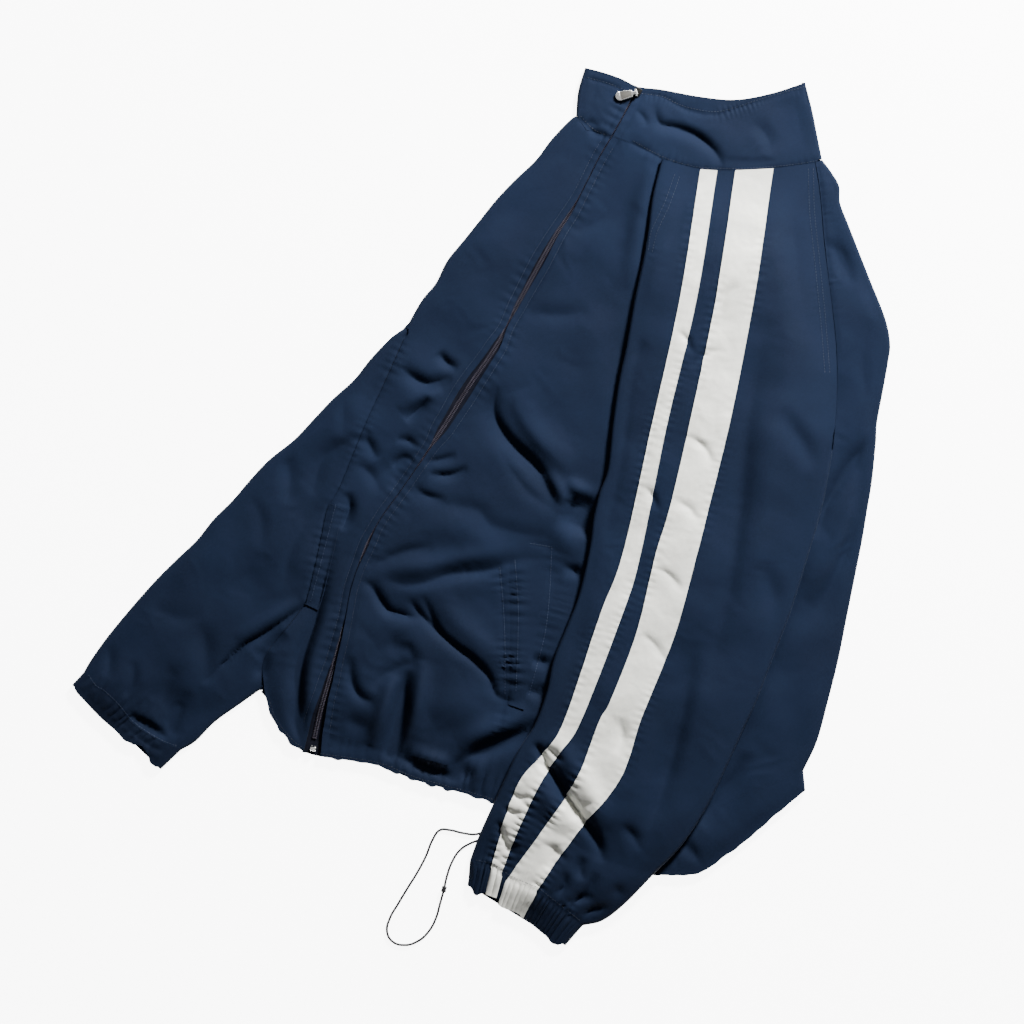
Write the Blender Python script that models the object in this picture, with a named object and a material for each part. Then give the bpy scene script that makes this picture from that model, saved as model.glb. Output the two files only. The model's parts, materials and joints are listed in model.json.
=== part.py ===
"""Track jacket laid flat on a table, zipped shut, with its left sleeve lying over the front.

Every panel is a wall of cloth of even thickness. A panel is a grid of points in the middle of
that wall: the seams and folded edges below give the plan, and the height functions give how
high the cloth lies. The plan is in millimetres across (from the left) and down (from the far
edge) on a table one metre square; to_world() turns it into metres about the jacket's middle.
"""
import math

import bmesh
import bpy
import numpy as np
from mathutils import Matrix, Vector

# ------------------------------------------------------------------ driving sizes, mm
PLAN_MIDDLE = (481.0, 506.5)
WALL = 1.5
SEAM = 0.35
FLAT_FOLD = 2.4
SLEEVE_FOLD = 3.0
NECK_PLEAT_FOLD = 1.8
BODY_RISE = 5.0
BODY_REACH = 45.0
SLEEVE_RISE = 5.0
SLEEVE_REACH = 30.0
SLEEVE_LIFT = 2.7
SEAM_SLOPE = 55.0
PLEAT_REACH = 17.0
FAR_AWAY = 200.0
HEM_DROP = 75.0
LOWEST_UPPER = 3.1
CALM_EDGE = 14.0
STRIPE_WALL = 0.9
WELT_WALL = 1.2
RIGHT_WELT_WIDTH = 15.0

TAPE_HALF = 10.0
TAPE_WALL = 0.7
TAPE_DEPTH = 3.35
CHAIN_HALF = 2.6
CHAIN_WALL = 1.2
CHAIN_DEPTH = 2.05

CORD_DIAMETER = 2.5
BEAD_RADIUS = 2.7
BEAD_LENGTH = 6.0
HEM_GATHER = 1.1
HEM_WAVES = {"right": 3, "left": 12, "back": 10}
CUFF_GATHER = 1.3
CUFF_SWELL = 2.0
RIGHT_CUFF_WAVES = 6
LEFT_CUFF_WAVES = 13
SHOULDER_LIP = 7.0

SLIDER_AT = (637.3, 93.0)
SLIDER_WAY = (-0.5, 0.87)
SLIDER_LENGTH = 9.5
SLIDER_WIDTH = 7.2
SLIDER_THICK = 2.0
TAB_WAY = (-0.98, 0.2)
TAB_LENGTH = 21.0
TAB_THICK = 1.8
# Half the tab's outline, (along from the pin, out), then its round end: reach and half width
TAB_SIDE = ((1.0, 1.7), (4.6, 1.7), (5.6, 3.6), (16.5, 4.7))
TAB_END = (4.6, 4.7)
PIN_OFFSET = 1.6
PIN_RADIUS = 0.8
BARREL_RADIUS = 1.9
BARREL_LENGTH = 3.8
POST_THICK = 1.1
POST_WIDTH = 2.6
POST_OVER_PIN = 0.4
PIN_OVERHANG = 0.3
ZIP_BOX_AT = (313.2, 748.6)
ZIP_BOX_SIZE = (8.0, 6.6)
ZIP_BOX_TURN = math.radians(-12)
ZIP_BOX_PROUD = 1.2

UNDER_MIDDLE = WALL / 2
EDGE_TOP = UNDER_MIDDLE + 2 * FLAT_FOLD

# ------------------------------------------------------------------ how finely the pieces are made
ARC_STEPS = 4
FRONT_ROWS = 34
FOLD_ROWS = 11
RIGHT_FRONT_COLUMNS = 6
LEFT_FRONT_COLUMNS = (9, 2, 3)
BACK_ROWS_HIGH = 13
BACK_ROWS_LOW = 18
BACK_SIDE_COLUMNS = 5
BACK_TOP_COLUMNS = 2
BACK_UNDER_COLUMNS = 6
BACK_SAG_ROWS = 8
TUBE_ROWS = 7
RIGHT_SLEEVE_COLUMNS = 8
RIGHT_SLEEVE_LOW_COLUMNS = 3
LEFT_SLEEVE_ROWS = 36
LEFT_TUBE_FROM = 13
OPENING_ROWS = 3.5
SETTLING_ROWS = 4.5
SLEEVE_COLUMNS = (2, 1, 1, 2, 5)
LEFT_SLEEVE_LOW_COLUMNS = 4
CUFF_LOW_COLUMNS = 6
COLLAR_ROWS = 5
COLLAR_LEFT_COLUMNS = 6
COLLAR_RIGHT_COLUMNS = 20
BACK_HEM_COLUMNS = 41
CORD_POINTS = 70
ROD_SIDES = 16

# ------------------------------------------------------------------ colours
NAVY = (0.018, 0.032, 0.085)
OFF_WHITE = (0.80, 0.80, 0.74)
COIL = (0.045, 0.035, 0.070)
SILVER = (0.75, 0.75, 0.76)
BLACK = (0.012, 0.012, 0.014)

# ------------------------------------------------------------------ seams and edges: (across, down)
COLLAR_TOP = (
    (585, 68), (604, 73), (621, 79), (638, 87), (662, 90), (700, 97), (735, 100), (770, 94), (805, 83))
NECK_FRONT = ((576, 116), (588, 128), (600, 137), (612, 139), (629, 143), (645, 151), (662, 160))
NECK_SLEEVE = ((662, 160), (680, 166), (700, 170), (740, 171), (773, 169), (800, 166), (815, 163))
COLLAR_LEFT = ((576, 116), (578, 92), (585, 68))
COLLAR_RIGHT = ((822, 160), (817, 135), (812, 110), (805, 83))
SHOULDER_FOLD = (
    (576, 116), (569, 121), (551, 140), (536, 160), (515, 180), (496, 200), (480, 220), (464, 240),
    (447, 261), (436, 283), (422, 300), (406, 328))
RIGHT_RAGLAN = (
    (407.6, 331.6), (386, 380), (368, 419), (355, 450), (340, 487), (328, 509), (321, 540), (314, 572),
    (306, 601), (292, 622), (275, 642), (263, 662), (264, 687))
RIGHT_BACK_SEAM = ((264, 687), (300, 620), (380, 490), (440, 392), (500, 290), (548, 205), (592, 132.5))
RIGHT_OVER = (
    (84, 672), (91, 660), (105, 640), (121, 620), (138, 600), (156, 580), (176, 560), (197, 540),
    (213, 520), (233, 500), (250, 480), (269, 460), (294, 440), (313, 420), (332, 400), (354, 380),
    (370, 360), (388, 341), (400, 331))
RIGHT_UNDER = ((181, 750), (196, 741), (215, 722), (240, 704), (264, 687))
RIGHT_CUFF_OVER = ((84, 672), (72, 685))
RIGHT_CUFF_UNDER = ((181, 750), (160, 770))
LEFT_FOLD = (
    (661, 161), (652, 198), (647, 235), (641, 268), (634, 300), (626, 345), (618, 383), (612, 425),
    (607, 470), (599, 493), (593, 518), (589, 548), (579, 593), (567, 625), (553, 660), (546, 692),
    (534, 725), (518, 750), (503, 782), (491, 808), (479, 835), (470, 860))
NARROW_LEFT = (
    (700, 170), (679, 300), (651, 427), (622, 555), (600, 614), (564, 720), (544, 751), (520, 780),
    (504, 820), (492, 863))
NARROW_RIGHT = (
    (717, 171), (696, 300), (666, 427), (640, 555), (622, 614), (581, 720), (561, 751), (542, 780),
    (520, 825), (505, 866))
WIDE_LEFT = (
    (735, 171), (715, 300), (688, 427), (668, 512), (655, 555), (636, 632), (610, 700), (599, 720),
    (576, 778), (543, 828), (512, 868))
WIDE_RIGHT = (
    (773, 169), (753, 300), (728, 427), (707, 512), (696, 555), (675, 632), (648, 700), (640, 720),
    (620, 778), (580, 828), (541, 882))
BACK_RAGLAN = ((815, 163), (820, 197), (824, 244), (831, 300), (836, 351), (836, 405), (832, 450))
LEFT_UNDER = (
    (832, 450), (822, 504), (806, 560), (789, 614), (772, 658), (756, 700), (743, 728), (728, 761),
    (707, 805), (682, 844), (653, 874), (625, 903), (603, 920), (583, 925))
LEFT_CUFF_FOLD = ((470, 860), (466, 887))
LEFT_CUFF_UNDER = ((583, 925), (566, 945))
POCKET_INNER = (
    (628, 143), (602, 230), (577, 330), (547, 430), (515, 515), (503, 562), (505, 630), (505, 697),
    (490, 776))
POCKET_OUTER = (
    (645, 151), (632, 230), (618, 330), (590, 440), (563, 510), (551, 547), (538, 625), (525, 700),
    (515, 783))
LEFT_SIDE_SEAM = (
    (662, 160), (676, 230), (690, 330), (672, 440), (650, 530), (612, 640), (575, 740), (545, 797))
BACK_FOLD = (
    (822, 160), (838, 200), (846, 220), (854, 240), (870, 280), (885, 318), (890, 343), (888, 362),
    (883, 390), (877, 422), (876, 440))
BACK_FOLD_LOW = (
    (876, 440), (872, 480), (867, 510), (862, 540), (854, 580), (846, 620), (838, 660), (828, 700),
    (817, 740), (803, 770))
UNDER_SLEEVE_LINE = ((832, 450), (815, 520), (775, 640), (730, 740), (705, 800), (688, 851))
HEM_EDGE = (
    (266, 698), (274, 721), (290, 741), (303, 751), (318, 756), (346, 760), (380, 766), (412, 779),
    (440, 787), (483, 799), (525, 815), (560, 838), (600, 860), (640, 873), (680, 875), (700, 872),
    (719, 860), (746, 840), (769, 820), (805, 790))
HEM_SEAM = (
    (265, 688), (283, 708), (300, 724), (318, 732), (346, 738), (380, 746), (412, 757), (440, 766),
    (487, 778), (545, 797), (575, 820), (612, 842), (645, 852), (678, 852), (692, 850), (708, 840),
    (733, 822), (757, 800), (798, 768))
ZIP_LINE = (
    (638, 87), (625, 113), (611, 138), (598, 160), (575, 205), (553, 240), (520, 300), (497, 345),
    (470, 385), (445, 425), (422, 460), (400, 492), (380, 520), (365, 550), (352, 585), (345, 620),
    (335, 660), (322, 705), (314, 740), (312, 754))

# The elastic loop, out of the hem and back: (across, down, height)
CORD_ROUTE = (
    (506.5, 809.6, 3.1), (501, 818, 2.6), (490, 828, 1.6), (477, 834, 1.3), (463, 833, 1.3),
    (450, 830, 1.3), (440, 830, 1.3), (433, 839, 1.3), (426, 856, 1.3), (417, 873, 1.3),
    (407, 889, 1.3), (398, 904, 1.3), (390, 918, 1.3), (387, 931, 1.3), (392, 941, 1.3),
    (404, 945, 1.3), (418, 941, 1.3), (429, 931, 1.3), (436, 918, 1.3), (440, 904, 1.8),
    (444, 889, 2.75), (447, 876, 2.0), (452, 862, 1.3), (460, 850, 1.3), (471, 843, 1.3),
    (485, 838, 1.4), (498, 830, 1.8), (507, 821, 2.6), (513.5, 812.6, 3.1))
BEAD_AT = (444, 889)

# Half the opening between the front edges that shows the coil: (share of the zip's length, mm)
ZIP_OPENING = (
    (0.00, 1.6), (0.15, 1.6), (0.21, 3.2), (0.30, 4.6), (0.36, 2.6), (0.44, 6.6), (0.50, 5.6),
    (0.55, 1.6), (0.68, 1.6), (0.78, 3.2), (0.88, 5.6), (0.94, 7.4), (1.00, 7.0))

# Places where one stretch ends and the next begins, as shares of a line's length
ZIP_AT_NECK = 0.075
ZIP_AT_HEM = 0.967
TAPE_SHARES = (0.004, 0.999)
CHAIN_END = 0.978
LEFT_POCKET = (0.665, 0.885)
RIGHT_POCKET = (0.65, 0.83)
HEM_AT_ZIP_LEFT = 0.1085
HEM_AT_ZIP_RIGHT = 0.137
HEM_AT_SIDE_SEAM = 0.497
COLLAR_AT_ZIP = 0.249
SIDE_SEAM_FROM = 0.43
BACK_HEM_FROM = 0.508
OVER_SPLIT = 0.215
NARROW_STRIPE_ON_CUFF = (0.17, 0.31)
WIDE_STRIPE_ON_CUFF = (0.37, 0.61)

# ------------------------------------------------------------------ folds in the cloth
# name, height, width on the walker's left, width on the walker's right, route in plan
BODY_FOLDS = (
    ("chest slash", -6.0, 9, 15, ((496, 392), (492, 418), (507, 440), (534, 464), (553, 491), (566, 512))),
    ("chest slash lip", 4.5, 16, 16, ((512, 392), (532, 432), (560, 462), (584, 482))),
    ("chest pit", -7.0, 10, 10, ((572, 486), (583, 504), (590, 524))),
    ("chest sag", -2.5, 14, 14, ((417, 492), (452, 506), (496, 520), (560, 540))),
    ("rib upper", -3.0, 9, 9, ((366, 561), (400, 550), (434, 547))),
    ("rib lower", -3.8, 9, 9, ((395, 579), (432, 576), (462, 568), (500, 566))),
    ("rib light", 2.6, 10, 10, ((372, 568), (420, 563), (470, 556), (520, 552))),
    ("hook", -5.0, 9, 9, ((361, 580), (374, 596), (388, 611), (404, 617), (424, 620))),
    ("belly slash", -5.5, 9, 9, ((410, 603), (436, 632), (464, 655), (488, 676), (500, 690))),
    ("belly slash lip", 3.5, 12, 12, ((424, 594), (452, 622), (484, 648), (504, 668))),
    ("belly dome", 3.5, 18, 16, ((372, 640), (394, 628), (414, 640), (424, 668))),
    ("belly dent", -3.0, 9, 9, ((412, 650), (402, 668), (392, 682))),
    ("curl", -4.5, 9, 9, ((352, 664), (358, 688), (368, 704))),
    ("hem slash", -8.0, 9, 10, ((411, 684), (407, 712), (397, 738), (386, 762))),
    ("hem slash lip", 3.5, 10, 10, ((396, 690), (390, 716), (380, 740))),
    ("hem dome", 3.0, 20, 20, ((430, 720), (458, 706), (490, 712))),
    ("sleeve hollow", -8.0, 9, 10, ((538, 722), (516, 738), (480, 753), (452, 766))),
    ("zip dent", -2.5, 9, 9, ((524, 312), (556, 315), (592, 312))),
    ("zip crimp", -3.0, 9, 9, ((424, 470), (446, 475), (470, 466))),
    ("armhole pit", -5.0, 9, 9, ((412, 378), (428, 386), (446, 376))),
    ("armhole pit low", -4.5, 9, 9, ((422, 400), (414, 412), (404, 420))),
    ("armhole ridge", 3.0, 9, 9, ((402, 414), (420, 400), (442, 390))),
    ("armhole nick", -5.0, 9, 9, ((364, 432), (370, 446), (378, 460))),
    ("armhole sag", -2.5, 10, 10, ((374, 482), (394, 466), (416, 462))),
    ("welt pit", -5.5, 9, 9, ((346, 492), (350, 508), (342, 530))),
    ("front groove", -6.5, 9, 9, ((336, 540), (326, 575), (316, 620), (302, 660), (297, 700), (300, 730))),
    ("elbow crease", -5.0, 9, 9, ((308, 600), (280, 620), (246, 647), (203, 684))),
    ("underarm pit", -4.0, 9, 9, ((278, 640), (266, 648), (252, 658))),
    ("sleeve wrinkle high", -1.8, 9, 9, ((340, 392), (344, 414), (342, 436))),
    ("sleeve wrinkle low", -2.4, 9, 9, ((280, 450), (290, 474), (288, 506))),
    ("sleeve drag", -2.6, 9, 9, ((364, 438), (340, 446), (322, 462), (312, 496))),
    ("forearm dent", -3.6, 10, 10, ((200, 622), (206, 646), (206, 684))),
    ("forearm line", -2.6, 9, 9, ((178, 664), (166, 690), (162, 714))),
    ("cuff crease", -3.2, 9, 9, ((190, 690), (176, 714), (166, 738))),
    ("cuff tuck", -2.2, 9, 9, ((106, 640), (110, 658), (108, 678))),
    ("back pleat", -6.0, 9, 9, ((872, 436), (848, 468), (828, 502), (816, 540))),
    ("back pleat lip", 2.6, 9, 9, ((858, 470), (845, 520), (828, 560), (806, 600))),
    ("back shade", -2.2, 10, 10, ((830, 238), (842, 262), (852, 288))),
    ("back hem pit", -5.0, 9, 9, ((748, 752), (734, 778), (716, 802), (700, 826))),
    ("back hem tuck", -3.0, 9, 9, ((676, 836), (690, 850), (702, 864))),
    ("collar sag", -2.4, 11, 11, ((652, 106), (680, 118), (706, 134), (728, 166))),
    ("collar dent", -1.6, 9, 9, ((760, 104), (764, 126), (758, 150))),
)
SLEEVE_FOLDS = (
    ("wrist band fold", -5.0, 9, 10, ((520, 738), (548, 758), (574, 786), (588, 816), (602, 860))),
    ("wrist band lip", 3.0, 12, 12, ((536, 726), (566, 748), (594, 780), (608, 815))),
    ("narrow stripe dent", -2.6, 9, 9, ((486, 812), (498, 824), (504, 842))),
    ("forearm fold", -3.6, 12, 12, ((684, 700), (676, 760), (664, 800), (644, 832))),
    ("forearm nick", -2.6, 9, 9, ((624, 828), (634, 840), (640, 858))),
    ("cuff swell fold", -3.0, 9, 9, ((612, 880), (622, 896), (632, 908))),
    ("sleeve length crease", -2.0, 9, 14, ((766, 320), (748, 420), (738, 520), (722, 620), (706, 690))),
    ("shoulder shade", -2.2, 11, 11, ((790, 190), (796, 250), (802, 330))),
    ("elbow shade", -2.4, 12, 12, ((778, 410), (800, 440), (812, 470))),
    ("upper dent", -1.8, 9, 9, ((618, 362), (632, 356), (648, 344))),
    ("mid swell", 2.0, 26, 26, ((700, 520), (684, 600), (664, 680))),
)

# ------------------------------------------------------------------ lines and distances


def smooth(line, count, start=0.0, end=1.0):
    """count points evenly spaced along a smooth curve through the line's own points."""
    given = np.array(line, float)
    given = np.vstack([2 * given[0] - given[1], given, 2 * given[-1] - given[-2]])
    step = np.linspace(0, 1, 10, endpoint=False)[:, None]
    runs = []
    for a, b, c, d in zip(given, given[1:], given[2:], given[3:]):
        bend = (2 * a - 5 * b + 4 * c - d) * step ** 2 + (3 * b - 3 * c + d - a) * step ** 3
        runs.append(b + 0.5 * ((c - a) * step + bend))
    fine = np.vstack(runs + [given[-2:-1]])
    travelled = np.concatenate([[0], np.cumsum(np.linalg.norm(np.diff(fine, axis=0), axis=1))])
    wanted = np.linspace(start, end, count) * travelled[-1]
    return np.column_stack([np.interp(wanted, travelled, fine[:, k]) for k in range(given.shape[1])])


def at_shares(line, shares):
    """Points of a smooth curve at the given shares of its length."""
    return np.array([smooth(line, 1, share, share)[0] for share in shares])


def nearest_on(line, points):
    """Distance, side and share of length of the nearest place on a line, for each point."""
    begin = line[:-1]
    run = line[1:] - begin
    reach = points[:, None, :] - begin[None]
    share = np.clip((reach * run).sum(-1) / np.maximum((run * run).sum(-1), 1e-9), 0, 1)
    gap = reach - share[..., None] * run
    far = np.linalg.norm(gap, axis=-1)
    pick = far.argmin(1)
    rows = np.arange(len(points))
    side = run[pick, 0] * gap[rows, pick, 1] - run[pick, 1] * gap[rows, pick, 0]
    return far[rows, pick], side, (pick + share[rows, pick]) / len(run)


def is_inside(loop, points):
    """True for each point inside a closed loop."""
    ahead = np.roll(loop, -1, axis=0)
    x, y = points[:, 0:1], points[:, 1:2]
    spans = (loop[:, 1] > y) != (ahead[:, 1] > y)
    rise = np.where(ahead[:, 1] == loop[:, 1], 1e-9, ahead[:, 1] - loop[:, 1])
    crossing = loop[:, 0] + (y - loop[:, 1]) * (ahead[:, 0] - loop[:, 0]) / rise
    return (spans & (x < crossing)).sum(1) % 2 == 1


def outside_distance(loop, points):
    """How far each point lies outside a closed loop, and 0 inside it."""
    far = nearest_on(np.vstack([loop, loop[:1]]), points)[0]
    return np.where(is_inside(loop, points), 0.0, far)


def ease(value):
    """0 to 1 with soft ends."""
    value = np.clip(value, 0, 1)
    return value * value * (3 - 2 * value)


def between(first, last, share):
    """Points on the straight runs from first to last, one column for each share."""
    share = np.asarray(share, float)[None, :, None]
    return first[:, None, :] * (1 - share) + last[:, None, :] * share


def spans(knots, counts):
    """Plan columns on the straight runs between neighbouring knot lines."""
    parts = [between(a, b, np.linspace(0, 1, n + 1)[:-1]) for a, b, n in zip(knots, knots[1:], counts)]
    return np.concatenate(parts + [knots[-1][:, None]], axis=1)


BODY_OUTLINE = np.vstack([
    smooth(COLLAR_TOP, 24), smooth(COLLAR_RIGHT, 8)[::-1], smooth(BACK_FOLD, 24), smooth(BACK_FOLD_LOW, 24),
    smooth(HEM_EDGE, 60)[::-1], smooth(RIGHT_UNDER, 10)[::-1], np.array(RIGHT_CUFF_UNDER[1:], float),
    np.array(RIGHT_CUFF_OVER[1:], float), smooth(RIGHT_OVER, 40), smooth(SHOULDER_FOLD, 30)[::-1]])
SLEEVE_OUTLINE = np.vstack([
    smooth(LEFT_FOLD, 50), np.array(LEFT_CUFF_FOLD[1:], float), np.array(LEFT_CUFF_UNDER[1:], float),
    smooth(LEFT_UNDER, 40)[::-1], smooth(BACK_RAGLAN, 20)[::-1]])
ZIP_MIDDLE = smooth(ZIP_LINE, 60)

# ------------------------------------------------------------------ heights, mm above the table


def fold_heights(folds, points):
    """Sum of the folds' troughs and ridges at each point."""
    total = np.zeros(len(points))
    for _, height, left_width, right_width, route in folds:
        far, side, share = nearest_on(smooth(route, 16), points)
        width = np.where(side > 0, right_width, left_width)
        total += height * np.exp(-(far / width) ** 2) * (1 - (2 * share - 1) ** 4)
    return total


def calm_body(points):
    """The upper cloth's height with no folds in it."""
    inward = nearest_on(np.vstack([BODY_OUTLINE, BODY_OUTLINE[:1]]), points)[0]
    past = np.maximum(inward - FLAT_FOLD - WALL / 2, 0)
    return EDGE_TOP + BODY_RISE * (1 - np.exp(-past / BODY_REACH)), past


def body_top(points):
    """Middle of the upper cloth that lies on the table's layer."""
    height, past = calm_body(points)
    folds = fold_heights(BODY_FOLDS, points) * ease(past / CALM_EDGE)
    covered = 1 - ease(outside_distance(SLEEVE_OUTLINE, points) / 12)
    folds = np.where(folds > 0, folds * (1 - covered), folds)
    zip_near = ease(1 - (nearest_on(ZIP_MIDDLE, points)[0] - 8) / 16)
    lowest = LOWEST_UPPER + (EDGE_TOP - LOWEST_UPPER) * zip_near
    return np.maximum(height + folds, lowest)


def sleeve_rest(points):
    """Middle of the left sleeve's lower wall: on the body, then down over the hem to the table."""
    outside = outside_distance(BODY_OUTLINE, points)
    drop = 0.5 * (1 + np.cos(np.pi * np.clip(outside / HEM_DROP, 0, 1)))
    on_body = calm_body(points)[0] + SLEEVE_LIFT
    off_body = UNDER_MIDDLE + (EDGE_TOP + SLEEVE_LIFT - UNDER_MIDDLE) * drop
    return np.where(outside > 0, off_body, on_body)


def at_height(plan, height):
    """Plan points of any grid shape, with a height function or one height, as 3-D points."""
    flat = plan.reshape(-1, 2)
    values = height(flat) if callable(height) else np.full(len(flat), float(height))
    return np.column_stack([flat, values]).reshape(plan.shape[:-1] + (3,))


def rolled_edge(edge, inward, rest, radius):
    """Half a roll for each row, from the upper wall's edge over the fold to the lower wall's."""
    radius = np.broadcast_to(np.asarray(radius, float), (len(edge),))[:, None]
    angle = np.linspace(math.pi / 2, -math.pi / 2, ARC_STEPS + 1)[None, :]
    middle = edge + inward * (radius + WALL / 2)
    plan = middle[:, None, :] - inward[:, None, :] * (radius * np.cos(angle))[..., None]
    height = rest[:, None] + radius + radius * np.sin(angle)
    return np.concatenate([plan, height[..., None]], axis=2)


def directions(first, last):
    """Unit plan vectors from first to last, row by row."""
    run = last - first
    return run / np.linalg.norm(run, axis=1, keepdims=True)


def square_to(line, toward):
    """Unit plan vectors square to a line, on the side where the given points lie."""
    run = np.gradient(line, axis=0)
    square = np.column_stack([-run[:, 1], run[:, 0]])
    square /= np.linalg.norm(square, axis=1, keepdims=True)
    return square * np.sign((square * (toward - line)).sum(1, keepdims=True))


def roll_middle(edge, inward, radius):
    """Plan points over the middle of a rolled edge, where its two walls begin."""
    radius = np.broadcast_to(np.asarray(radius, float), (len(edge),))[:, None]
    return edge + inward * (radius + WALL / 2)


def raised(grid, offset):
    """A grid moved out along its own upward normals."""
    down_rows = np.gradient(grid, axis=0)
    along_row = np.gradient(grid, axis=1)
    normal = np.cross(down_rows, along_row)
    normal /= np.linalg.norm(normal, axis=2, keepdims=True)
    normal *= np.sign(normal[..., 2:3])
    return grid + normal * offset


# ------------------------------------------------------------------ Blender objects


def to_world(points):
    """Plan points with heights in mm, as metres about the jacket's middle."""
    points = np.asarray(points, float)
    across = points[..., 0] - PLAN_MIDDLE[0]
    up_plan = PLAN_MIDDLE[1] - points[..., 1]
    return np.stack([across, up_plan, points[..., 2]], axis=-1) / 1000


def finish(name, colour, roughness=0.75, metallic=0.0):
    """A material for one sub-part."""
    material = bpy.data.materials.new(name)
    material.use_nodes = True
    shader = material.node_tree.nodes["Principled BSDF"]
    shader.inputs["Base Color"].default_value = (*colour, 1)
    shader.inputs["Roughness"].default_value = roughness
    shader.inputs["Metallic"].default_value = metallic
    return material


def place(name, mesh, material):
    """Put a mesh in the scene as a named object."""
    part = bpy.data.objects.new(name, mesh)
    bpy.context.scene.collection.objects.link(part)
    mesh.materials.append(material)
    return part


def cloth(name, grid, colour, wall=WALL, closed_rows=0, present=None):
    """A wall of cloth round a grid of points; closed_rows rows of it run on round as a tube."""
    rows, columns = grid.shape[:2]
    corners = to_world(grid).reshape(-1, 3)
    faces = []
    for i in range(rows - 1):
        for j in range(columns if i < closed_rows else columns - 1):
            if present is None or present(i, j):
                k = (j + 1) % columns
                here, beside = i * columns + j, i * columns + k
                faces.append((here, beside, beside + columns))
                faces.append((here, beside + columns, here + columns))
    mesh = bpy.data.meshes.new(name)
    mesh.from_pydata([tuple(corner) for corner in corners], [], faces)
    shaped = bmesh.new()
    shaped.from_mesh(mesh)
    bmesh.ops.delete(shaped, geom=[v for v in shaped.verts if not v.link_faces], context="VERTS")
    shaped.to_mesh(mesh)
    shaped.free()
    mesh.shade_smooth()
    part = place(name, mesh, finish(name, colour))
    thicken = part.modifiers.new("wall", "SOLIDIFY")
    thicken.thickness = wall / 1000
    thicken.offset = 0.0
    thicken.use_quality_normals = True
    return part


# ------------------------------------------------------------------ the body's panels


def zip_edge(shares, side):
    """The front edge beside the zip: side -1 to the left of the coil, 1 to its right."""
    middle = at_shares(ZIP_LINE, shares)
    nearby = 0.01
    behind = at_shares(ZIP_LINE, np.maximum(shares - nearby, 0))
    ahead = at_shares(ZIP_LINE, np.minimum(shares + nearby, 1))
    run = directions(behind, ahead)
    across = np.column_stack([-run[:, 1], run[:, 0]])
    across *= -np.sign(across[:, 0:1])
    half = np.interp(shares, [row[0] for row in ZIP_OPENING], [row[1] for row in ZIP_OPENING])
    return middle + across * (-side * half)[:, None]


def front_shares():
    """Where the fronts' rows meet the zip."""
    return np.linspace(ZIP_AT_NECK, ZIP_AT_HEM, FRONT_ROWS + 1)


def right_front_grid():
    """Rows from the neck to the hem band, columns from the underside lip to the zip."""
    seam = smooth(RIGHT_RAGLAN, FRONT_ROWS - FOLD_ROWS + 1)
    fold = smooth(SHOULDER_FOLD, FOLD_ROWS + 1)
    zip_side = zip_edge(front_shares(), -1)
    outer = np.vstack([fold, seam[1:]])
    inward = np.vstack([square_to(fold, zip_side[:FOLD_ROWS + 1]), square_to(seam, zip_side[FOLD_ROWS:])[1:]])
    folded = np.arange(FRONT_ROWS + 1) <= FOLD_ROWS
    start = np.where(folded[:, None], roll_middle(outer, inward, FLAT_FOLD), outer + inward * SEAM)
    welt_line = start + inward * RIGHT_WELT_WIDTH
    upper = at_height(spans([start, welt_line, zip_side], (1, RIGHT_FRONT_COLUMNS)), body_top)
    roll = rolled_edge(outer, inward, np.full(len(outer), UNDER_MIDDLE), FLAT_FOLD)[:, ::-1]
    lip_length = SHOULDER_LIP * np.clip((FOLD_ROWS - np.arange(FRONT_ROWS + 1)) / 2, 0.1, 1)
    lip = at_height(roll[:, :1, :2] + (inward * lip_length[:, None])[:, None], UNDER_MIDDLE)
    return np.concatenate([lip, roll[:, :-1], upper], axis=1)


def make_right_front():
    """Right front, its far edge rolled under at the shoulder."""
    grid = right_front_grid()
    lip_columns = ARC_STEPS + 1
    cloth("right_front", grid, NAVY, present=lambda i, j: j >= lip_columns or i < FOLD_ROWS)
    return grid[:, lip_columns:]


def make_left_front():
    """Left front, from the zip to the side seam hidden under the sleeve."""
    seams = [smooth(line, FRONT_ROWS + 1) for line in (POCKET_INNER, POCKET_OUTER, LEFT_SIDE_SEAM)]
    grid = at_height(spans([zip_edge(front_shares(), 1)] + seams, LEFT_FRONT_COLUMNS), body_top)
    cloth("left_front", grid, NAVY)
    return grid


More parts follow.
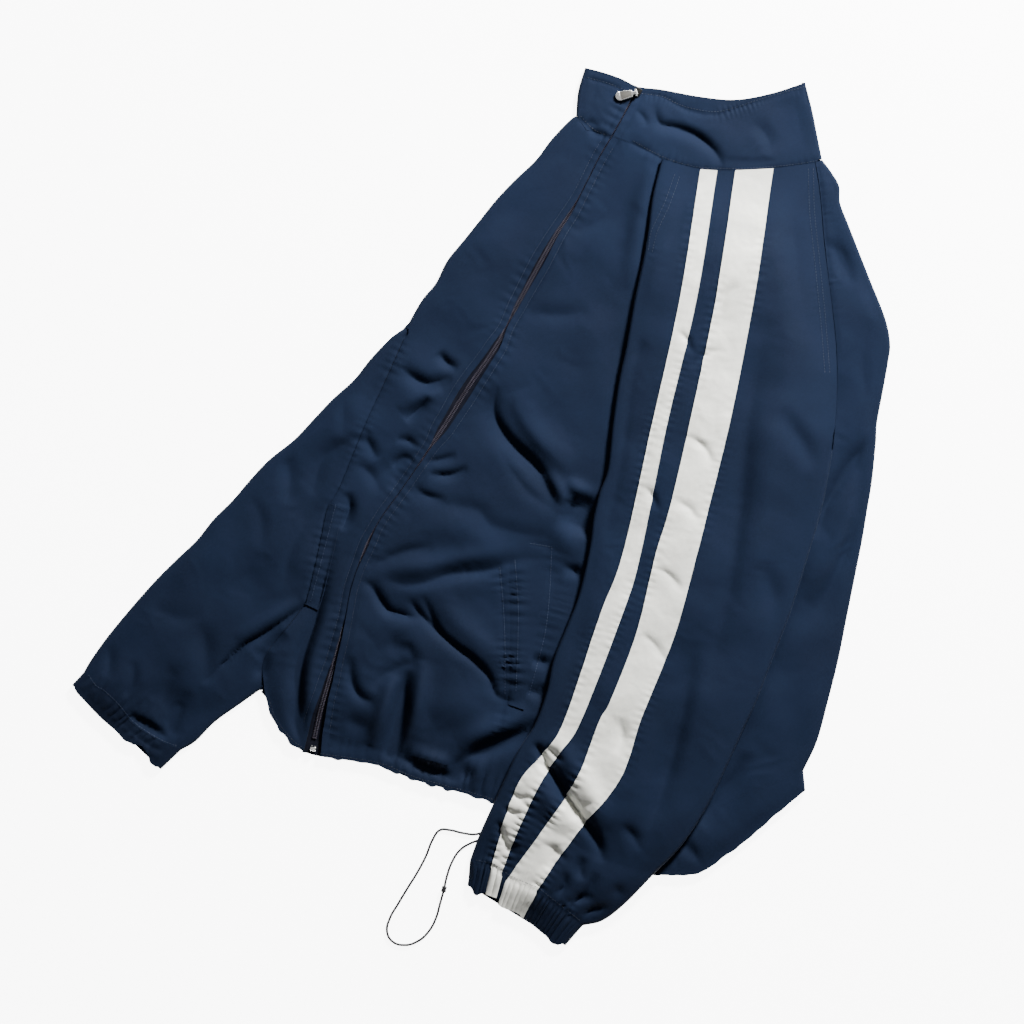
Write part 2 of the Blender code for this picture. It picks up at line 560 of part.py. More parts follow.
def make_back():
    """Back: flat on the table, rolled round the right-hand fold and up to the seams on top."""
    fold = np.vstack([smooth(BACK_FOLD, BACK_ROWS_HIGH + 1), smooth(BACK_FOLD_LOW, BACK_ROWS_LOW + 1)[1:]])
    raglan = np.vstack([
        smooth(BACK_RAGLAN, BACK_ROWS_HIGH + 1), smooth(UNDER_SLEEVE_LINE, BACK_ROWS_LOW + 1)[1:]])
    side_low = smooth(LEFT_SIDE_SEAM, BACK_ROWS_LOW + 1, SIDE_SEAM_FROM, 1)
    side = np.vstack([np.repeat(side_low[:1], BACK_ROWS_HIGH, axis=0), side_low])
    inward = directions(fold, raglan)
    top_start = roll_middle(fold, inward, FLAT_FOLD)
    side_edge = side + directions(side, raglan) * SEAM
    top = spans([side_edge, raglan - inward * SEAM, top_start], (BACK_SIDE_COLUMNS, BACK_TOP_COLUMNS))
    hem_line = smooth(HEM_SEAM, top.shape[1], BACK_HEM_FROM, 1)
    sag = (hem_line - top[-1]) * (0, 1)
    sag[[0, -1]] = 0
    near_hem = ease((np.arange(len(top)) - (len(top) - 1 - BACK_SAG_ROWS)) / BACK_SAG_ROWS)
    top += near_hem[:, None, None] * sag[None]
    top = at_height(top, body_top)
    roll = rolled_edge(fold, inward, np.full(len(fold), UNDER_MIDDLE), FLAT_FOLD)
    under = back_underside(roll[:, -1, :2])
    grid = np.concatenate([top[:, :-1], roll, under[:, 1:]], axis=1)
    cloth("back", grid, NAVY, present=lambda i, j: j >= BACK_SIDE_COLUMNS or i >= BACK_ROWS_HIGH)
    return top, under


def filled(near, far, first, last):
    """A plan grid between two sides (near, far) and two ends (first row, last row)."""
    v = np.linspace(0, 1, len(near))[:, None, None]
    u = np.linspace(0, 1, len(first))[None, :, None]
    sides = near[:, None] * (1 - u) + far[:, None] * u
    ends = first[None] * (1 - v) + last[None] * v
    corners = (near[0] * (1 - u) + far[0] * u) * (1 - v) + (near[-1] * (1 - u) + far[-1] * u) * v
    return sides + ends - corners


def back_underside(fold_edge):
    """The hidden half, from the right-hand fold to the right sleeve's seam and the right front."""
    far = smooth(RIGHT_BACK_SEAM, len(fold_edge))[::-1] + (2 * SEAM, 0)
    neck = np.vstack([
        fold_edge[:1], smooth(NECK_SLEEVE, 12)[::-1][1:], smooth(NECK_FRONT, 12, 0.3, 1)[::-1][1:]])
    first = smooth(neck, BACK_UNDER_COLUMNS + 1)
    last = smooth(HEM_SEAM, BACK_UNDER_COLUMNS + 1)[::-1].copy()
    first[-1] = far[0]
    last[0] = fold_edge[-1]
    last[-1] = far[-1]
    return at_height(filled(fold_edge, far, first, last), UNDER_MIDDLE)


# ------------------------------------------------------------------ sleeves


def make_right_sleeve():
    """Right sleeve: a flat tube from the cuff to the underarm, then open at its two raglan seams."""
    open_rows, under_rows = FRONT_ROWS - FOLD_ROWS, FOLD_ROWS
    rows = TUBE_ROWS + open_rows + under_rows
    over = np.vstack([
        smooth(RIGHT_OVER, TUBE_ROWS + 1, 0, OVER_SPLIT),
        smooth(RIGHT_OVER, open_rows + 1, OVER_SPLIT, 1)[1:],
        smooth(SHOULDER_FOLD, under_rows + 1)[::-1][1:]])
    under = np.vstack([smooth(RIGHT_UNDER, TUBE_ROWS + 1), smooth(RIGHT_RAGLAN, open_rows + 1)[::-1][1:]])
    under = np.vstack([under, np.repeat(under[-1:], under_rows, axis=0)])
    back_seam = smooth(RIGHT_BACK_SEAM, open_rows + under_rows + 1)
    inward = directions(over, np.vstack([under[:TUBE_ROWS + 1], back_seam[1:]]))
    inward[-under_rows - 1:] = square_to(over[-under_rows - 1:], back_seam[-under_rows - 1:])
    is_tube = (np.arange(rows + 1) <= TUBE_ROWS)[:, None]
    over_start = roll_middle(over, inward, FLAT_FOLD)
    seam_out = square_to(under[:-under_rows], over[:-under_rows])
    seam_out = np.vstack([seam_out, np.repeat(seam_out[-1:], under_rows, axis=0)])
    under_start = np.where(is_tube, roll_middle(under, -inward, FLAT_FOLD), under + seam_out * SEAM)
    flat = np.full(rows + 1, UNDER_MIDDLE)
    upper = at_height(spans([under_start, over_start], (RIGHT_SLEEVE_COLUMNS,)), body_top)
    roll = rolled_edge(over, inward, flat, FLAT_FOLD)
    low_end = np.vstack([under_start[:TUBE_ROWS + 1], back_seam[1:] - inward[TUBE_ROWS + 1:] * SEAM])
    low_start = roll[:, -1, :2].copy()
    lip = FLAT_FOLD + WALL / 2 + SHOULDER_LIP + 3 * SEAM
    low_start[-under_rows - 1:] = (over + inward * lip)[-under_rows - 1:]
    lower = at_height(spans([low_start, low_end], (RIGHT_SLEEVE_LOW_COLUMNS,)), UNDER_MIDDLE)
    back_roll = rolled_edge(under, -inward, flat, FLAT_FOLD)[:, ::-1]
    grid = np.concatenate([upper[:, :-1], roll[:, :-1], lower, back_roll[:, 1:-1]], axis=1)
    first_low = upper.shape[1] + roll.shape[1] - 2
    last_low = first_low + lower.shape[1] - 1

    def present(i, j):
        if i < TUBE_ROWS:
            return True
        if i < TUBE_ROWS + open_rows:
            return j < last_low
        return first_low <= j < last_low

    cloth("right_sleeve", grid, NAVY, closed_rows=TUBE_ROWS, present=present)
    return upper[0]


def left_sleeve_rows():
    """The left sleeve's plan, fold radius and height shares, row by row from the neck."""
    count = LEFT_SLEEVE_ROWS + 1
    right = np.vstack([
        smooth(BACK_RAGLAN, LEFT_TUBE_FROM + 1),
        smooth(LEFT_UNDER, LEFT_SLEEVE_ROWS - LEFT_TUBE_FROM + 1)[1:]])
    left = smooth(LEFT_FOLD, count)
    stripes = [smooth(line, count) for line in (NARROW_LEFT, NARROW_RIGHT, WIDE_LEFT, WIDE_RIGHT)]
    inward = directions(left, right)
    radius = NECK_PLEAT_FOLD + (SLEEVE_FOLD - NECK_PLEAT_FOLD) * ease(np.arange(count) / 5)
    return left, right, stripes, inward, radius


def sleeve_upper(plan, rows, edge_left, edge_right, radius):
    """Height of the left sleeve's upper wall at a grid of plan points."""
    shape = plan.shape[:2]
    flat = plan.reshape(-1, 2)
    row = np.repeat(rows, shape[1])
    folded = np.repeat(radius, shape[1])
    from_left = np.linalg.norm(plan - edge_left[:, None], axis=2).reshape(-1) - folded - WALL / 2
    from_right = np.linalg.norm(plan - edge_right[:, None], axis=2).reshape(-1)
    open_side = np.clip((LEFT_TUBE_FROM - row) / OPENING_ROWS, 0, 1)
    tube_right = from_right - SLEEVE_FOLD - WALL / 2 + open_side * FAR_AWAY
    past = np.maximum(np.minimum(from_left, tube_right), 0)
    stack = SLEEVE_LIFT + 2 * folded + SLEEVE_RISE * (1 - np.exp(-past / SLEEVE_REACH))
    stack = stack + fold_heights(SLEEVE_FOLDS, flat) * ease(past / CALM_EDGE)
    share = ease(row / SETTLING_ROWS) * (1 - open_side * (1 - ease(from_right / SEAM_SLOPE)))
    pleat = (SLEEVE_LIFT + 2 * folded) * np.exp(-(np.maximum(from_left, 0) / PLEAT_REACH) ** 2)
    height = sleeve_rest(flat) - SLEEVE_LIFT + share * stack + (1 - share) * pleat
    return np.dstack([plan, height.reshape(shape)])


def make_left_sleeve():
    """Left sleeve, its stripes between the same points, and what the cuff needs of its end."""
    left, right, stripes, inward, radius = left_sleeve_rows()
    count = len(left)
    rows = np.arange(count)
    is_tube = (rows >= LEFT_TUBE_FROM)[:, None]
    left_start = roll_middle(left, inward, radius)
    right_start = np.where(is_tube, roll_middle(right, -inward, SLEEVE_FOLD), right - inward * SEAM)
    plan = spans([left_start] + stripes + [right_start], SLEEVE_COLUMNS)
    upper = sleeve_upper(plan, rows, left, right, radius)
    left_rest = sleeve_rest(left_start)
    right_rest = sleeve_rest(roll_middle(right, -inward, SLEEVE_FOLD))
    left_roll = rolled_edge(left, inward, left_rest, radius)[:, ::-1]
    right_roll = rolled_edge(right, -inward, right_rest, SLEEVE_FOLD)
    upper[:, 0, 2] = left_roll[:, -1, 2]
    upper[LEFT_TUBE_FROM:, -1, 2] = right_roll[LEFT_TUBE_FROM:, 0, 2]
    lip_share = 0.05 + 0.55 * ease(rows / LEFT_TUBE_FROM)
    low_right = left_start + (right_start - left_start) * np.where(is_tube[:, 0], 1, lip_share)[:, None]
    lower = at_height(spans([left_start, low_right], (LEFT_SLEEVE_LOW_COLUMNS,)), sleeve_rest)[:, ::-1]
    grid = np.concatenate([upper, right_roll[:, 1:-1], lower, left_roll[:, 1:-1]], axis=1)
    last_upper = upper.shape[1] - 1
    first_lower = last_upper + ARC_STEPS

    def present(i, j):
        return i >= LEFT_TUBE_FROM or not last_upper <= j < first_lower

    cloth("left_sleeve", grid, NAVY, closed_rows=len(grid) - 1, present=present)
    moved = raised(upper, WALL / 2 + SEAM + STRIPE_WALL / 2)
    seams = np.cumsum((0,) + SLEEVE_COLUMNS)
    cloth("narrow_stripe", moved[:, seams[1]:seams[2] + 1], OFF_WHITE, wall=STRIPE_WALL)
    cloth("wide_stripe", moved[:, seams[3]:seams[4] + 1], OFF_WHITE, wall=STRIPE_WALL)
    return upper[0], upper[-1]


def flat_rest(points):
    """Middle of a lower wall that lies on the table."""
    return np.full(len(points), UNDER_MIDDLE)


def make_cuff(name, sleeve_end, near_end, far_end, waves, radius, top, rest, stripes=()):
    """A gathered band: its first ring continues the sleeve's end, its last is the cuff's mouth."""
    columns = waves * 4
    share = np.linspace(0, 1, columns + 1)
    start = spaced(sleeve_end, columns + 1)
    ends = np.array([near_end, far_end], float)
    inward = directions(ends[:1], ends[1:])
    near = roll_middle(ends[:1], inward, radius)[0]
    far = roll_middle(ends[1:], -inward, radius)[0]
    edge = near + (far - near) * share[:, None]
    away = directions(start[:, :2].mean(0)[None], edge.mean(0)[None])
    swell = CUFF_SWELL * np.sin(np.pi * share) ** 0.6
    ripple = CUFF_GATHER * np.sin(2 * np.pi * waves * share) * np.sin(np.pi * share) ** 0.4
    steps = np.array([0.0, 0.5, 1.0])
    radii = radius + (FLAT_FOLD - radius) * steps
    rings = []
    for step, ring_radius in zip(steps, radii):
        plan = start[:, :2] * (1 - step) + edge * step + away * 1.5 * SEAM * (1 - step)
        body = top(plan) if top else rest(plan) + 2 * ring_radius + swell * (1 - step)
        level = start[:, 2] if step == 0 else body + ripple * (1.15 - 0.35 * step)
        level[[0, -1]] = rest(plan[[0, -1]]) + 2 * ring_radius
        rings.append(np.column_stack([plan, level]))
    upper = np.stack(rings)
    first, last = upper[:, 0, :2], upper[:, -1, :2]
    toward = directions(first, last)
    out = toward * (radii[:, None] + WALL / 2)
    near_roll = rolled_edge(first - out, toward, rest(first), radii)[:, ::-1]
    far_roll = rolled_edge(last + out, -toward, rest(last), radii)
    lower = at_height(spans([last, first], (CUFF_LOW_COLUMNS,)), rest)
    grid = np.concatenate([upper, far_roll[:, 1:-1], lower, near_roll[:, 1:-1]], axis=1)
    cloth(name, grid, NAVY, closed_rows=len(grid) - 1)
    moved = raised(upper, WALL / 2 + SEAM + STRIPE_WALL / 2)
    for stripe_name, (begin, end) in stripes:
        part = moved[:, round(begin * columns):round(end * columns) + 1]
        cloth(stripe_name, part, OFF_WHITE, wall=STRIPE_WALL)


# ------------------------------------------------------------------ collar and hem


def refine(line, times):
    """A line of points with straight in-between points added."""
    share = (np.arange(times) / times)[None, :, None]
    runs = line[:-1, None] * (1 - share) + line[1:, None] * share
    return np.vstack([runs.reshape(-1, line.shape[1]), line[-1:]])


def spaced(line, count):
    """count points evenly spaced along the straight runs of a line."""
    travelled = np.concatenate([[0], np.cumsum(np.linalg.norm(np.diff(line[:, :2], axis=0), axis=1))])
    wanted = np.linspace(0, travelled[-1], count)
    return np.column_stack([np.interp(wanted, travelled, line[:, k]) for k in range(line.shape[1])])


def collar_run(neck, top, near, far):
    """Plan rows from the neck seam up to the collar's top edge, between two end columns."""
    rise = np.linspace(0, 1, COLLAR_ROWS)[:, None, None]
    plan = neck[None] * (1 - rise) + top[None] * rise
    plan[:, 0] = near
    plan[:, -1] = far
    plan[0] += SEAM * directions(plan[0], plan[1])
    return plan


def make_collar(neck_left, neck_right, neck_under):
    """Stand collar: one strip from the zip round both folds and back to the zip."""
    left_edge = smooth(COLLAR_LEFT, COLLAR_ROWS)
    right_edge = smooth(COLLAR_RIGHT, COLLAR_ROWS)
    for edge in (left_edge, right_edge):
        edge[0] += SEAM * directions(edge[:1], edge[1:2])[0]
    shares = np.linspace(ZIP_AT_NECK, 0, COLLAR_ROWS)
    zip_left, zip_right = zip_edge(shares, -1), zip_edge(shares, 1)
    flat = np.full(COLLAR_ROWS, UNDER_MIDDLE)
    left_roll = rolled_edge(left_edge, directions(left_edge, zip_left), flat, FLAT_FOLD)
    right_roll = rolled_edge(right_edge, directions(right_edge, zip_right), flat, FLAT_FOLD)[:, ::-1]
    left_top = smooth(COLLAR_TOP, COLLAR_LEFT_COLUMNS, 0, COLLAR_AT_ZIP)
    right_top = smooth(COLLAR_TOP, COLLAR_RIGHT_COLUMNS, COLLAR_AT_ZIP, 1)
    under_top = smooth(COLLAR_TOP, len(neck_under))
    left_run = collar_run(spaced(neck_left, len(left_top)), left_top, left_roll[:, 0, :2], zip_left)
    right_run = collar_run(spaced(neck_right, len(right_top)), right_top, zip_right, right_roll[:, -1, :2])
    under_run = collar_run(neck_under, under_top, left_roll[:, -1, :2], right_roll[:, 0, :2])
    grid = np.concatenate([
        at_height(left_run, body_top)[:, ::-1], left_roll[:, 1:-1], at_height(under_run, UNDER_MIDDLE),
        right_roll[:, 1:-1], at_height(right_run, body_top)[:, ::-1]], axis=1)
    cloth("collar", grid, NAVY)


def gathers(share, waves):
    """Uneven ripple heights along the gathered hem, none at its two ends."""
    wander = 0.35 * np.sin(14 * share + 0.6)
    size = (0.7 + 0.3 * np.sin(9 * share + 1)) * np.sin(np.pi * share) ** 0.3
    return HEM_GATHER * size * np.sin(2 * np.pi * (waves * share + wander))


def band_rings(inner, outer, waves, gap=SEAM):
    """Three rings of a hem band, from a panel's last row to the hem's edge; flat if it has no waves."""
    share = np.linspace(0, 1, len(inner))
    away = directions(inner[:, :2], outer)
    rings = []
    for step in (0.0, 0.5, 1.0):
        plan = inner[:, :2] * (1 - step) + outer * step + away * gap * (1 - step)
        if waves and step > 0:
            shown = ease(outside_distance(SLEEVE_OUTLINE, plan) / 12)
            level = body_top(plan) + gathers(share, waves) * shown
        elif waves:
            level = inner[:, 2]
        else:
            level = np.full(len(plan), UNDER_MIDDLE)
        rings.append(np.column_stack([plan, level]))
    return np.stack(rings)


def make_hem(right_front, left_front, back_top, back_under):
    """Hem band in three lengths, gathered by its elastic where it shows."""
    lengths = (
        ("right_hem", right_front[-1], 0.0, HEM_AT_ZIP_LEFT, HEM_WAVES["right"]),
        ("left_hem", left_front[-1], HEM_AT_ZIP_RIGHT, HEM_AT_SIDE_SEAM, HEM_WAVES["left"]))
    for name, row, start, end, waves in lengths:
        inner = spaced(row, 4 * waves + 1)
        outer = smooth(HEM_EDGE, len(inner), start, end)
        cloth(name, band_rings(inner, outer, waves), NAVY)
    inner = spaced(back_top[-1], BACK_HEM_COLUMNS)
    outer = smooth(HEM_EDGE, len(inner), HEM_AT_SIDE_SEAM, 1)
    corner = smooth(HEM_EDGE, 1, 1, 1)
    corner_in = directions(corner, smooth(HEM_EDGE, 1, 0.94, 0.94))
    outer_roll = rolled_edge(corner, corner_in, np.array([UNDER_MIDDLE]), FLAT_FOLD)[0]
    outer[-1] = outer_roll[0, :2]
    side = directions(smooth(HEM_EDGE, 1, HEM_AT_SIDE_SEAM, HEM_AT_SIDE_SEAM), outer[1:2])[0]
    outer[0] += side * SEAM
    top = band_rings(inner, outer, HEM_WAVES["back"], 2 * SEAM)
    low_inner = refine(back_under[-1], 2)
    low_outer = smooth(HEM_EDGE, len(low_inner))[::-1].copy()
    low_outer[0] = outer_roll[-1, :2]
    under = band_rings(low_inner, low_outer, 0, 2 * SEAM)
    ends = np.stack([top[:, -1], under[:, 0]], axis=1)
    inner_in = -directions(np.array([BACK_FOLD_LOW[-1]], float), top[0, -1:, :2])[0]
    angle = np.linspace(math.pi / 2, -math.pi / 2, ARC_STEPS + 1)
    rolls = []
    for ring, share in enumerate((0.0, 0.5, 1.0)):
        outward = inner_in * (1 - share) - corner_in[0] * share
        outward /= np.linalg.norm(outward)
        half = (ends[ring, 0, 2] - ends[ring, 1, 2]) / 2
        plan = ends[ring, 0, :2] + np.outer(np.cos(angle), outward) * FLAT_FOLD
        rolls.append(np.column_stack([plan, ends[ring, 1, 2] + half + half * np.sin(angle)]))
    grid = np.concatenate([top[:, :-1], np.stack(rolls), under[:, 1:]], axis=1)
    cloth("back_hem", grid, NAVY)


def make_welts(right_front, left_front):
    """Pocket welts, made from the fronts' own points moved out."""
    lift = WALL / 2 + SEAM + WELT_WALL / 2
    first, last = (round(share * FRONT_ROWS) for share in LEFT_POCKET)
    inner, outer = np.cumsum(LEFT_FRONT_COLUMNS)[:2]
    cloth("left_pocket_welt", raised(left_front, lift)[first:last + 1, inner:outer + 1], NAVY, wall=WELT_WALL)
    first, last = (round(share * FRONT_ROWS) for share in RIGHT_POCKET)
    cloth("right_pocket_welt", raised(right_front, lift)[first:last + 1, 0:2], NAVY, wall=WELT_WALL)


# ------------------------------------------------------------------ zip


def zip_strip(name, shares, halves, depth, wall):
    """A strip under the front edges, following the zip."""
    middle = at_shares(ZIP_LINE, shares)
    run = np.gradient(middle, axis=0)
    run /= np.linalg.norm(run, axis=1, keepdims=True)
    across = np.column_stack([-run[:, 1], run[:, 0]])
    plan = middle[:, None] + across[:, None] * np.array(halves)[None, :, None]
    grid = at_height(plan, body_top)
    grid[..., 2] -= depth
    cloth(name, grid, COIL, wall=wall)


def make_zip():
    """Zip tape and the coil chain on it."""
    shares = np.concatenate([np.linspace(TAPE_SHARES[0], ZIP_AT_NECK, 5)[:-1], front_shares()])
    below = np.linspace(ZIP_AT_HEM, TAPE_SHARES[1], 3)[1:]
    halves = np.linspace(-TAPE_HALF, TAPE_HALF, 4)
    zip_strip("zip_tape", np.append(shares, below), halves, TAPE_DEPTH, TAPE_WALL)
    zip_strip("zip_chain", np.append(shares, CHAIN_END), (-CHAIN_HALF, CHAIN_HALF), CHAIN_DEPTH, CHAIN_WALL)


def block(name, size, middle, turn, material, bevel=0.0):
    """A box of the given size in mm about a world point, turned about the vertical."""
    mesh = bpy.data.meshes.new(name)
    shape = bmesh.new()
    bmesh.ops.create_cube(shape, size=1.0)
    bmesh.ops.scale(shape, vec=Vector(size) / 1000, verts=shape.verts)
    if bevel:
        bmesh.ops.bevel(
            shape, geom=list(shape.edges), offset=bevel / 1000, segments=2, profile=0.5, affect="EDGES")
    placed = Matrix.Translation(middle) @ Matrix.Rotation(turn, 4, "Z")
    bmesh.ops.transform(shape, matrix=placed, verts=shape.verts)
    shape.to_mesh(mesh)
    shape.free()
    return place(name, mesh, material)


def rod(name, radius, length, middle, along, material):
    """A round bar of the given size in mm about a world point."""
    mesh = bpy.data.meshes.new(name)
    shape = bmesh.new()
    bmesh.ops.create_cone(
        shape, cap_ends=True, segments=ROD_SIDES, radius1=radius / 1000, radius2=radius / 1000,
        depth=length / 1000)
    aim = Vector((0, 0, 1)).rotation_difference(Vector(along)).to_matrix().to_4x4()
    bmesh.ops.transform(shape, matrix=Matrix.Translation(middle) @ aim, verts=shape.verts)
    shape.to_mesh(mesh)
    shape.free()
    return place(name, mesh, material)


def combine(part, tool, operation):
    """Join or cut one object with another, and take the tool out of the scene."""
    step = part.modifiers.new(operation.lower(), "BOOLEAN")
    step.operation = operation
    step.solver = "EXACT"
    step.object = tool
    with bpy.context.temp_override(object=part, active_object=part):
        bpy.ops.object.modifier_apply(modifier=step.name)
    bpy.data.objects.remove(tool)


def make_slider():
    """Slider with its two posts and pin, and the pull tab that hangs on the pin."""
    around = np.array(SLIDER_AT) + SLIDER_LENGTH / 2 * np.array([(0, 0), (-1, 0), (1, 0), (0, -1), (0, 1)])
    collar_top = body_top(around).max() + WALL / 2
    tab_way = Vector((TAB_WAY[0], -TAB_WAY[1], 0)).normalized()
    pin_way = Vector((tab_way.y, -tab_way.x, 0))
    zip_way = Vector((SLIDER_WAY[0], -SLIDER_WAY[1], 0)).normalized()
    base = collar_top + SEAM
    silver = finish("slider_metal", SILVER, 0.25, 1.0)
    at = Vector(to_world((*SLIDER_AT, base + SLIDER_THICK / 2)))
    turn = math.atan2(zip_way.y, zip_way.x)
    slider = block("zip_slider", (SLIDER_LENGTH, SLIDER_WIDTH, SLIDER_THICK), at, turn, silver, bevel=0.5)
    pin_height = base + SLIDER_THICK + BARREL_RADIUS + SEAM
    pin = Vector(to_world((*SLIDER_AT, pin_height))) + tab_way * PIN_OFFSET / 1000
    post_out = (BARREL_LENGTH / 2 + SEAM + POST_THICK / 2) / 1000
    post_tall = pin_height + PIN_RADIUS + POST_OVER_PIN - (base + SLIDER_THICK / 2)
    pin_turn = math.atan2(pin_way.y, pin_way.x)
    for side in (-1, 1):
        foot = pin + pin_way * post_out * side
        foot.z = (base + SLIDER_THICK / 2 + post_tall / 2) / 1000
        post = block("post", (POST_THICK, POST_WIDTH, post_tall), foot, pin_turn, silver)
        combine(slider, post, "UNION")
    bar = rod("bar", PIN_RADIUS, 2 * (post_out * 1000 + PIN_OVERHANG), pin, pin_way, silver)
    combine(slider, bar, "UNION")
    tip = np.array(SLIDER_AT) + np.array(TAB_WAY) * TAB_LENGTH
    tip_height = body_top(tip[None])[0] + WALL / 2 + SEAM + TAB_THICK / 2
    slope = math.asin((pin_height - tip_height) / TAB_LENGTH)
    bright = finish("tab_metal", SILVER, 0.2, 1.0)
    tab = tab_plate(bright)
    frame = Matrix((tab_way, -pin_way, Vector((0, 0, 1)))).transposed().to_4x4()
    tilt = Matrix.Rotation(slope, 4, "Y")
    tab.data.transform(Matrix.Translation(pin) @ frame @ tilt)
    barrel = rod("barrel", BARREL_RADIUS, BARREL_LENGTH, pin, pin_way, bright)
    combine(tab, barrel, "UNION")
    hole = rod("hole", PIN_RADIUS + SEAM, BARREL_LENGTH + 4, pin, pin_way, bright)
    combine(tab, hole, "DIFFERENCE")


def tab_plate(material):
    """The tab's plate along +X from the pin: a narrow neck, then a plate that widens to a round end."""
    reach, half = TAB_END
    end_from = TAB_SIDE[-1][0]
    turns = np.linspace(0, math.pi / 2, 5)[1:-1]
    side = list(TAB_SIDE) + [(end_from + reach * math.sin(a), half * math.cos(a)) for a in turns]
    outline = side + [(end_from + reach, 0.0)] + [(x, -y) for x, y in reversed(side)]
    mesh = bpy.data.meshes.new("pull_tab")
    shape = bmesh.new()
    low = [shape.verts.new((x / 1000, y / 1000, -TAB_THICK / 2000)) for x, y in outline]
    face = shape.faces.new(low)
    grown = bmesh.ops.extrude_face_region(shape, geom=[face])
    lifted = [item for item in grown["geom"] if isinstance(item, bmesh.types.BMVert)]
    bmesh.ops.translate(shape, vec=(0, 0, TAB_THICK / 1000), verts=lifted)
    bmesh.ops.recalc_face_normals(shape, faces=shape.faces)
    shape.to_mesh(mesh)
    shape.free()
    return place("pull_tab", mesh, material)


def make_zip_box():
    """Metal box that ends the zip at the hem."""
    level = body_top(np.array([ZIP_BOX_AT], float))[0]
    low = level - TAPE_DEPTH + TAPE_WALL / 2 + SEAM
    high = level + WALL / 2 + ZIP_BOX_PROUD
    at = Vector(to_world((*ZIP_BOX_AT, (low + high) / 2)))
    silver = finish("zip_box_metal", SILVER, 0.3, 1.0)
    block("zip_box", (*ZIP_BOX_SIZE, high - low), at, ZIP_BOX_TURN, silver, bevel=0.6)


# ------------------------------------------------------------------ hem cord


def make_cord():
    """Elastic loop out of the hem, and the bead on it."""
    route = to_world(smooth(CORD_ROUTE, CORD_POINTS))
    curve = bpy.data.curves.new("hem_cord", "CURVE")
    curve.dimensions = "3D"
    curve.bevel_depth = CORD_DIAMETER / 2000
    curve.bevel_resolution = 2
    curve.use_fill_caps = True
    spline = curve.splines.new("POLY")
    spline.points.add(CORD_POINTS - 1)
    for point, place_at in zip(spline.points, route):
        point.co = (*place_at, 1)
    cord = bpy.data.objects.new("hem_cord", curve)
    bpy.context.scene.collection.objects.link(cord)
    curve.materials.append(finish("cord_black", BLACK))
    near = int(np.linalg.norm(route[:, :2] - to_world((*BEAD_AT, 0))[:2], axis=1).argmin())
    along = Vector(route[near + 1] - route[near - 1]).normalized()
    middle = Vector(route[near])
    bead_finish = finish("bead_black", BLACK, 0.4)
    bead = rod("cord_bead", BEAD_RADIUS, BEAD_LENGTH, middle, along, bead_finish)
    hole = rod("bead_hole", CORD_DIAMETER / 2 + SEAM, BEAD_LENGTH + 2, middle, along, bead_finish)
    combine(bead, hole, "DIFFERENCE")


# ------------------------------------------------------------------ build


def clear_scene():
    """Start from an empty scene."""
    for leftover in list(bpy.data.objects):
        bpy.data.objects.remove(leftover)


def main():
    """Every piece, from the table upward."""
    clear_scene()
    right_front = make_right_front()
    left_front = make_left_front()
    back_top, back_under = make_back()
    right_end = make_right_sleeve()
    left_neck, left_end = make_left_sleeve()
    neck_right = np.vstack([left_front[0], left_neck[1:], back_top[0, BACK_SIDE_COLUMNS + 1:]])
    neck_under = refine(np.vstack([smooth(NECK_FRONT, 2, 0, 0.12), back_under[0, ::-1, :2]]), 3)
    make_collar(right_front[0, :, :2], neck_right[:, :2], neck_under)
    make_hem(right_front, left_front, back_top, back_under)
    make_welts(right_front, left_front)
    make_cuff(
        "right_cuff", right_end, RIGHT_CUFF_UNDER[1], RIGHT_CUFF_OVER[1], RIGHT_CUFF_WAVES, FLAT_FOLD,
        body_top, flat_rest)
    make_cuff(
        "left_cuff", left_end, LEFT_CUFF_FOLD[1], LEFT_CUFF_UNDER[1], LEFT_CUFF_WAVES, SLEEVE_FOLD, None,
        sleeve_rest, (("narrow_stripe_cuff", NARROW_STRIPE_ON_CUFF), ("wide_stripe_cuff", WIDE_STRIPE_ON_CUFF)))
    make_zip()
    make_slider()
    make_zip_box()
    make_cord()


main()
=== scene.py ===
"""Track jacket laid flat, zipped shut, with its left sleeve over the front.

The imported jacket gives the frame. Each cloth piece here is a thin shell on the form of its solid,
with the creases, gathers and seams that its solid leaves out. Plans are in millimetres across and
down on a table one metre square, and to_world() turns them into metres about the jacket's middle.
"""
import json
import math
from functools import partial

import bmesh
import bpy
import numpy as np
from bpy.props import FloatProperty, FloatVectorProperty, PointerProperty
from mathutils import Matrix, Vector
from mathutils.bvhtree import BVHTree


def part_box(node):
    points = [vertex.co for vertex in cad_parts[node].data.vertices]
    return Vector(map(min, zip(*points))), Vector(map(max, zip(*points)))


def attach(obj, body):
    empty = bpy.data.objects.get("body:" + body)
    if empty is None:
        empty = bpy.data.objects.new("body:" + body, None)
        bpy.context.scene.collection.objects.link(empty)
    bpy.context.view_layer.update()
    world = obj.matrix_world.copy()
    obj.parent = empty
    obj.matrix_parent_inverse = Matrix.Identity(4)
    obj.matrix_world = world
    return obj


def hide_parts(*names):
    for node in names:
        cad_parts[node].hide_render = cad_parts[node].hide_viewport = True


bl_info = {
    "name": "Track jacket laid flat",
    "version": (1, 0, 0),
    "blender": (4, 5, 0),
    "location": "3D View > Sidebar > Jacket",
    "description": "Makes the cloth, trim, zip and stage of a track jacket laid flat",
    "category": "Object",
}

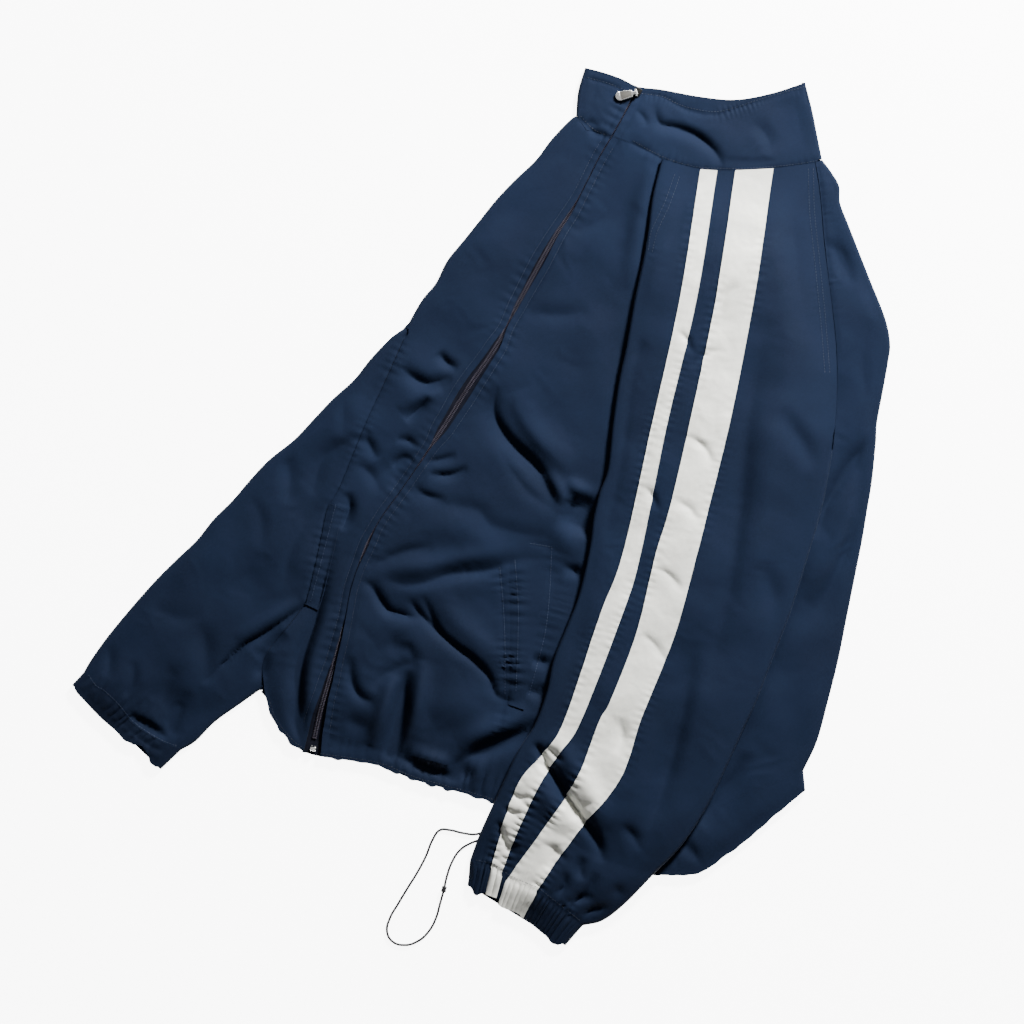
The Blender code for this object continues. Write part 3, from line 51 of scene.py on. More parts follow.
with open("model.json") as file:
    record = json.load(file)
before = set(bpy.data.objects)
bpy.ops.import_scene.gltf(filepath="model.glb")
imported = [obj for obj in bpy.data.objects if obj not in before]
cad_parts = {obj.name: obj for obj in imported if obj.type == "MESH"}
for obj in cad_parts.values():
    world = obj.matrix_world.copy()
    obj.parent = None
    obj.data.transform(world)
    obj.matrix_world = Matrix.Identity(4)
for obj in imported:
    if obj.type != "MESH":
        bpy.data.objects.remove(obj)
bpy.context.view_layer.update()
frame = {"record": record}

# ---- sizes shared with the solids, mm
PLAN_MIDDLE = (481.0, 506.5)
WALL = 1.5
SEAM = 0.35
FLAT_FOLD = 2.4
SLEEVE_FOLD = 3.0
NECK_PLEAT_FOLD = 1.8
BODY_RISE = 5.0
BODY_REACH = 45.0
SLEEVE_RISE = 5.0
SLEEVE_REACH = 30.0
SLEEVE_LIFT = 2.7
HEM_DROP = 75.0
LOWEST_UPPER = 3.1
CALM_EDGE = 14.0
STRIPE_WALL = 0.9
WELT_WALL = 1.2
TAPE_HALF = 10.0
TAPE_WALL = 0.7
TAPE_DEPTH = 3.35
CHAIN_DEPTH = 2.05
CORD_DIAMETER = 2.5
BEAD_RADIUS = 2.7
BEAD_LENGTH = 6.0
CUFF_SWELL = 2.0
SHOULDER_LIP = 7.0
SLIDER_AT = (637.3, 93.0)
SLIDER_WAY = (-0.5, 0.87)
TAB_WAY = (-0.98, 0.2)
UNDER_MIDDLE = WALL / 2
EDGE_TOP = UNDER_MIDDLE + 2 * FLAT_FOLD
BINDING_HALF = 5.3
BINDING_DEPTH = 1.55
BINDING_WALL = 0.8
BINDING_LOWEST = 2.2
SHEEN = (0.55, 0.65, 0.85)
# Puckers grow to their height over this distance from a rolled edge, as creases do over CALM_EDGE
SEWN_EDGE = 4.0
# Under the left sleeve the body has no ridges; they grow back over this distance beside it
RIDGE_FREE = 6.0
# The cloth stays up as far as this from the zip, and is free to sag this much further on
ZIP_STAYS = 8.0
ZIP_LETS_GO = 16.0
ZIP_STITCH_FROM = 6.5
STRIPE_STITCH_FROM = 1.7
# Air between the cloth and what is sewn onto it
STRIPE_GAP = 0.25
WELT_GAP = 0.1
RIGHT_WELT_WIDTH = 15.0
# The left sleeve's pleat at the neck, and how far in from the back raglan seam the sleeve lies low
NECK_PLEAT = 17.0
LOW_BESIDE_RAGLAN = 55.0

# ---- seams and edges: (across, down)
COLLAR_TOP = (
    (585, 68), (604, 73), (621, 79), (638, 87), (662, 90), (700, 97), (735, 100), (770, 94), (805, 83))
NECK_FRONT = ((576, 116), (588, 128), (600, 137), (612, 139), (629, 143), (645, 151), (662, 160))
NECK_SLEEVE = ((662, 160), (680, 166), (700, 170), (740, 171), (773, 169), (800, 166), (815, 163))
COLLAR_LEFT = ((576, 116), (578, 92), (585, 68))
COLLAR_RIGHT = ((822, 160), (817, 135), (812, 110), (805, 83))
SHOULDER_FOLD = (
    (576, 116), (569, 121), (551, 140), (536, 160), (515, 180), (496, 200), (480, 220), (464, 240),
    (447, 261), (436, 283), (422, 300), (406, 328))
RIGHT_RAGLAN = (
    (407.6, 331.6), (386, 380), (368, 419), (355, 450), (340, 487), (328, 509), (321, 540), (314, 572),
    (306, 601), (292, 622), (275, 642), (263, 662), (264, 687))
RIGHT_BACK_SEAM = ((264, 687), (300, 620), (380, 490), (440, 392), (500, 290), (548, 205), (592, 132.5))
RIGHT_OVER = (
    (84, 672), (91, 660), (105, 640), (121, 620), (138, 600), (156, 580), (176, 560), (197, 540),
    (213, 520), (233, 500), (250, 480), (269, 460), (294, 440), (313, 420), (332, 400), (354, 380),
    (370, 360), (388, 341), (398, 332.6), (405, 328))
RIGHT_UNDER = ((181, 750), (196, 741), (215, 722), (240, 704), (264, 687))
RIGHT_CUFF_OVER = ((84, 672), (72, 685))
RIGHT_CUFF_UNDER = ((181, 750), (160, 770))
LEFT_FOLD = (
    (661, 161), (652, 198), (647, 235), (641, 268), (634, 300), (626, 345), (618, 383), (612, 425),
    (607, 470), (599, 493), (593, 518), (589, 548), (579, 593), (567, 625), (553, 660), (546, 692),
    (534, 725), (518, 750), (503, 782), (491, 808), (479, 835), (470, 860))
NARROW_LEFT = (
    (700, 170), (679, 300), (651, 427), (622, 555), (600, 614), (564, 720), (544, 751), (520, 780),
    (504, 820), (492, 865))
NARROW_RIGHT = (
    (717, 171), (696, 300), (666, 427), (640, 555), (622, 614), (581, 720), (561, 751), (542, 780),
    (519, 828), (502, 872))
WIDE_LEFT = (
    (735, 171), (715, 300), (688, 427), (668, 512), (655, 555), (636, 632), (610, 700), (599, 720),
    (576, 778), (543, 828), (508, 877))
WIDE_RIGHT = (
    (773, 169), (753, 300), (728, 427), (707, 512), (696, 555), (675, 632), (648, 700), (640, 720),
    (620, 778), (580, 828), (537, 889))
STRIPE_EDGES = (NARROW_LEFT, NARROW_RIGHT, WIDE_LEFT, WIDE_RIGHT)
BACK_RAGLAN = ((815, 163), (820, 197), (824, 244), (831, 300), (836, 351), (836, 405), (832, 450))
LEFT_UNDER = (
    (832, 450), (822, 504), (806, 560), (789, 614), (772, 658), (756, 700), (743, 728), (728, 761),
    (707, 805), (682, 844), (653, 874), (625, 903), (603, 920), (583, 925))
LEFT_CUFF_FOLD = ((470, 860), (466, 887))
LEFT_CUFF_UNDER = ((583, 925), (566, 945))
POCKET_INNER = (
    (628, 143), (602, 230), (577, 330), (547, 430), (515, 515), (503, 562), (505, 630), (505, 697),
    (490, 776))
POCKET_OUTER = (
    (645, 151), (632, 230), (618, 330), (590, 440), (563, 510), (551, 547), (538, 625), (525, 700),
    (515, 783))
LEFT_SIDE_SEAM = (
    (662, 160), (676, 230), (690, 330), (672, 440), (650, 530), (612, 640), (575, 740), (545, 797))
BACK_FOLD = (
    (822, 160), (831, 172), (839, 186), (840, 203), (848, 224), (855, 242), (870, 280), (885, 318),
    (890, 343), (888, 362), (883, 390), (877, 422), (876, 440))
BACK_FOLD_LOW = (
    (876, 440), (872, 480), (867, 510), (862, 540), (854, 580), (846, 620), (838, 660), (828, 700),
    (817, 740), (803, 770))
UNDER_SLEEVE_LINE = ((832, 450), (815, 520), (775, 640), (730, 740), (705, 800), (688, 851))
HEM_EDGE = (
    (266, 698), (274, 721), (290, 741), (303, 751), (318, 756), (346, 760), (380, 766), (412, 779),
    (440, 787), (483, 799), (525, 815), (560, 838), (600, 860), (640, 873), (680, 875), (700, 872),
    (719, 860), (746, 840), (769, 820), (805, 790))
HEM_SEAM = (
    (265, 688), (283, 708), (300, 724), (318, 732), (346, 738), (380, 746), (412, 757), (440, 766),
    (487, 778), (545, 797), (575, 820), (612, 842), (645, 852), (678, 852), (692, 850), (708, 840),
    (733, 822), (757, 800), (798, 768))
ZIP_LINE = (
    (638, 87), (625, 113), (611, 138), (598, 160), (575, 205), (553, 240), (520, 300), (497, 345),
    (470, 385), (445, 425), (422, 460), (400, 492), (380, 520), (365, 550), (352, 585), (345, 620),
    (335, 660), (322, 705), (314, 740), (312, 754))

# The elastic loop, out of the hem and back: (across, down, height)
CORD_ROUTE = (
    (506.5, 809.6, 3.1), (501, 818, 2.6), (490, 828, 1.6), (477, 834, 1.3), (463, 833, 1.3),
    (450, 830, 1.3), (440, 830, 1.3), (433, 839, 1.3), (426, 856, 1.3), (417, 873, 1.3),
    (407, 889, 1.3), (398, 904, 1.3), (390, 918, 1.3), (387, 931, 1.3), (392, 941, 1.3),
    (404, 945, 1.3), (418, 941, 1.3), (429, 931, 1.3), (436, 918, 1.3), (440, 904, 1.8),
    (444, 889, 2.75), (447, 876, 2.0), (452, 862, 1.3), (460, 850, 1.3), (471, 843, 1.3),
    (485, 838, 1.4), (498, 830, 1.8), (507, 821, 2.6), (513.5, 812.6, 3.1))
BEAD_AT = (444, 889)

# Lines that the binding follows behind the seams
NECK_LEFT_OF_ZIP = ((576.6, 117), (588, 128), (600, 137), (608, 138.4))
NECK_RIGHT_OF_ZIP = (
    (616, 140), (629, 143), (645, 151), (662, 160), (680, 166), (700, 170), (740, 171), (773, 169),
    (800, 166), (820.6, 160.8))
ARMHOLE = ((412.5, 327), (405.5, 336)) + RIGHT_RAGLAN[1:-1] + ((263.5, 690),)
RAGLAN_ON_BACK = ((829, 330), (835, 360), (835, 400), (832, 440), (828, 468))
# Rows of topstitching
COLLAR_STITCHES = (
    ((588, 78), (606, 83), (624, 90)),
    ((642, 94), (662, 97), (685, 107), (712, 112), (731, 109), (762, 99), (803, 87.5)),
    ((581, 117), (594, 130), (608, 136.5)),
    ((634, 142), (648, 150), (664, 158), (682, 164), (702, 168), (740, 169), (773, 167), (800, 164),
     (816, 161)),
)
POCKET_STITCHES = (
    ((500, 568), (503, 600), (505, 640), (505, 693)),
    ((515, 560), (518, 600), (518, 640), (516, 690)),
    ((531, 543.5), (541, 545), (551.7, 547)),
    ((551.7, 549), (549, 601), (543.5, 640), (529, 694)),
    ((336, 505), (324, 552), (311, 601)),
)
SLEEVE_STITCHES = (
    ((674, 176), (664, 204), (651, 232), (648, 250)),
    ((679, 178), (669, 206), (657, 232), (652, 252)),
    ((808, 170), (809, 210), (814, 260), (820, 320), (824, 372)),
    ((813, 170), (814, 210), (819, 260), (825, 320), (829, 372)),
)

# Half the opening between the front edges that shows the coil: (share of the zip's length, mm)
ZIP_OPENING = (
    (0.00, 1.2), (0.06, 0.6), (0.16, 0.5), (0.20, 1.8), (0.27, 3.6), (0.33, 2.4), (0.362, 0.8),
    (0.40, 4.2), (0.47, 6.0), (0.52, 4.8), (0.56, 0.9), (0.60, 0.4), (0.68, 0.4), (0.71, 1.6),
    (0.745, 0.4), (0.80, 0.4), (0.86, 1.8), (0.91, 4.2), (0.96, 6.8), (1.00, 7.0))

# Places where one stretch ends and the next begins, as shares of a line's length
ZIP_AT_NECK = 0.075
ZIP_AT_HEM = 0.967
LEFT_POCKET = (0.665, 0.885)
RIGHT_POCKET = (0.65, 0.83)
HEM_AT_ZIP_LEFT = 0.1085
HEM_AT_ZIP_RIGHT = 0.137
HEM_AT_SIDE_SEAM = 0.497
COLLAR_AT_ZIP = 0.249

# ---- creases
# height, width on the walker's left, on the walker's right, crispness 0 to 1, then the route's points
BODY_FOLDS = (
    # the chest: its long slash, and the pit beside the sleeve
    (-8.5, 6, 13, 0.5, 498, 386, 494, 410, 502, 430, 516, 447, 533, 463, 545, 478, 554, 496, 564, 513),
    (5.0, 16, 9, 0.0, 513, 392, 524, 418, 540, 440, 558, 458, 574, 476),
    (-1.7, 5, 7, 0.4, 499, 452, 515, 476, 534, 497, 560, 514),
    (-12.0, 7, 8, 0.4, 568, 498, 577, 510, 585, 521, 591, 536),
    (-9.0, 9, 9, 0.3, 566, 510, 574, 521, 585, 532),
    (-12.0, 7, 7, 0.4, 582, 490, 587, 505, 591, 520, 592, 540),
    (4.5, 6, 6, 0.1, 546, 472, 556, 485, 562, 500, 562, 514),
    (6.0, 6, 7, 0.0, 568, 480, 579, 490, 588, 502),
    # under the chest: its sag and the two ribs
    (-3.0, 9, 14, 0.2, 413, 489, 426, 499, 449, 505, 478, 511, 490, 525, 510, 531, 533, 536, 562, 541),
    (2.2, 16, 14, 0.0, 410, 524, 455, 530, 505, 546),
    (-3.6, 6, 9, 0.3, 366, 563, 380, 562, 403, 552, 434, 546),
    (-4.6, 10, 5, 0.4, 383, 577, 403, 585, 426, 583, 449, 575, 487, 571, 510, 562, 541, 558),
    (3.0, 9, 9, 0.0, 372, 570, 400, 569, 430, 565, 470, 557, 520, 552),
    (2.2, 9, 12, 0.0, 394, 596, 430, 593, 470, 584, 498, 580),
    # the belly, from the zip to the left pocket
    (-6.2, 6, 5, 0.5, 361, 580, 372, 587, 380, 600, 389, 611, 403, 615, 423, 619),
    (-4.0, 4, 5, 0.5, 409, 599, 420, 613, 432, 626, 444, 638),
    (-5.6, 4, 6, 0.6, 422, 594, 431, 613, 440, 632, 455, 646, 474, 660, 490, 678, 497, 696, 520, 702),
    (3.6, 12, 12, 0.0, 437, 594, 455, 620, 481, 645, 502, 664),
    (4.0, 18, 16, 0.0, 372, 640, 394, 626, 414, 640, 424, 668),
    (-4.4, 8, 8, 0.35, 408, 641, 412, 660, 396, 669, 380, 680, 374, 692),
    (-2.0, 13, 10, 0.0, 390, 638, 402, 650, 410, 656),
    (-5.0, 6, 6, 0.4, 350, 656, 352, 681, 361, 697, 376, 703),
    # above the hem band
    (-13.0, 6, 8, 0.3, 409, 670, 405, 688, 401, 714, 396, 738, 390, 758, 388, 770),
    (7.5, 9, 7, 0.0, 424, 660, 420, 688, 416, 712, 411, 734, 405, 752),
    (5.2, 7, 7, 0.0, 394, 674, 388, 694, 383, 712, 377, 730, 370, 746),
    (3.4, 20, 20, 0.0, 430, 716, 458, 704, 490, 710),
    (-2.6, 9, 9, 0.2, 346, 716, 358, 724, 372, 728),
    (-7.5, 6, 9, 0.35, 396, 755, 412, 764, 430, 771, 448, 779, 464, 786),
    (4.6, 7, 7, 0.0, 412, 752, 430, 758, 450, 764),
    (1.8, 8, 8, 0.0, 448, 767, 462, 757, 474, 762, 478, 782),
    (-4.4, 9, 9, 0.2, 450, 784, 460, 772, 470, 782),
    (-11.0, 9, 7, 0.35, 541, 719, 520, 734, 496, 744, 472, 754, 450, 768),
    (5.5, 9, 10, 0.0, 528, 708, 506, 723, 482, 733, 458, 746),
    # round the left pocket
    (-6.0, 5, 6, 0.3, 532, 665, 541, 661, 550, 664),
    (4.5, 9, 9, 0.0, 655, 152, 648, 180, 640, 215, 634, 250, 628, 290),
    (-5.0, 4, 6, 0.4, 526, 690, 536, 692, 547, 684),
    (-7.0, 6, 6, 0.3, 568, 565, 575, 571, 583, 577),
    (2.0, 8, 8, 0.0, 556, 528, 570, 548, 574, 556),
    # beside the zip: dents, and the crimps where it bends
    (-2.6, 9, 9, 0.2, 524, 312, 556, 315, 592, 312),
    (-1.8, 10, 8, 0.2, 566, 232, 590, 226, 612, 214),
    (-3.4, 4, 5, 0.5, 424, 463, 440, 460, 457, 455),
    (0.8, 5, 5, 0.0, 430, 469, 448, 467, 463, 460),
    (-4.4, 4, 6, 0.5, 428, 474, 450, 475, 468, 467),
    (-3.0, 4, 7, 0.4, 412, 484, 424, 494, 446, 500),
    (-3.2, 4, 5, 0.4, 418, 449, 408, 441, 396, 440),
    (-3.6, 4, 6, 0.4, 414, 458, 404, 459, 392, 466),
    (-3.0, 5, 5, 0.4, 408, 470, 399, 478, 392, 490),
    # at the right armhole and down the right front's side
    (-6.6, 7, 9, 0.4, 400, 366, 414, 378, 430, 384, 452, 376),
    (-5.6, 5, 6, 0.4, 438, 352, 446, 362, 458, 370),
    (-6.2, 6, 8, 0.4, 429, 396, 420, 408, 405, 421),
    (3.2, 8, 8, 0.0, 400, 412, 420, 399, 442, 390),
    (-4.4, 7, 8, 0.4, 364, 432, 370, 446, 378, 460),
    (-2.8, 9, 9, 0.2, 374, 482, 394, 466, 416, 462),
    (-2.6, 6, 7, 0.3, 356, 462, 370, 474, 382, 494),
    (-6.0, 6, 6, 0.3, 346, 492, 350, 508, 342, 530),
    (-8.8, 7, 9, 0.4, 336, 540, 326, 575, 315, 622, 304, 650, 299, 672, 298, 700, 297, 736, 299, 772),
    (4.0, 9, 8, 0.0, 330, 604, 318, 640, 310, 680, 309, 716),
    # the right sleeve, from the underarm to the cuff
    (-6.5, 7, 3, 0.8, 314, 598, 299, 609, 281, 622, 261, 635, 240, 648, 203, 684),
    (3.0, 6, 6, 0.0, 300, 600, 280, 612, 258, 626, 236, 640),
    (-4.4, 8, 9, 0.2, 286, 632, 270, 645, 256, 658),
    (-5.0, 7, 8, 0.3, 268, 650, 262, 668, 260, 684),
    (-1.9, 9, 9, 0.2, 340, 392, 344, 414, 342, 436),
    (-2.5, 8, 9, 0.2, 280, 450, 290, 474, 288, 506),
    (-1.6, 7, 9, 0.2, 250, 494, 262, 520, 262, 552),
    (-2.8, 8, 9, 0.3, 364, 438, 340, 446, 322, 462, 312, 496),
    (-2.0, 7, 8, 0.2, 330, 500, 306, 524, 290, 556, 284, 590),
    (-2.8, 10, 11, 0.1, 200, 622, 206, 646, 206, 684),
    (-2.0, 9, 10, 0.2, 178, 664, 166, 690, 162, 714),
    (-1.8, 10, 8, 0.1, 150, 604, 176, 618, 204, 616),
    (-2.4, 8, 9, 0.2, 190, 690, 176, 714, 166, 738),
    (-4.2, 5, 5, 0.3, 108, 706, 122, 722, 138, 737, 154, 748, 172, 752),
    (-6.0, 4, 6, 0.4, 128, 714, 143, 722, 156, 730, 169, 739),
    (-3.2, 5, 6, 0.3, 182, 702, 175, 716, 171, 736),
    (-2.6, 7, 8, 0.3, 106, 640, 110, 658, 108, 678),
    (-2.4, 6, 7, 0.3, 134, 660, 134, 678, 126, 698),
    # the back, where it shows on the right
    (-6.4, 7, 9, 0.4, 872, 436, 848, 468, 828, 502, 816, 540),
    (2.8, 8, 8, 0.0, 858, 470, 845, 520, 828, 560, 806, 600),
    (-2.6, 8, 9, 0.2, 858, 520, 838, 570, 812, 620),
    (-4.6, 7, 7, 0.5, 822, 504, 806, 560, 789, 614, 772, 658, 756, 700, 743, 728, 728, 761, 707, 805, 682,
        844, 653, 874),
    (-2.4, 9, 9, 0.2, 830, 238, 842, 262, 852, 288),
    (-2.0, 8, 10, 0.2, 872, 320, 862, 356, 866, 400),
    (-5.4, 8, 8, 0.3, 748, 752, 734, 778, 716, 802, 700, 826),
    (-3.4, 7, 7, 0.3, 676, 836, 690, 850, 702, 864),
    # the collar
    (-6.4, 5, 7, 0.45, 655, 104, 656, 116, 661, 125, 676, 128, 696, 136, 713, 150, 725, 169),
    (0.5, 7, 7, 0.0, 657, 124, 656, 114, 666, 108, 684, 110),
    (0.7, 14, 12, 0.0, 684, 120, 708, 130, 728, 146, 738, 162),
    (-2.2, 8, 8, 0.2, 752, 122, 766, 136, 772, 153),
    (-2.2, 5, 5, 0.4, 581, 122, 590, 123, 600, 127),
    (-1.8, 4, 5, 0.3, 588, 130, 596, 134, 606, 136),
    (-2.0, 4, 4, 0.3, 636, 110, 644, 119, 646, 128),
)
SLEEVE_FOLDS = (
    # the wrist: its deep fold and the nicks in the stripes
    (-12.5, 4.6, 6.5, 0.4, 528, 738, 541, 751, 551, 768, 562, 786, 574, 805, 587, 822, 598, 842, 602, 862),
    (3.4, 8, 12, 0.0, 522, 768, 541, 788, 556, 808, 572, 830),
    (5.0, 11, 11, 0.0, 548, 732, 567, 757, 591, 794, 606, 828),
    (-4.4, 4, 5, 0.4, 536, 762, 546, 766, 556, 774),
    (-5.0, 4, 5, 0.4, 545, 746, 554, 752, 562, 762),
    (-5.0, 4, 5, 0.4, 497, 818, 503, 834, 509, 846, 520, 848),
    (-4.4, 3.5, 5, 0.4, 504, 806, 512, 812, 522, 812),
    (-4.0, 3.5, 5, 0.4, 512, 790, 519, 797, 530, 796),
    (-3.2, 6, 7, 0.2, 560, 842, 552, 858, 548, 872),
    (-3.2, 6, 7, 0.2, 618, 716, 622, 736, 616, 754),
    # the forearm and the drags above the cuff
    (-7.4, 9, 12, 0.2, 694, 640, 688, 680, 679, 726, 667, 772, 656, 806, 640, 842),
    (2.4, 14, 14, 0.0, 650, 700, 640, 750, 626, 800),
    (-3.4, 6, 7, 0.3, 622, 824, 632, 834, 640, 850),
    (-4.2, 3.5, 4.5, 0.4, 568, 905, 580, 898, 594, 895),
    (-4.0, 3.5, 4.5, 0.4, 582, 916, 596, 909, 611, 907),
    (-4.0, 3.5, 5, 0.4, 554, 894, 563, 886, 566, 871),
    (-3.8, 3.5, 5, 0.4, 574, 900, 588, 889, 596, 872),
    (-4.2, 5, 6, 0.3, 584, 856, 580, 868, 582, 880),
    (-3.6, 7, 7, 0.3, 614, 884, 622, 896, 632, 910),
    # along the sleeve
    (-4.2, 8, 13, 0.2, 766, 320, 748, 420, 738, 520, 722, 620, 706, 690),
    (2.4, 12, 12, 0.0, 790, 330, 772, 430, 758, 530, 738, 630),
    (-3.4, 8, 10, 0.2, 790, 190, 796, 250, 802, 330),
    (-3.6, 9, 11, 0.2, 778, 410, 800, 440, 812, 470),
    (-2.2, 9, 10, 0.2, 760, 560, 772, 590, 776, 630),
    (-1.9, 8, 9, 0.2, 618, 362, 632, 356, 648, 344),
    (2.0, 26, 26, 0.0, 700, 520, 684, 600, 664, 680),
    (-1.8, 6, 8, 0.2, 690, 176, 682, 210, 668, 250),
    # small wrinkles across the stripes, then the fold's own line
    (-2.2, 4, 6, 0.3, 738, 284, 724, 298, 716, 318),
    (-2.3, 4, 6, 0.3, 722, 350, 704, 356, 690, 370),
    (-2.8, 4, 6, 0.3, 684, 434, 702, 446, 714, 466),
    (-2.3, 4, 6, 0.3, 672, 500, 688, 508, 700, 524),
    (-2.5, 4, 6, 0.3, 654, 566, 670, 576, 682, 592),
    (-2.2, 4, 6, 0.3, 640, 632, 654, 644, 666, 662),
    (-2.5, 4, 6, 0.3, 596, 800, 584, 806, 570, 818),
    (-2.5, 4, 6, 0.3, 540, 842, 554, 848, 566, 862),
    (-2.6, 3.5, 5, 0.3, 676, 330, 686, 340, 692, 356),
    (-2.6, 3.5, 5, 0.3, 644, 486, 652, 496, 658, 512),
    (-1.5, 6, 8, 0.2, 640, 320, 628, 400, 618, 470, 604, 540),
)
# Stitched seams on the body: dip, its half width, pucker height, pucker spacing, pucker reach, route
BODY_SEAMS = (
    (-0.8, 2.4, 0.5, 4.8, 6.0, 588, 79, 606, 84, 624, 91),
    (-0.9, 2.4, 0.62, 4.6, 6.5, 642, 94, 662, 97, 685, 110, 712, 116, 731, 111, 762, 100, 801, 88),
    (-1.0, 3.0, 0.45, 8.0, 9.0, 576, 116, 588, 128, 600, 137, 612, 139),
    (-1.0, 3.0, 0.6, 7.0, 9.0, 629, 143, 645, 151, 662, 160, 680, 166, 700, 170),
    (-1.0, 3.0, 0.25, 9.0, 8.0, 700, 170, 740, 171, 773, 169, 800, 166, 820, 160),
    (-0.9, 2.6, 0.4, 8.0, 9.0, 407, 332, 386, 380, 368, 419, 355, 450, 340, 487),
    (-0.9, 2.6, 0.45, 8.0, 9.0, 340, 487, 328, 509, 321, 540, 314, 572, 306, 601),
    (-0.6, 2.4, 0.75, 6.5, 9.0, 499, 566, 502, 600, 504, 640, 504.5, 693, 498, 740),
    (-0.6, 2.4, 1.1, 8.5, 10.0, 513, 558, 515, 590, 515, 640, 513, 690),
    (-2.0, 1.7, 0.4, 8.5, 9.0, 553.6, 548, 551.8, 590, 545.6, 640, 532.4, 693),
    (-0.5, 2.4, 0.6, 8.0, 10.0, 562, 570, 560, 600, 556, 618),
    (-0.7, 2.4, 0.25, 7.0, 8.0, 531, 543.5, 541, 545, 551.7, 547),
    (-0.7, 2.6, 0.6, 7.0, 10.0, 818, 168, 824, 230, 830, 290, 836, 340),
    (-0.6, 2.6, 0.35, 8.0, 9.0, 331, 505, 320, 552, 307.5, 601),
    (-0.6, 2.4, 0.4, 7.0, 8.0, 343, 498, 330, 553, 318, 606),
    (-0.6, 2.2, 0.3, 6.0, 7.0, 312, 587, 319, 586, 326, 587),
)
SLEEVE_SEAMS = (
    (-0.6, 2.2, 0.55, 6.0, 8.0, 674, 176, 664, 204, 651, 232, 647, 262),
    (-0.7, 2.6, 0.5, 6.5, 9.0, 808, 168, 809, 210, 814, 260, 820, 320),
)
# The cloth's slack between its creases: height, distance between waves, seed
BODY_SLACK = ((0.85, 95, 3), (0.16, 38, 4), (0.02, 13, 6))
SLEEVE_SLACK = ((0.8, 90, 13), (0.14, 36, 14), (0.02, 12, 16))
DRIFT_WAVES = 16
# Its smallest wrinkles: height, seed
BODY_CRUMPLE = (0.2, 20)
SLEEVE_CRUMPLE = (0.14, 40)
# Gathered lines: waves along the whole line, height, reach towards the panel
HEM_WAVES = (60, 0.7, 15.0)
# How hard the elastic pulls at shares of the hem's length
HEM_PULL = (
    (0.0, 0.25), (0.12, 0.35), (0.2, 0.5), (0.27, 1.0), (0.3, 1.4), (0.35, 1.2), (0.39, 1.7), (0.43, 1.4),
    (0.5, 1.0), (0.6, 0.6), (0.68, 0.35), (0.72, 0.5), (0.78, 0.15), (1.0, 0.08))
RIGHT_CUFF_SEAM = (
    (84, 672), (94, 687), (103, 691), (119, 706), (131, 721), (146, 733), (164, 744), (181, 750))
LEFT_CUFF_SEAM = ((470, 860), (492, 867), (508, 878), (537, 890), (562, 905), (583, 925))
RIGHT_CUFF_WAVES = (15, 1.0, 14.0)
LEFT_CUFF_WAVES = (24, 1.5, 14.0)
# How far a cuff's first ring laps over the sleeve's end, mm
CUFF_JOIN = 0.1
# How rough the hem's edge is: at these places across, by this much, mm
HEM_ROUGHNESS = ((590, 680), (0.9, 0.3))
# How far the cuffs' mouths stand out from a straight line: (share from the first end, mm)
RIGHT_CUFF_MOUTH = (
    (0.0, -1.6), (0.025, 0.2), (0.07, 1.0), (0.15, -2.9), (0.234, -4.7), (0.3, 0.0), (0.38, 3.0), (0.6, 2.6),
    (0.76, 3.3), (0.94, 1.4), (0.98, 0.6), (1.0, -0.6))
LEFT_CUFF_MOUTH = (
    (0.0, -3.0), (0.078, 1.7), (0.145, -4.6), (0.27, -7.0), (0.33, -2.6), (0.525, -4.6), (0.6, -2.5),
    (0.817, 1.9), (0.91, 4.6), (0.96, 3.6), (1.0, 0.4))

# How finely the panels are made: steps for each of the solids' rows, and columns between seams
FRONT_ROWS = 34
FOLD_ROWS = 11
RIGHT_FRONT_COLUMNS = (7, 42)
LEFT_FRONT_COLUMNS = (66, 10, 12)
BACK_ROWS_HIGH = 13
BACK_ROWS_LOW = 18
BACK_SIDE_COLUMNS = 5
SIDE_SEAM_FROM = 0.43
BACK_HEM_FROM = 0.508
BACK_SAG_ROWS = 8
TUBE_ROWS = 7
OVER_SPLIT = 0.215
LEFT_SLEEVE_ROWS = 36
LEFT_TUBE_FROM = 13
ROW_STEPS = 8
SLEEVE_ROW_STEPS = 11
RIGHT_SLEEVE_ROW_STEPS = 7
ARC_STEPS = 8
# Rows over which a sleeve's end takes the cuff's line, and over which its open side closes
CUFF_EASE_ROWS = 4.5
OPEN_EASE_ROWS = 6
SLEEVE_COLUMNS = (14, 8, 8, 16, 24)
RIGHT_SLEEVE_COLUMNS = 57
RIGHT_SLEEVE_UNDER = 11
LEFT_SLEEVE_UNDER = 9
CUFF_RINGS = 17
LEAST_CUFF_COLUMNS = 144
CUFF_UNDER = 19
COLLAR_STEPS = 40
COLLAR_COLUMNS = (36, 120)
NECK_UNDER_COLUMNS = 67
HEM_RINGS = 11
BACK_HEM_COLUMNS = (161, 97)
HEM_COLUMNS = (34, 150)

# ---- lines and distances
CHUNK = 3000
FAR_AWAY = 1e3


def smooth(line, count, start=0.0, end=1.0):
    """count points evenly spaced along a smooth curve through the line's own points."""
    given = np.array(line, float)
    given = np.vstack([2 * given[0] - given[1], given, 2 * given[-1] - given[-2]])
    step = np.linspace(0, 1, 10, endpoint=False)[:, None]
    runs = []
    for a, b, c, d in zip(given, given[1:], given[2:], given[3:]):
        bend = (2 * a - 5 * b + 4 * c - d) * step ** 2 + (3 * b - 3 * c + d - a) * step ** 3
        runs.append(b + 0.5 * ((c - a) * step + bend))
    fine = np.vstack(runs + [given[-2:-1]])
    travelled = lengths_along(fine)
    return at_lengths(fine, travelled, np.linspace(start, end, count) * travelled[-1])


def lengths_along(line):
    """Distance travelled at each point of a line."""
    return np.concatenate([[0], np.cumsum(np.linalg.norm(np.diff(line, axis=0), axis=1))])


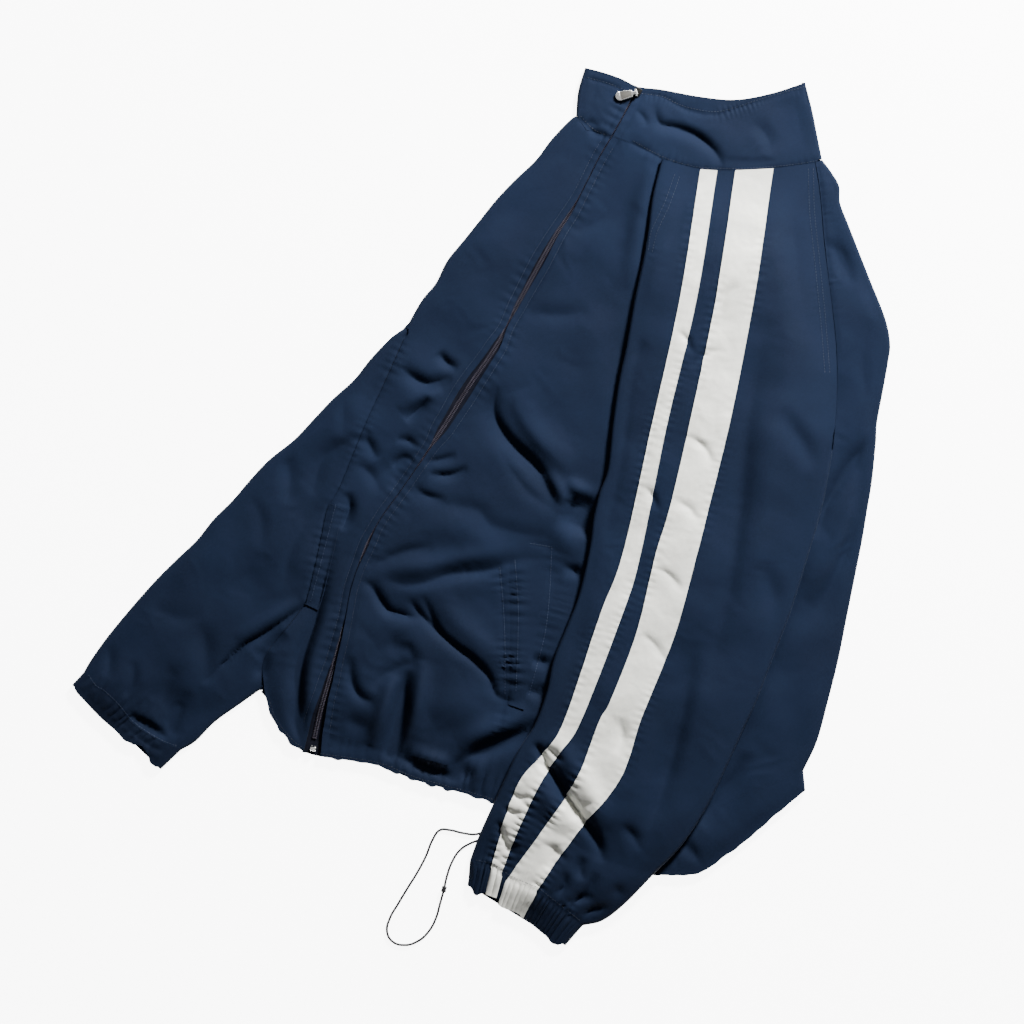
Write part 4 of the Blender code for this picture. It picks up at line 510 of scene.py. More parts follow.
def at_lengths(line, travelled, wanted):
    """Points of a line at the wanted distances along it."""
    return np.column_stack([np.interp(wanted, travelled, column) for column in line.T])


def spaced(line, count):
    """count points evenly spaced along the straight runs of a line."""
    travelled = lengths_along(line[:, :2])
    return at_lengths(line, travelled, np.linspace(0, travelled[-1], count))


def nearest_on(line, points):
    """Distance, side and share of length of the nearest place on a line, for each point."""
    begin = line[:-1]
    run = line[1:] - begin
    square = np.maximum((run * run).sum(-1), 1e-9)
    results = []
    for first in range(0, len(points), CHUNK):
        part = points[first:first + CHUNK]
        reach_x = part[:, None, 0] - begin[None, :, 0]
        reach_y = part[:, None, 1] - begin[None, :, 1]
        share = np.clip((reach_x * run[:, 0] + reach_y * run[:, 1]) / square, 0, 1)
        gap_x = reach_x - share * run[:, 0]
        gap_y = reach_y - share * run[:, 1]
        far = gap_x * gap_x + gap_y * gap_y
        pick = far.argmin(1)
        rows = np.arange(len(part))
        side = run[pick, 0] * gap_y[rows, pick] - run[pick, 1] * gap_x[rows, pick]
        results.append((np.sqrt(far[rows, pick]), side, (pick + share[rows, pick]) / len(run)))
    return tuple(np.concatenate(kind) for kind in zip(*results))


def near_line(line, points, reach):
    """nearest_on for the points within reach of a line's box; the rest are far away."""
    low, high = line.min(0) - reach, line.max(0) + reach
    close = np.flatnonzero(((points > low) & (points < high)).all(1))
    far = np.full(len(points), FAR_AWAY)
    side = np.ones(len(points))
    share = np.zeros(len(points))
    if len(close):
        far[close], side[close], share[close] = nearest_on(line, points[close])
    return far, side, share


def is_inside(loop, points):
    """True for each point inside a closed loop."""
    ahead = np.roll(loop, -1, axis=0)
    rise = np.where(ahead[:, 1] == loop[:, 1], 1e-9, ahead[:, 1] - loop[:, 1])
    inside = []
    for first in range(0, len(points), CHUNK):
        x, y = points[first:first + CHUNK, 0:1], points[first:first + CHUNK, 1:2]
        spans_row = (loop[:, 1] > y) != (ahead[:, 1] > y)
        crossing = loop[:, 0] + (y - loop[:, 1]) * (ahead[:, 0] - loop[:, 0]) / rise
        inside.append((spans_row & (x < crossing)).sum(1) % 2 == 1)
    return np.concatenate(inside)


def outside_distance(loop, points):
    """How far each point lies outside a closed loop, and 0 inside it."""
    far = nearest_on(np.vstack([loop, loop[:1]]), points)[0]
    return np.where(is_inside(loop, points), 0.0, far)


def ease(value):
    """0 to 1 with soft ends."""
    value = np.clip(value, 0, 1)
    return value * value * (3 - 2 * value)


def soft_steps(value, table):
    """A table's second column at each value, with soft turns between its rows."""
    at, level = np.array(table).T
    index = np.clip(np.searchsorted(at, value, side="right") - 1, 0, len(at) - 2)
    share = ease((value - at[index]) / (at[index + 1] - at[index]))
    return level[index] * (1 - share) + level[index + 1] * share


def joined(*runs):
    """Runs of points in one, each run's first point being the last one's end."""
    return np.vstack([runs[0]] + [run[1:] for run in runs[1:]])


def between(first, last, shares):
    """Points on the straight runs from first to last: so many columns, or one for each share."""
    share = np.array(shares if np.ndim(shares) else np.linspace(0, 1, shares), float)[None, :, None]
    return first[:, None, :] * (1 - share) + last[:, None, :] * share


def spans(knots, counts):
    """Plan columns on the straight runs between neighbouring knot lines."""
    parts = [between(a, b, count + 1)[:, :-1] for a, b, count in zip(knots, knots[1:], counts)]
    return np.concatenate(parts + [knots[-1][:, None]], axis=1)


def unit(vectors):
    """Rows at length one."""
    return vectors / np.linalg.norm(vectors, axis=-1, keepdims=True)


def directions(first, last):
    """Unit plan vectors from first to last, row by row."""
    return unit(last - first)


def crosswise(line):
    """Unit plan vectors square to a line."""
    run = np.gradient(line, axis=0)
    return unit(np.column_stack([-run[:, 1], run[:, 0]]))


def square_to(line, toward):
    """Unit plan vectors square to a line, on the side where the given points lie."""
    square = crosswise(line)
    return square * np.sign((square * (toward - line)).sum(1, keepdims=True))


def mixed(first, last, share):
    """Rows of first turning into rows of last."""
    return first * (1 - share[:, None]) + last * share[:, None]


def steadied(values, reach):
    """Rows averaged with their neighbours, so that no row turns sharply."""
    kernel = np.hanning(2 * reach + 1)
    kernel /= kernel.sum()
    padded = np.vstack([np.repeat(values[:1], reach, 0), values, np.repeat(values[-1:], reach, 0)])
    return np.column_stack([np.convolve(column, kernel, "valid") for column in padded.T])


BODY_OUTLINE = np.vstack([
    smooth(COLLAR_TOP, 24), smooth(COLLAR_RIGHT, 8)[::-1], smooth(BACK_FOLD, 24), smooth(BACK_FOLD_LOW, 24),
    smooth(HEM_EDGE, 60)[::-1], smooth(RIGHT_UNDER, 10)[::-1], np.array(RIGHT_CUFF_UNDER[1:], float),
    np.array(RIGHT_CUFF_OVER[1:], float), smooth(RIGHT_OVER, 40), smooth(SHOULDER_FOLD, 30)[::-1]])
SLEEVE_OUTLINE = np.vstack([
    smooth(LEFT_FOLD, 50), np.array(LEFT_CUFF_FOLD[1:], float), np.array(LEFT_CUFF_UNDER[1:], float),
    smooth(LEFT_UNDER, 40)[::-1], smooth(BACK_RAGLAN, 20)[::-1]])
ZIP_MIDDLE = smooth(ZIP_LINE, 60)
ZIP_FINE = smooth(ZIP_LINE, 800)
HEM_LINE = smooth(HEM_SEAM, 120)

# ---- heights, mm above the table


def drift(points, size, seed):
    """Soft waves in every direction, about one unit high, a given size in mm apart."""
    draw = np.random.default_rng(seed)
    total = np.zeros(len(points))
    for _ in range(DRIFT_WAVES):
        turn = draw.uniform(0, 2 * math.pi)
        pace = 2 * math.pi / (size * draw.uniform(0.7, 1.5))
        phase = draw.uniform(0, 2 * math.pi)
        total += np.sin((points[:, 0] * math.cos(turn) + points[:, 1] * math.sin(turn)) * pace + phase)
    return total / math.sqrt(DRIFT_WAVES / 2)


def crumple(points, seed):
    """Small sharp-topped wrinkles that come and go."""
    bent = points + np.column_stack([drift(points, 45, seed + 1), drift(points, 45, seed + 2)]) * 6
    ridge = 1 - np.abs(drift(bent, 34, seed + 3))
    patch = ease(0.5 + 0.5 * drift(points, 80, seed + 4))
    return ridge * patch


def fold_heights(folds, points):
    """Sum of the creases' troughs and ridges at each point."""
    total = np.zeros(len(points))
    for height, left_width, right_width, crisp, *route in folds:
        reach = 3.2 * max(left_width, right_width)
        far, side, share = near_line(smooth(np.reshape(route, (-1, 2)), 24), points, reach)
        step = far / np.where(side > 0, right_width, left_width)
        shape = (1 - crisp) * np.exp(-step ** 2) + crisp * np.exp(-2.2 * step)
        total += height * shape * np.clip(np.sin(np.pi * share), 0, 1) ** 0.85
    return total


def worn_heights(folds, slack, crumples, points):
    """The placed creases, the cloth's slack and its smallest wrinkles."""
    sizes = bpy.context.scene.jacket_sizes
    loose = sum(height * drift(points, size, seed) for height, size, seed in slack)
    height, seed = crumples
    loose += height * crumple(points, seed)
    return fold_heights(folds, points) * sizes.crease_depth + loose * sizes.slack


def seam_heights(seams, points, strength):
    """Dips along stitched seams, with the puckers that the thread pulls up beside them."""
    total = np.zeros(len(points))
    for dip, half_width, pucker, spacing, reach, *route in seams:
        line = smooth(np.reshape(route, (-1, 2)), 40)
        length = lengths_along(line)[-1]
        far, _, share = near_line(line, points, 3 * reach)
        along = share * length
        ends = ease(np.minimum(share, 1 - share) * length / 6 + 0.3)
        bend = 1.6 * np.sin(along / 11 + route[0]) + np.sin(along / 5.3)
        wave = np.sin(2 * math.pi * along / spacing + bend)
        size = 0.65 + 0.45 * np.sin(along / 13 + route[1])
        total += dip * np.exp(-(far / half_width) ** 2) * ends
        total += strength * pucker * size * wave * np.exp(-(far / reach) ** 2) * ends
    return total


def gathers(line, waves, height, reach, points, pull=None, seed=5):
    """Uneven ripples square to a gathered seam, fading over the panel on its walker's left side."""
    far, side, share = near_line(line, points, 4 * reach)
    draw = np.random.default_rng(seed)
    knots = np.linspace(0, 1, waves + 1) + draw.uniform(-0.3, 0.3, waves + 1) / waves
    size = draw.uniform(0.2, 1.35, waves + 1)
    phase = np.interp(share, np.sort(knots), np.arange(waves + 1))
    wave = 1.9 * np.abs(np.sin(math.pi * phase)) ** 0.8 - 1.2
    uneven = np.interp(share, np.linspace(0, 1, waves + 1), size)
    length_left = reach * (0.7 + 0.6 * np.interp(share, np.linspace(0, 1, waves + 1), size[::-1]))
    fade = np.where(side > 0, np.exp(-(far / (2.2 * reach)) ** 2), np.exp(-(far / length_left) ** 1.5))
    strength = np.interp(share, *np.transpose(pull)) if pull else 1.0
    ends = np.clip(np.sin(math.pi * share), 0, 1) ** 0.3
    return height * wave * uneven * fade * strength * ends


def calm_body(points):
    """The upper cloth's height with no folds in it."""
    inward = nearest_on(np.vstack([BODY_OUTLINE, BODY_OUTLINE[:1]]), points)[0]
    past = np.maximum(inward - FLAT_FOLD - WALL / 2, 0)
    return EDGE_TOP + BODY_RISE * (1 - np.exp(-past / BODY_REACH)), past


def zip_puckers(points):
    """Dips beside the zip's two topstitched edges, with their small puckers."""
    far, side, share = near_line(ZIP_MIDDLE, points, 45)
    length = lengths_along(ZIP_MIDDLE)[-1]
    along = share * length
    beside = far - soft_steps(share, ZIP_OPENING)
    seed = np.where(side > 0, 0.0, 2.1)
    wave = np.sin(2 * math.pi * along / 9 + 2.2 * np.sin(along / 23 + seed) + seed)
    size = 0.1 + 0.6 * ease(0.3 + 0.9 * np.sin(along / 31 + 2 * seed))
    from_stitches = beside - ZIP_STITCH_FROM
    dip = -0.8 * np.exp(-(from_stitches / 2.2) ** 2)
    return dip + 0.55 * wave * size * np.exp(-(from_stitches / 8) ** 2)


def body_top(points):
    """Middle of the upper cloth that lies on the table's layer."""
    pucker = bpy.context.scene.jacket_sizes.pucker_height
    height, past = calm_body(points)
    covered = 1 - ease(outside_distance(SLEEVE_OUTLINE, points) / RIDGE_FREE)
    folds = worn_heights(BODY_FOLDS, BODY_SLACK, BODY_CRUMPLE, points) * ease(past / CALM_EDGE)
    sewn = seam_heights(BODY_SEAMS, points, pucker) + zip_puckers(points) * pucker
    sewn += gathers(HEM_LINE, *HEM_WAVES, points, HEM_PULL)
    sewn += gathers(smooth(RIGHT_CUFF_SEAM, 40), *RIGHT_CUFF_WAVES, points, seed=9)
    folds += sewn * ease(past / SEWN_EDGE)
    folds = np.where(folds > 0, folds * (1 - covered), folds)
    zip_near = ease(1 - (nearest_on(ZIP_MIDDLE, points)[0] - ZIP_STAYS) / ZIP_LETS_GO)
    lowest = LOWEST_UPPER + (EDGE_TOP - LOWEST_UPPER) * zip_near
    over = height + folds - lowest
    return lowest + 0.5 * (over + np.sqrt(over ** 2 + 0.25))


def sleeve_rest(points):
    """Middle of the left sleeve's lower wall: on the body, then down over the hem to the table."""
    outside = outside_distance(BODY_OUTLINE, points)
    drop = 0.5 * (1 + np.cos(np.pi * np.clip(outside / HEM_DROP, 0, 1)))
    on_body = calm_body(points)[0] + SLEEVE_LIFT
    off_body = UNDER_MIDDLE + (EDGE_TOP + SLEEVE_LIFT - UNDER_MIDDLE) * drop
    return np.where(outside > 0, off_body, on_body)


def at_height(plan, height):
    """Plan points of any grid shape, with a height function or one height, as 3-D points."""
    flat = plan.reshape(-1, 2)
    values = height(flat) if callable(height) else np.full(len(flat), float(height))
    return np.column_stack([flat, values]).reshape(plan.shape[:-1] + (3,))


def rolled_edge(edge, inward, rest=UNDER_MIDDLE, radius=FLAT_FOLD):
    """Half a roll for each row, from the upper wall's edge over the fold to the lower wall's."""
    radius = np.broadcast_to(radius, (len(edge),))[:, None]
    angle = np.linspace(math.pi / 2, -math.pi / 2, ARC_STEPS + 1)[None, :]
    middle = roll_middle(edge, inward, radius)
    plan = middle[:, None, :] - inward[:, None, :] * (radius * np.cos(angle))[..., None]
    height = np.reshape(rest, (-1, 1)) + radius + radius * np.sin(angle)
    return np.concatenate([plan, height[..., None]], axis=2)


def roll_middle(edge, inward, radius=FLAT_FOLD):
    """Plan points over the middle of a rolled edge, where its two walls begin."""
    return edge + inward * (np.reshape(radius, (-1, 1)) + WALL / 2)


def raised(grid, offset):
    """A grid moved out along its own upward normals."""
    normal = unit(np.cross(np.gradient(grid, axis=0), np.gradient(grid, axis=1)))
    normal *= np.sign(normal[..., 2:3])
    return grid + normal * offset


def sunk(grid, panel, first):
    """A strip's grid let into the panel along its first column, so that it has no step there."""
    share = ease((np.arange(grid.shape[1]) - first) / 4)[None, :, None]
    return (panel - (0, 0, 0.6)) * (1 - share) + grid * share


def to_world(points):
    """Plan points with heights in mm, as metres about the jacket's middle."""
    points = np.asarray(points, float)
    across = points[..., 0] - PLAN_MIDDLE[0]
    up_plan = PLAN_MIDDLE[1] - points[..., 1]
    return np.stack([across, up_plan, points[..., 2]], axis=-1) / 1000


# ---- grids of the panels


def zip_edge(shares, side, extra=0.0):
    """The front edge beside the zip, or a line extra mm from it: side -1 left of the coil, 1 right."""
    travelled = lengths_along(ZIP_FINE)
    middle = at_lengths(ZIP_FINE, travelled, shares * travelled[-1])
    across = crosswise(middle)
    across *= -np.sign(across[:, 0:1])
    return middle + across * (-side * (soft_steps(shares, ZIP_OPENING) + extra))[:, None]


def right_front_grid():
    """Rows from the neck to the hem band, columns from the underside lip to the zip."""
    steps = FRONT_ROWS * ROW_STEPS
    fold_steps = FOLD_ROWS * ROW_STEPS
    row = np.arange(steps + 1) / ROW_STEPS
    seam = smooth(RIGHT_RAGLAN, steps - fold_steps + 1)
    fold = smooth(SHOULDER_FOLD, fold_steps + 1)
    zip_side = zip_edge(np.linspace(ZIP_AT_NECK, ZIP_AT_HEM, steps + 1), -1)
    outer = joined(fold, seam)
    inward = joined(square_to(fold, zip_side[:fold_steps + 1]), square_to(seam, zip_side[fold_steps:]))
    inward = unit(steadied(inward, ROW_STEPS))
    sewn = np.clip(3 * (row - FOLD_ROWS), 0, 1)
    start = mixed(roll_middle(outer, inward), outer + inward * SEAM, sewn)
    welt_line = start + inward * RIGHT_WELT_WIDTH
    upper = at_height(spans([start, welt_line, zip_side], RIGHT_FRONT_COLUMNS), body_top)
    roll = rolled_edge(outer, inward)[:, ::-1]
    lip_length = SHOULDER_LIP * np.clip((FOLD_ROWS - row) / 2, 0.1, 1)
    lip = at_height(roll[:, :1, :2] + (inward * lip_length[:, None])[:, None], UNDER_MIDDLE)
    return np.concatenate([lip, roll[:, :-1], upper], axis=1), fold_steps


def left_front_grid():
    """Rows from the neck to the hem band, columns from the zip to the side seam under the sleeve."""
    count = FRONT_ROWS * ROW_STEPS + 1
    zip_side = zip_edge(np.linspace(ZIP_AT_NECK, ZIP_AT_HEM, count), 1)
    knots = [zip_side] + [smooth(line, count) for line in (POCKET_INNER, POCKET_OUTER, LEFT_SIDE_SEAM)]
    return at_height(spans(knots, LEFT_FRONT_COLUMNS), body_top)


def back_grid():
    """The back's rows from neck to hem: under the sleeve, out to the fold, and the hidden half."""
    high, low = BACK_ROWS_HIGH * ROW_STEPS, BACK_ROWS_LOW * ROW_STEPS
    row = np.arange(high + low + 1) / ROW_STEPS
    fold = joined(smooth(BACK_FOLD, high + 1), smooth(BACK_FOLD_LOW, low + 1))
    raglan = joined(smooth(BACK_RAGLAN, high + 1), smooth(UNDER_SLEEVE_LINE, low + 1))
    side_low = smooth(LEFT_SIDE_SEAM, low + 1, SIDE_SEAM_FROM, 1)
    side = np.vstack([np.repeat(side_low[:1], high, axis=0), side_low])
    inward = directions(fold, raglan)
    top_start = roll_middle(fold, inward)
    side_edge = side + directions(side, raglan) * SEAM
    counts = (BACK_SIDE_COLUMNS * 4, 24)
    top = spans([side_edge, raglan - inward * SEAM, top_start], counts)
    coarse = np.concatenate([
        between(side_edge[-1:], raglan[-1:], BACK_SIDE_COLUMNS + 1)[:, :-1],
        between((raglan - inward * SEAM)[-1:], top_start[-1:], (0, 0.5, 1))], axis=1)[0]
    sag = smooth(HEM_SEAM, len(coarse), BACK_HEM_FROM, 1)[:, 1] - coarse[:, 1]
    sag[[0, -1]] = 0
    place = np.concatenate([
        np.linspace(0, BACK_SIDE_COLUMNS, counts[0] + 1),
        np.linspace(BACK_SIDE_COLUMNS, len(sag) - 1, counts[1] + 1)[1:]])
    sag = np.interp(place, np.arange(len(sag)), sag)
    near_hem = ease((row - (row[-1] - BACK_SAG_ROWS)) / BACK_SAG_ROWS)
    top[..., 1] += near_hem[:, None] * sag[None]
    top = at_height(top, body_top)
    roll = rolled_edge(fold, inward)
    under = back_underside(roll[:, -1, :2])
    return np.concatenate([top[:, :-1], roll, under[:, 1:]], axis=1), top, under, counts[0], high


def filled(near, far, first, last):
    """A plan grid between two sides (near, far) and two ends (first row, last row)."""
    v = np.linspace(0, 1, len(near))[:, None, None]
    u = np.linspace(0, 1, len(first))[None, :, None]
    sides = near[:, None] * (1 - u) + far[:, None] * u
    ends = first[None] * (1 - v) + last[None] * v
    corners = (near[0] * (1 - u) + far[0] * u) * (1 - v) + (near[-1] * (1 - u) + far[-1] * u) * v
    return sides + ends - corners


def back_underside(fold_edge):
    """The hidden half, from the right-hand fold to the right sleeve's seam and the right front."""
    columns = 24
    far = smooth(RIGHT_BACK_SEAM, len(fold_edge))[::-1] + (2 * SEAM, 0)
    neck = joined(fold_edge[:1], smooth(NECK_SLEEVE, 12)[::-1], smooth(NECK_FRONT, 12, 0.3, 1)[::-1])
    first = smooth(neck, columns + 1)
    last = smooth(HEM_SEAM, columns + 1)[::-1].copy()
    first[-1] = far[0]
    last[0] = fold_edge[-1]
    last[-1] = far[-1]
    return at_height(filled(fold_edge, far, first, last), UNDER_MIDDLE)


def right_sleeve_grid():
    """A flat tube from the cuff to the underarm, then open at its two raglan seams."""
    tube = TUBE_ROWS * RIGHT_SLEEVE_ROW_STEPS
    opened = (FRONT_ROWS - FOLD_ROWS) * RIGHT_SLEEVE_ROW_STEPS
    under_rows = FOLD_ROWS * RIGHT_SLEEVE_ROW_STEPS
    row = np.arange(tube + opened + under_rows + 1) / RIGHT_SLEEVE_ROW_STEPS
    open_row = row - TUBE_ROWS
    shoulder_row = open_row - (FRONT_ROWS - FOLD_ROWS)
    over = joined(
        smooth(RIGHT_OVER, tube + 1, 0, OVER_SPLIT), smooth(RIGHT_OVER, opened + 1, OVER_SPLIT, 1),
        smooth(SHOULDER_FOLD, under_rows + 1)[::-1])
    under = joined(smooth(RIGHT_UNDER, tube + 1), smooth(RIGHT_RAGLAN, opened + 1)[::-1])
    under = np.vstack([under, np.repeat(under[-1:], under_rows, axis=0)])
    back_seam = smooth(RIGHT_BACK_SEAM, opened + under_rows + 1)
    toward = np.vstack([under[:tube + 1], back_seam[1:]])
    inward = unit(mixed(directions(over, toward), square_to(over, toward), np.clip(shoulder_row + 1, 0, 1)))
    over_start = roll_middle(over, inward)
    seam_out = square_to(under[:-under_rows], over[:-under_rows])
    seam_out = np.vstack([seam_out, np.repeat(seam_out[-1:], under_rows, axis=0)])
    under_start = mixed(roll_middle(under, -inward), under + seam_out * SEAM, np.clip(open_row, 0, 1))
    columns = RIGHT_SLEEVE_COLUMNS
    plan = between(under_start, over_start, columns)
    bow = spaced(smooth(RIGHT_CUFF_SEAM, 60)[::-1], columns) - spaced(plan[0], columns)
    bow *= np.sin(np.linspace(0, math.pi, columns))[:, None] ** 0.3
    plan = plan + bow[None] * (1 - ease(row / CUFF_EASE_ROWS))[:, None, None]
    upper = at_height(plan, body_top)
    roll = rolled_edge(over, inward)
    low_end = np.vstack([under_start[:tube + 1], back_seam[1:] - inward[tube + 1:] * SEAM])
    lip = over + inward * (FLAT_FOLD + WALL / 2 + SHOULDER_LIP + 3 * SEAM)
    low_start = mixed(roll[:, -1, :2], lip, np.clip(shoulder_row + 1, 0, 1))
    lower = at_height(between(low_start, low_end, RIGHT_SLEEVE_UNDER), UNDER_MIDDLE)
    back_roll = rolled_edge(under, -inward)[:, ::-1]
    grid = np.concatenate([upper[:, :-1], roll[:, :-1], lower, back_roll[:, 1:-1]], axis=1)
    first_low = upper.shape[1] + roll.shape[1] - 2
    last_low = first_low + lower.shape[1] - 1

    def kept(i, j):
        in_open = (i < tube + opened) & (j < last_low)
        return (i < tube) | in_open | ((first_low <= j) & (j < last_low))

    return grid, upper, kept, tube


def sleeve_upper(plan, rows, edge_left, edge_right, radius):
    """Height of the left sleeve's upper wall at a grid of plan points."""
    pucker = bpy.context.scene.jacket_sizes.pucker_height
    shape = plan.shape[:2]
    flat = plan.reshape(-1, 2)
    row = np.repeat(rows, shape[1])
    folded = np.repeat(radius, shape[1])
    from_left = np.linalg.norm(plan - edge_left[:, None], axis=2).reshape(-1) - folded - WALL / 2
    from_right = np.linalg.norm(plan - edge_right[:, None], axis=2).reshape(-1)
    open_side = ease((LEFT_TUBE_FROM + 0.5 - row) / OPEN_EASE_ROWS)
    past_left = np.maximum(from_left, 0)
    past = np.maximum(np.minimum(from_left, from_right - SLEEVE_FOLD - WALL / 2), 0)
    swell = np.exp(-past / SLEEVE_REACH) * (1 - open_side) + np.exp(-past_left / SLEEVE_REACH) * open_side
    past = past * (1 - open_side) + past_left * open_side
    stack = SLEEVE_LIFT + 2 * folded + SLEEVE_RISE * (1 - swell)
    folds = worn_heights(SLEEVE_FOLDS, SLEEVE_SLACK, SLEEVE_CRUMPLE, flat)
    sewn = seam_heights(SLEEVE_SEAMS, flat, pucker) + stripe_puckers(flat) * pucker
    sewn += gathers(smooth(LEFT_CUFF_SEAM, 40), *LEFT_CUFF_WAVES, flat, seed=11)
    stack = stack + folds * ease(past / CALM_EDGE) + sewn * ease(past / SEWN_EDGE)
    share = ease(row / CUFF_EASE_ROWS) * (1 - open_side * (1 - ease(from_right / LOW_BESIDE_RAGLAN)))
    pleat = (SLEEVE_LIFT + 2 * folded) * np.exp(-(past_left / NECK_PLEAT) ** 2)
    height = sleeve_rest(flat) - SLEEVE_LIFT + share * stack + (1 - share) * pleat
    return np.dstack([plan, height.reshape(shape)])


def stripe_puckers(points):
    """Small puckers along the stripes' four stitched edges."""
    total = np.zeros(len(points))
    for index, line in enumerate(STRIPE_EDGES):
        route = smooth(line, 60)
        far, _, share = near_line(route, points, 30)
        along = share * lengths_along(route)[-1]
        bend = 2 * np.sin(along / 19 + index) + np.sin(along / 7 + 2 * index)
        wave = np.sin(2 * math.pi * along / 7.5 + bend)
        size = 0.2 + 0.6 * ease(0.3 + 0.8 * np.sin(along / 37 + 1.7 * index))
        lower_end = 1 + 1.8 * ease((share - 0.78) / 0.1)
        total += 0.42 * wave * size * lower_end * np.exp(-(far / 6.5) ** 2)
        total -= 0.45 * np.exp(-((far - 1.6) / 1.6) ** 2)
    return total


def left_sleeve_grid():
    """The left sleeve's rows from the neck, its upper columns first, then the walls under them."""
    k = SLEEVE_ROW_STEPS
    count = LEFT_SLEEVE_ROWS * k + 1
    row = np.arange(count) / k
    tube = LEFT_TUBE_FROM * k
    right = joined(smooth(BACK_RAGLAN, tube + 1), smooth(LEFT_UNDER, count - tube))
    left = smooth(LEFT_FOLD, count)
    stripes = [smooth(line, count) for line in STRIPE_EDGES]
    inward = directions(left, right)
    radius = NECK_PLEAT_FOLD + (SLEEVE_FOLD - NECK_PLEAT_FOLD) * ease(row / 5)
    closing = np.clip(row - LEFT_TUBE_FROM + 1, 0, 1)
    left_start = roll_middle(left, inward, radius)
    right_start = mixed(right - inward * SEAM, roll_middle(right, -inward, SLEEVE_FOLD), closing)
    plan = spans([left_start] + stripes + [right_start], SLEEVE_COLUMNS)
    upper = sleeve_upper(plan, row, left, right, radius)
    left_rest = sleeve_rest(left_start)
    right_rest = sleeve_rest(roll_middle(right, -inward, SLEEVE_FOLD))
    left_roll = rolled_edge(left, inward, left_rest, radius)[:, ::-1]
    right_roll = rolled_edge(right, -inward, right_rest, SLEEVE_FOLD)
    upper[:, 0, 2] = left_roll[:, -1, 2]
    upper[tube:, -1, 2] = right_roll[tube:, 0, 2]
    lip_share = 0.05 + 0.55 * ease(row / LEFT_TUBE_FROM)
    lip_share = lip_share + (1 - lip_share) * (closing >= 1)
    low_right = left_start + (right_start - left_start) * lip_share[:, None]
    lower = at_height(between(left_start, low_right, LEFT_SLEEVE_UNDER), sleeve_rest)[:, ::-1]
    grid = np.concatenate([upper, right_roll[:, 1:-1], lower, left_roll[:, 1:-1]], axis=1)
    last_upper = upper.shape[1] - 1
    first_lower = last_upper + ARC_STEPS

    def kept(i, j):
        return (i >= tube) | (j < last_upper) | (j >= first_lower)

    return grid, upper, kept


def cuff_grid(sleeve_end, near_end, far_end, radius, top, rest, waves, height, seed, mouth):
    """A gathered band: its first ring continues the sleeve's end, its last is the cuff's mouth."""
    columns = max(8 * waves, LEAST_CUFF_COLUMNS)
    share = np.linspace(0, 1, columns + 1)
    start = spaced(sleeve_end, columns + 1)
    ends = np.array([near_end, far_end], float)
    inward = directions(ends[:1], ends[1:])
    near = roll_middle(ends[:1], inward, radius)[0]
    far = roll_middle(ends[1:], -inward, radius)[0]
    edge = near + (far - near) * share[:, None]
    away = directions(start[:, :2].mean(0)[None], edge.mean(0)[None])
    edge = edge + away * soft_steps(share, mouth)[:, None]
    swell = CUFF_SWELL * np.sin(np.pi * share) ** 0.6
    draw = np.random.default_rng(seed)
    size = draw.uniform(0.3, 1.3, waves + 1)
    knots = np.linspace(0, 1, waves + 1) + draw.uniform(-0.36, 0.36, waves + 1) / waves
    phase = np.interp(share, knots, np.arange(waves + 1))
    puff = 1.9 * np.abs(np.sin(math.pi * phase)) ** 0.7 - 1.2
    ripple = height * puff * np.interp(share, np.linspace(0, 1, waves + 1), size)
    ripple *= np.sin(np.pi * share) ** 0.4
    rings = []
    for step in np.linspace(0, 1, CUFF_RINGS):
        ring_radius = radius + (FLAT_FOLD - radius) * step
        plan = start[:, :2] * (1 - step) + edge * step + away * CUFF_JOIN * (1 - step)
        plan = plan + away * (0.5 * np.sin(7.3 * step + 21 * share) * step)[:, None]
        body = top(plan) if top else rest(plan) + 2 * ring_radius + swell * (1 - step)
        pinch = 0.55 + 0.45 * math.sin(math.pi * min(step * 1.6, 1.0))
        level = start[:, 2] * (1 - step) + body * step + ripple * pinch * ease(step * 5)
        level[[0, -1]] = rest(plan[[0, -1]]) + 2 * ring_radius
        rings.append(np.column_stack([plan, level]))
    upper = np.stack(rings)
    radii = radius + (FLAT_FOLD - radius) * np.linspace(0, 1, CUFF_RINGS)
    first, last = upper[:, 0, :2], upper[:, -1, :2]
    toward = directions(first, last)
    out = toward * (radii[:, None] + WALL / 2)
    near_roll = rolled_edge(first - out, toward, rest(first), radii)[:, ::-1]
    far_roll = rolled_edge(last + out, -toward, rest(last), radii)
    lower = at_height(between(last, first, CUFF_UNDER), rest)
    return np.concatenate([upper, far_roll[:, 1:-1], lower, near_roll[:, 1:-1]], axis=1), upper


def flat_rest(points):
    """Middle of a lower wall that lies on the table."""
    return np.full(len(points), UNDER_MIDDLE)


def collar_run(neck, top, near, far):
    """Plan rows from the neck seam up to the collar's top edge, between two end columns."""
    rise = np.linspace(0, 1, COLLAR_STEPS)[:, None, None]
    plan = neck[None] * (1 - rise) + top[None] * rise
    plan[:, 0] = near
    plan[:, -1] = far
    plan[0] += SEAM * directions(plan[0], plan[1])
    return plan


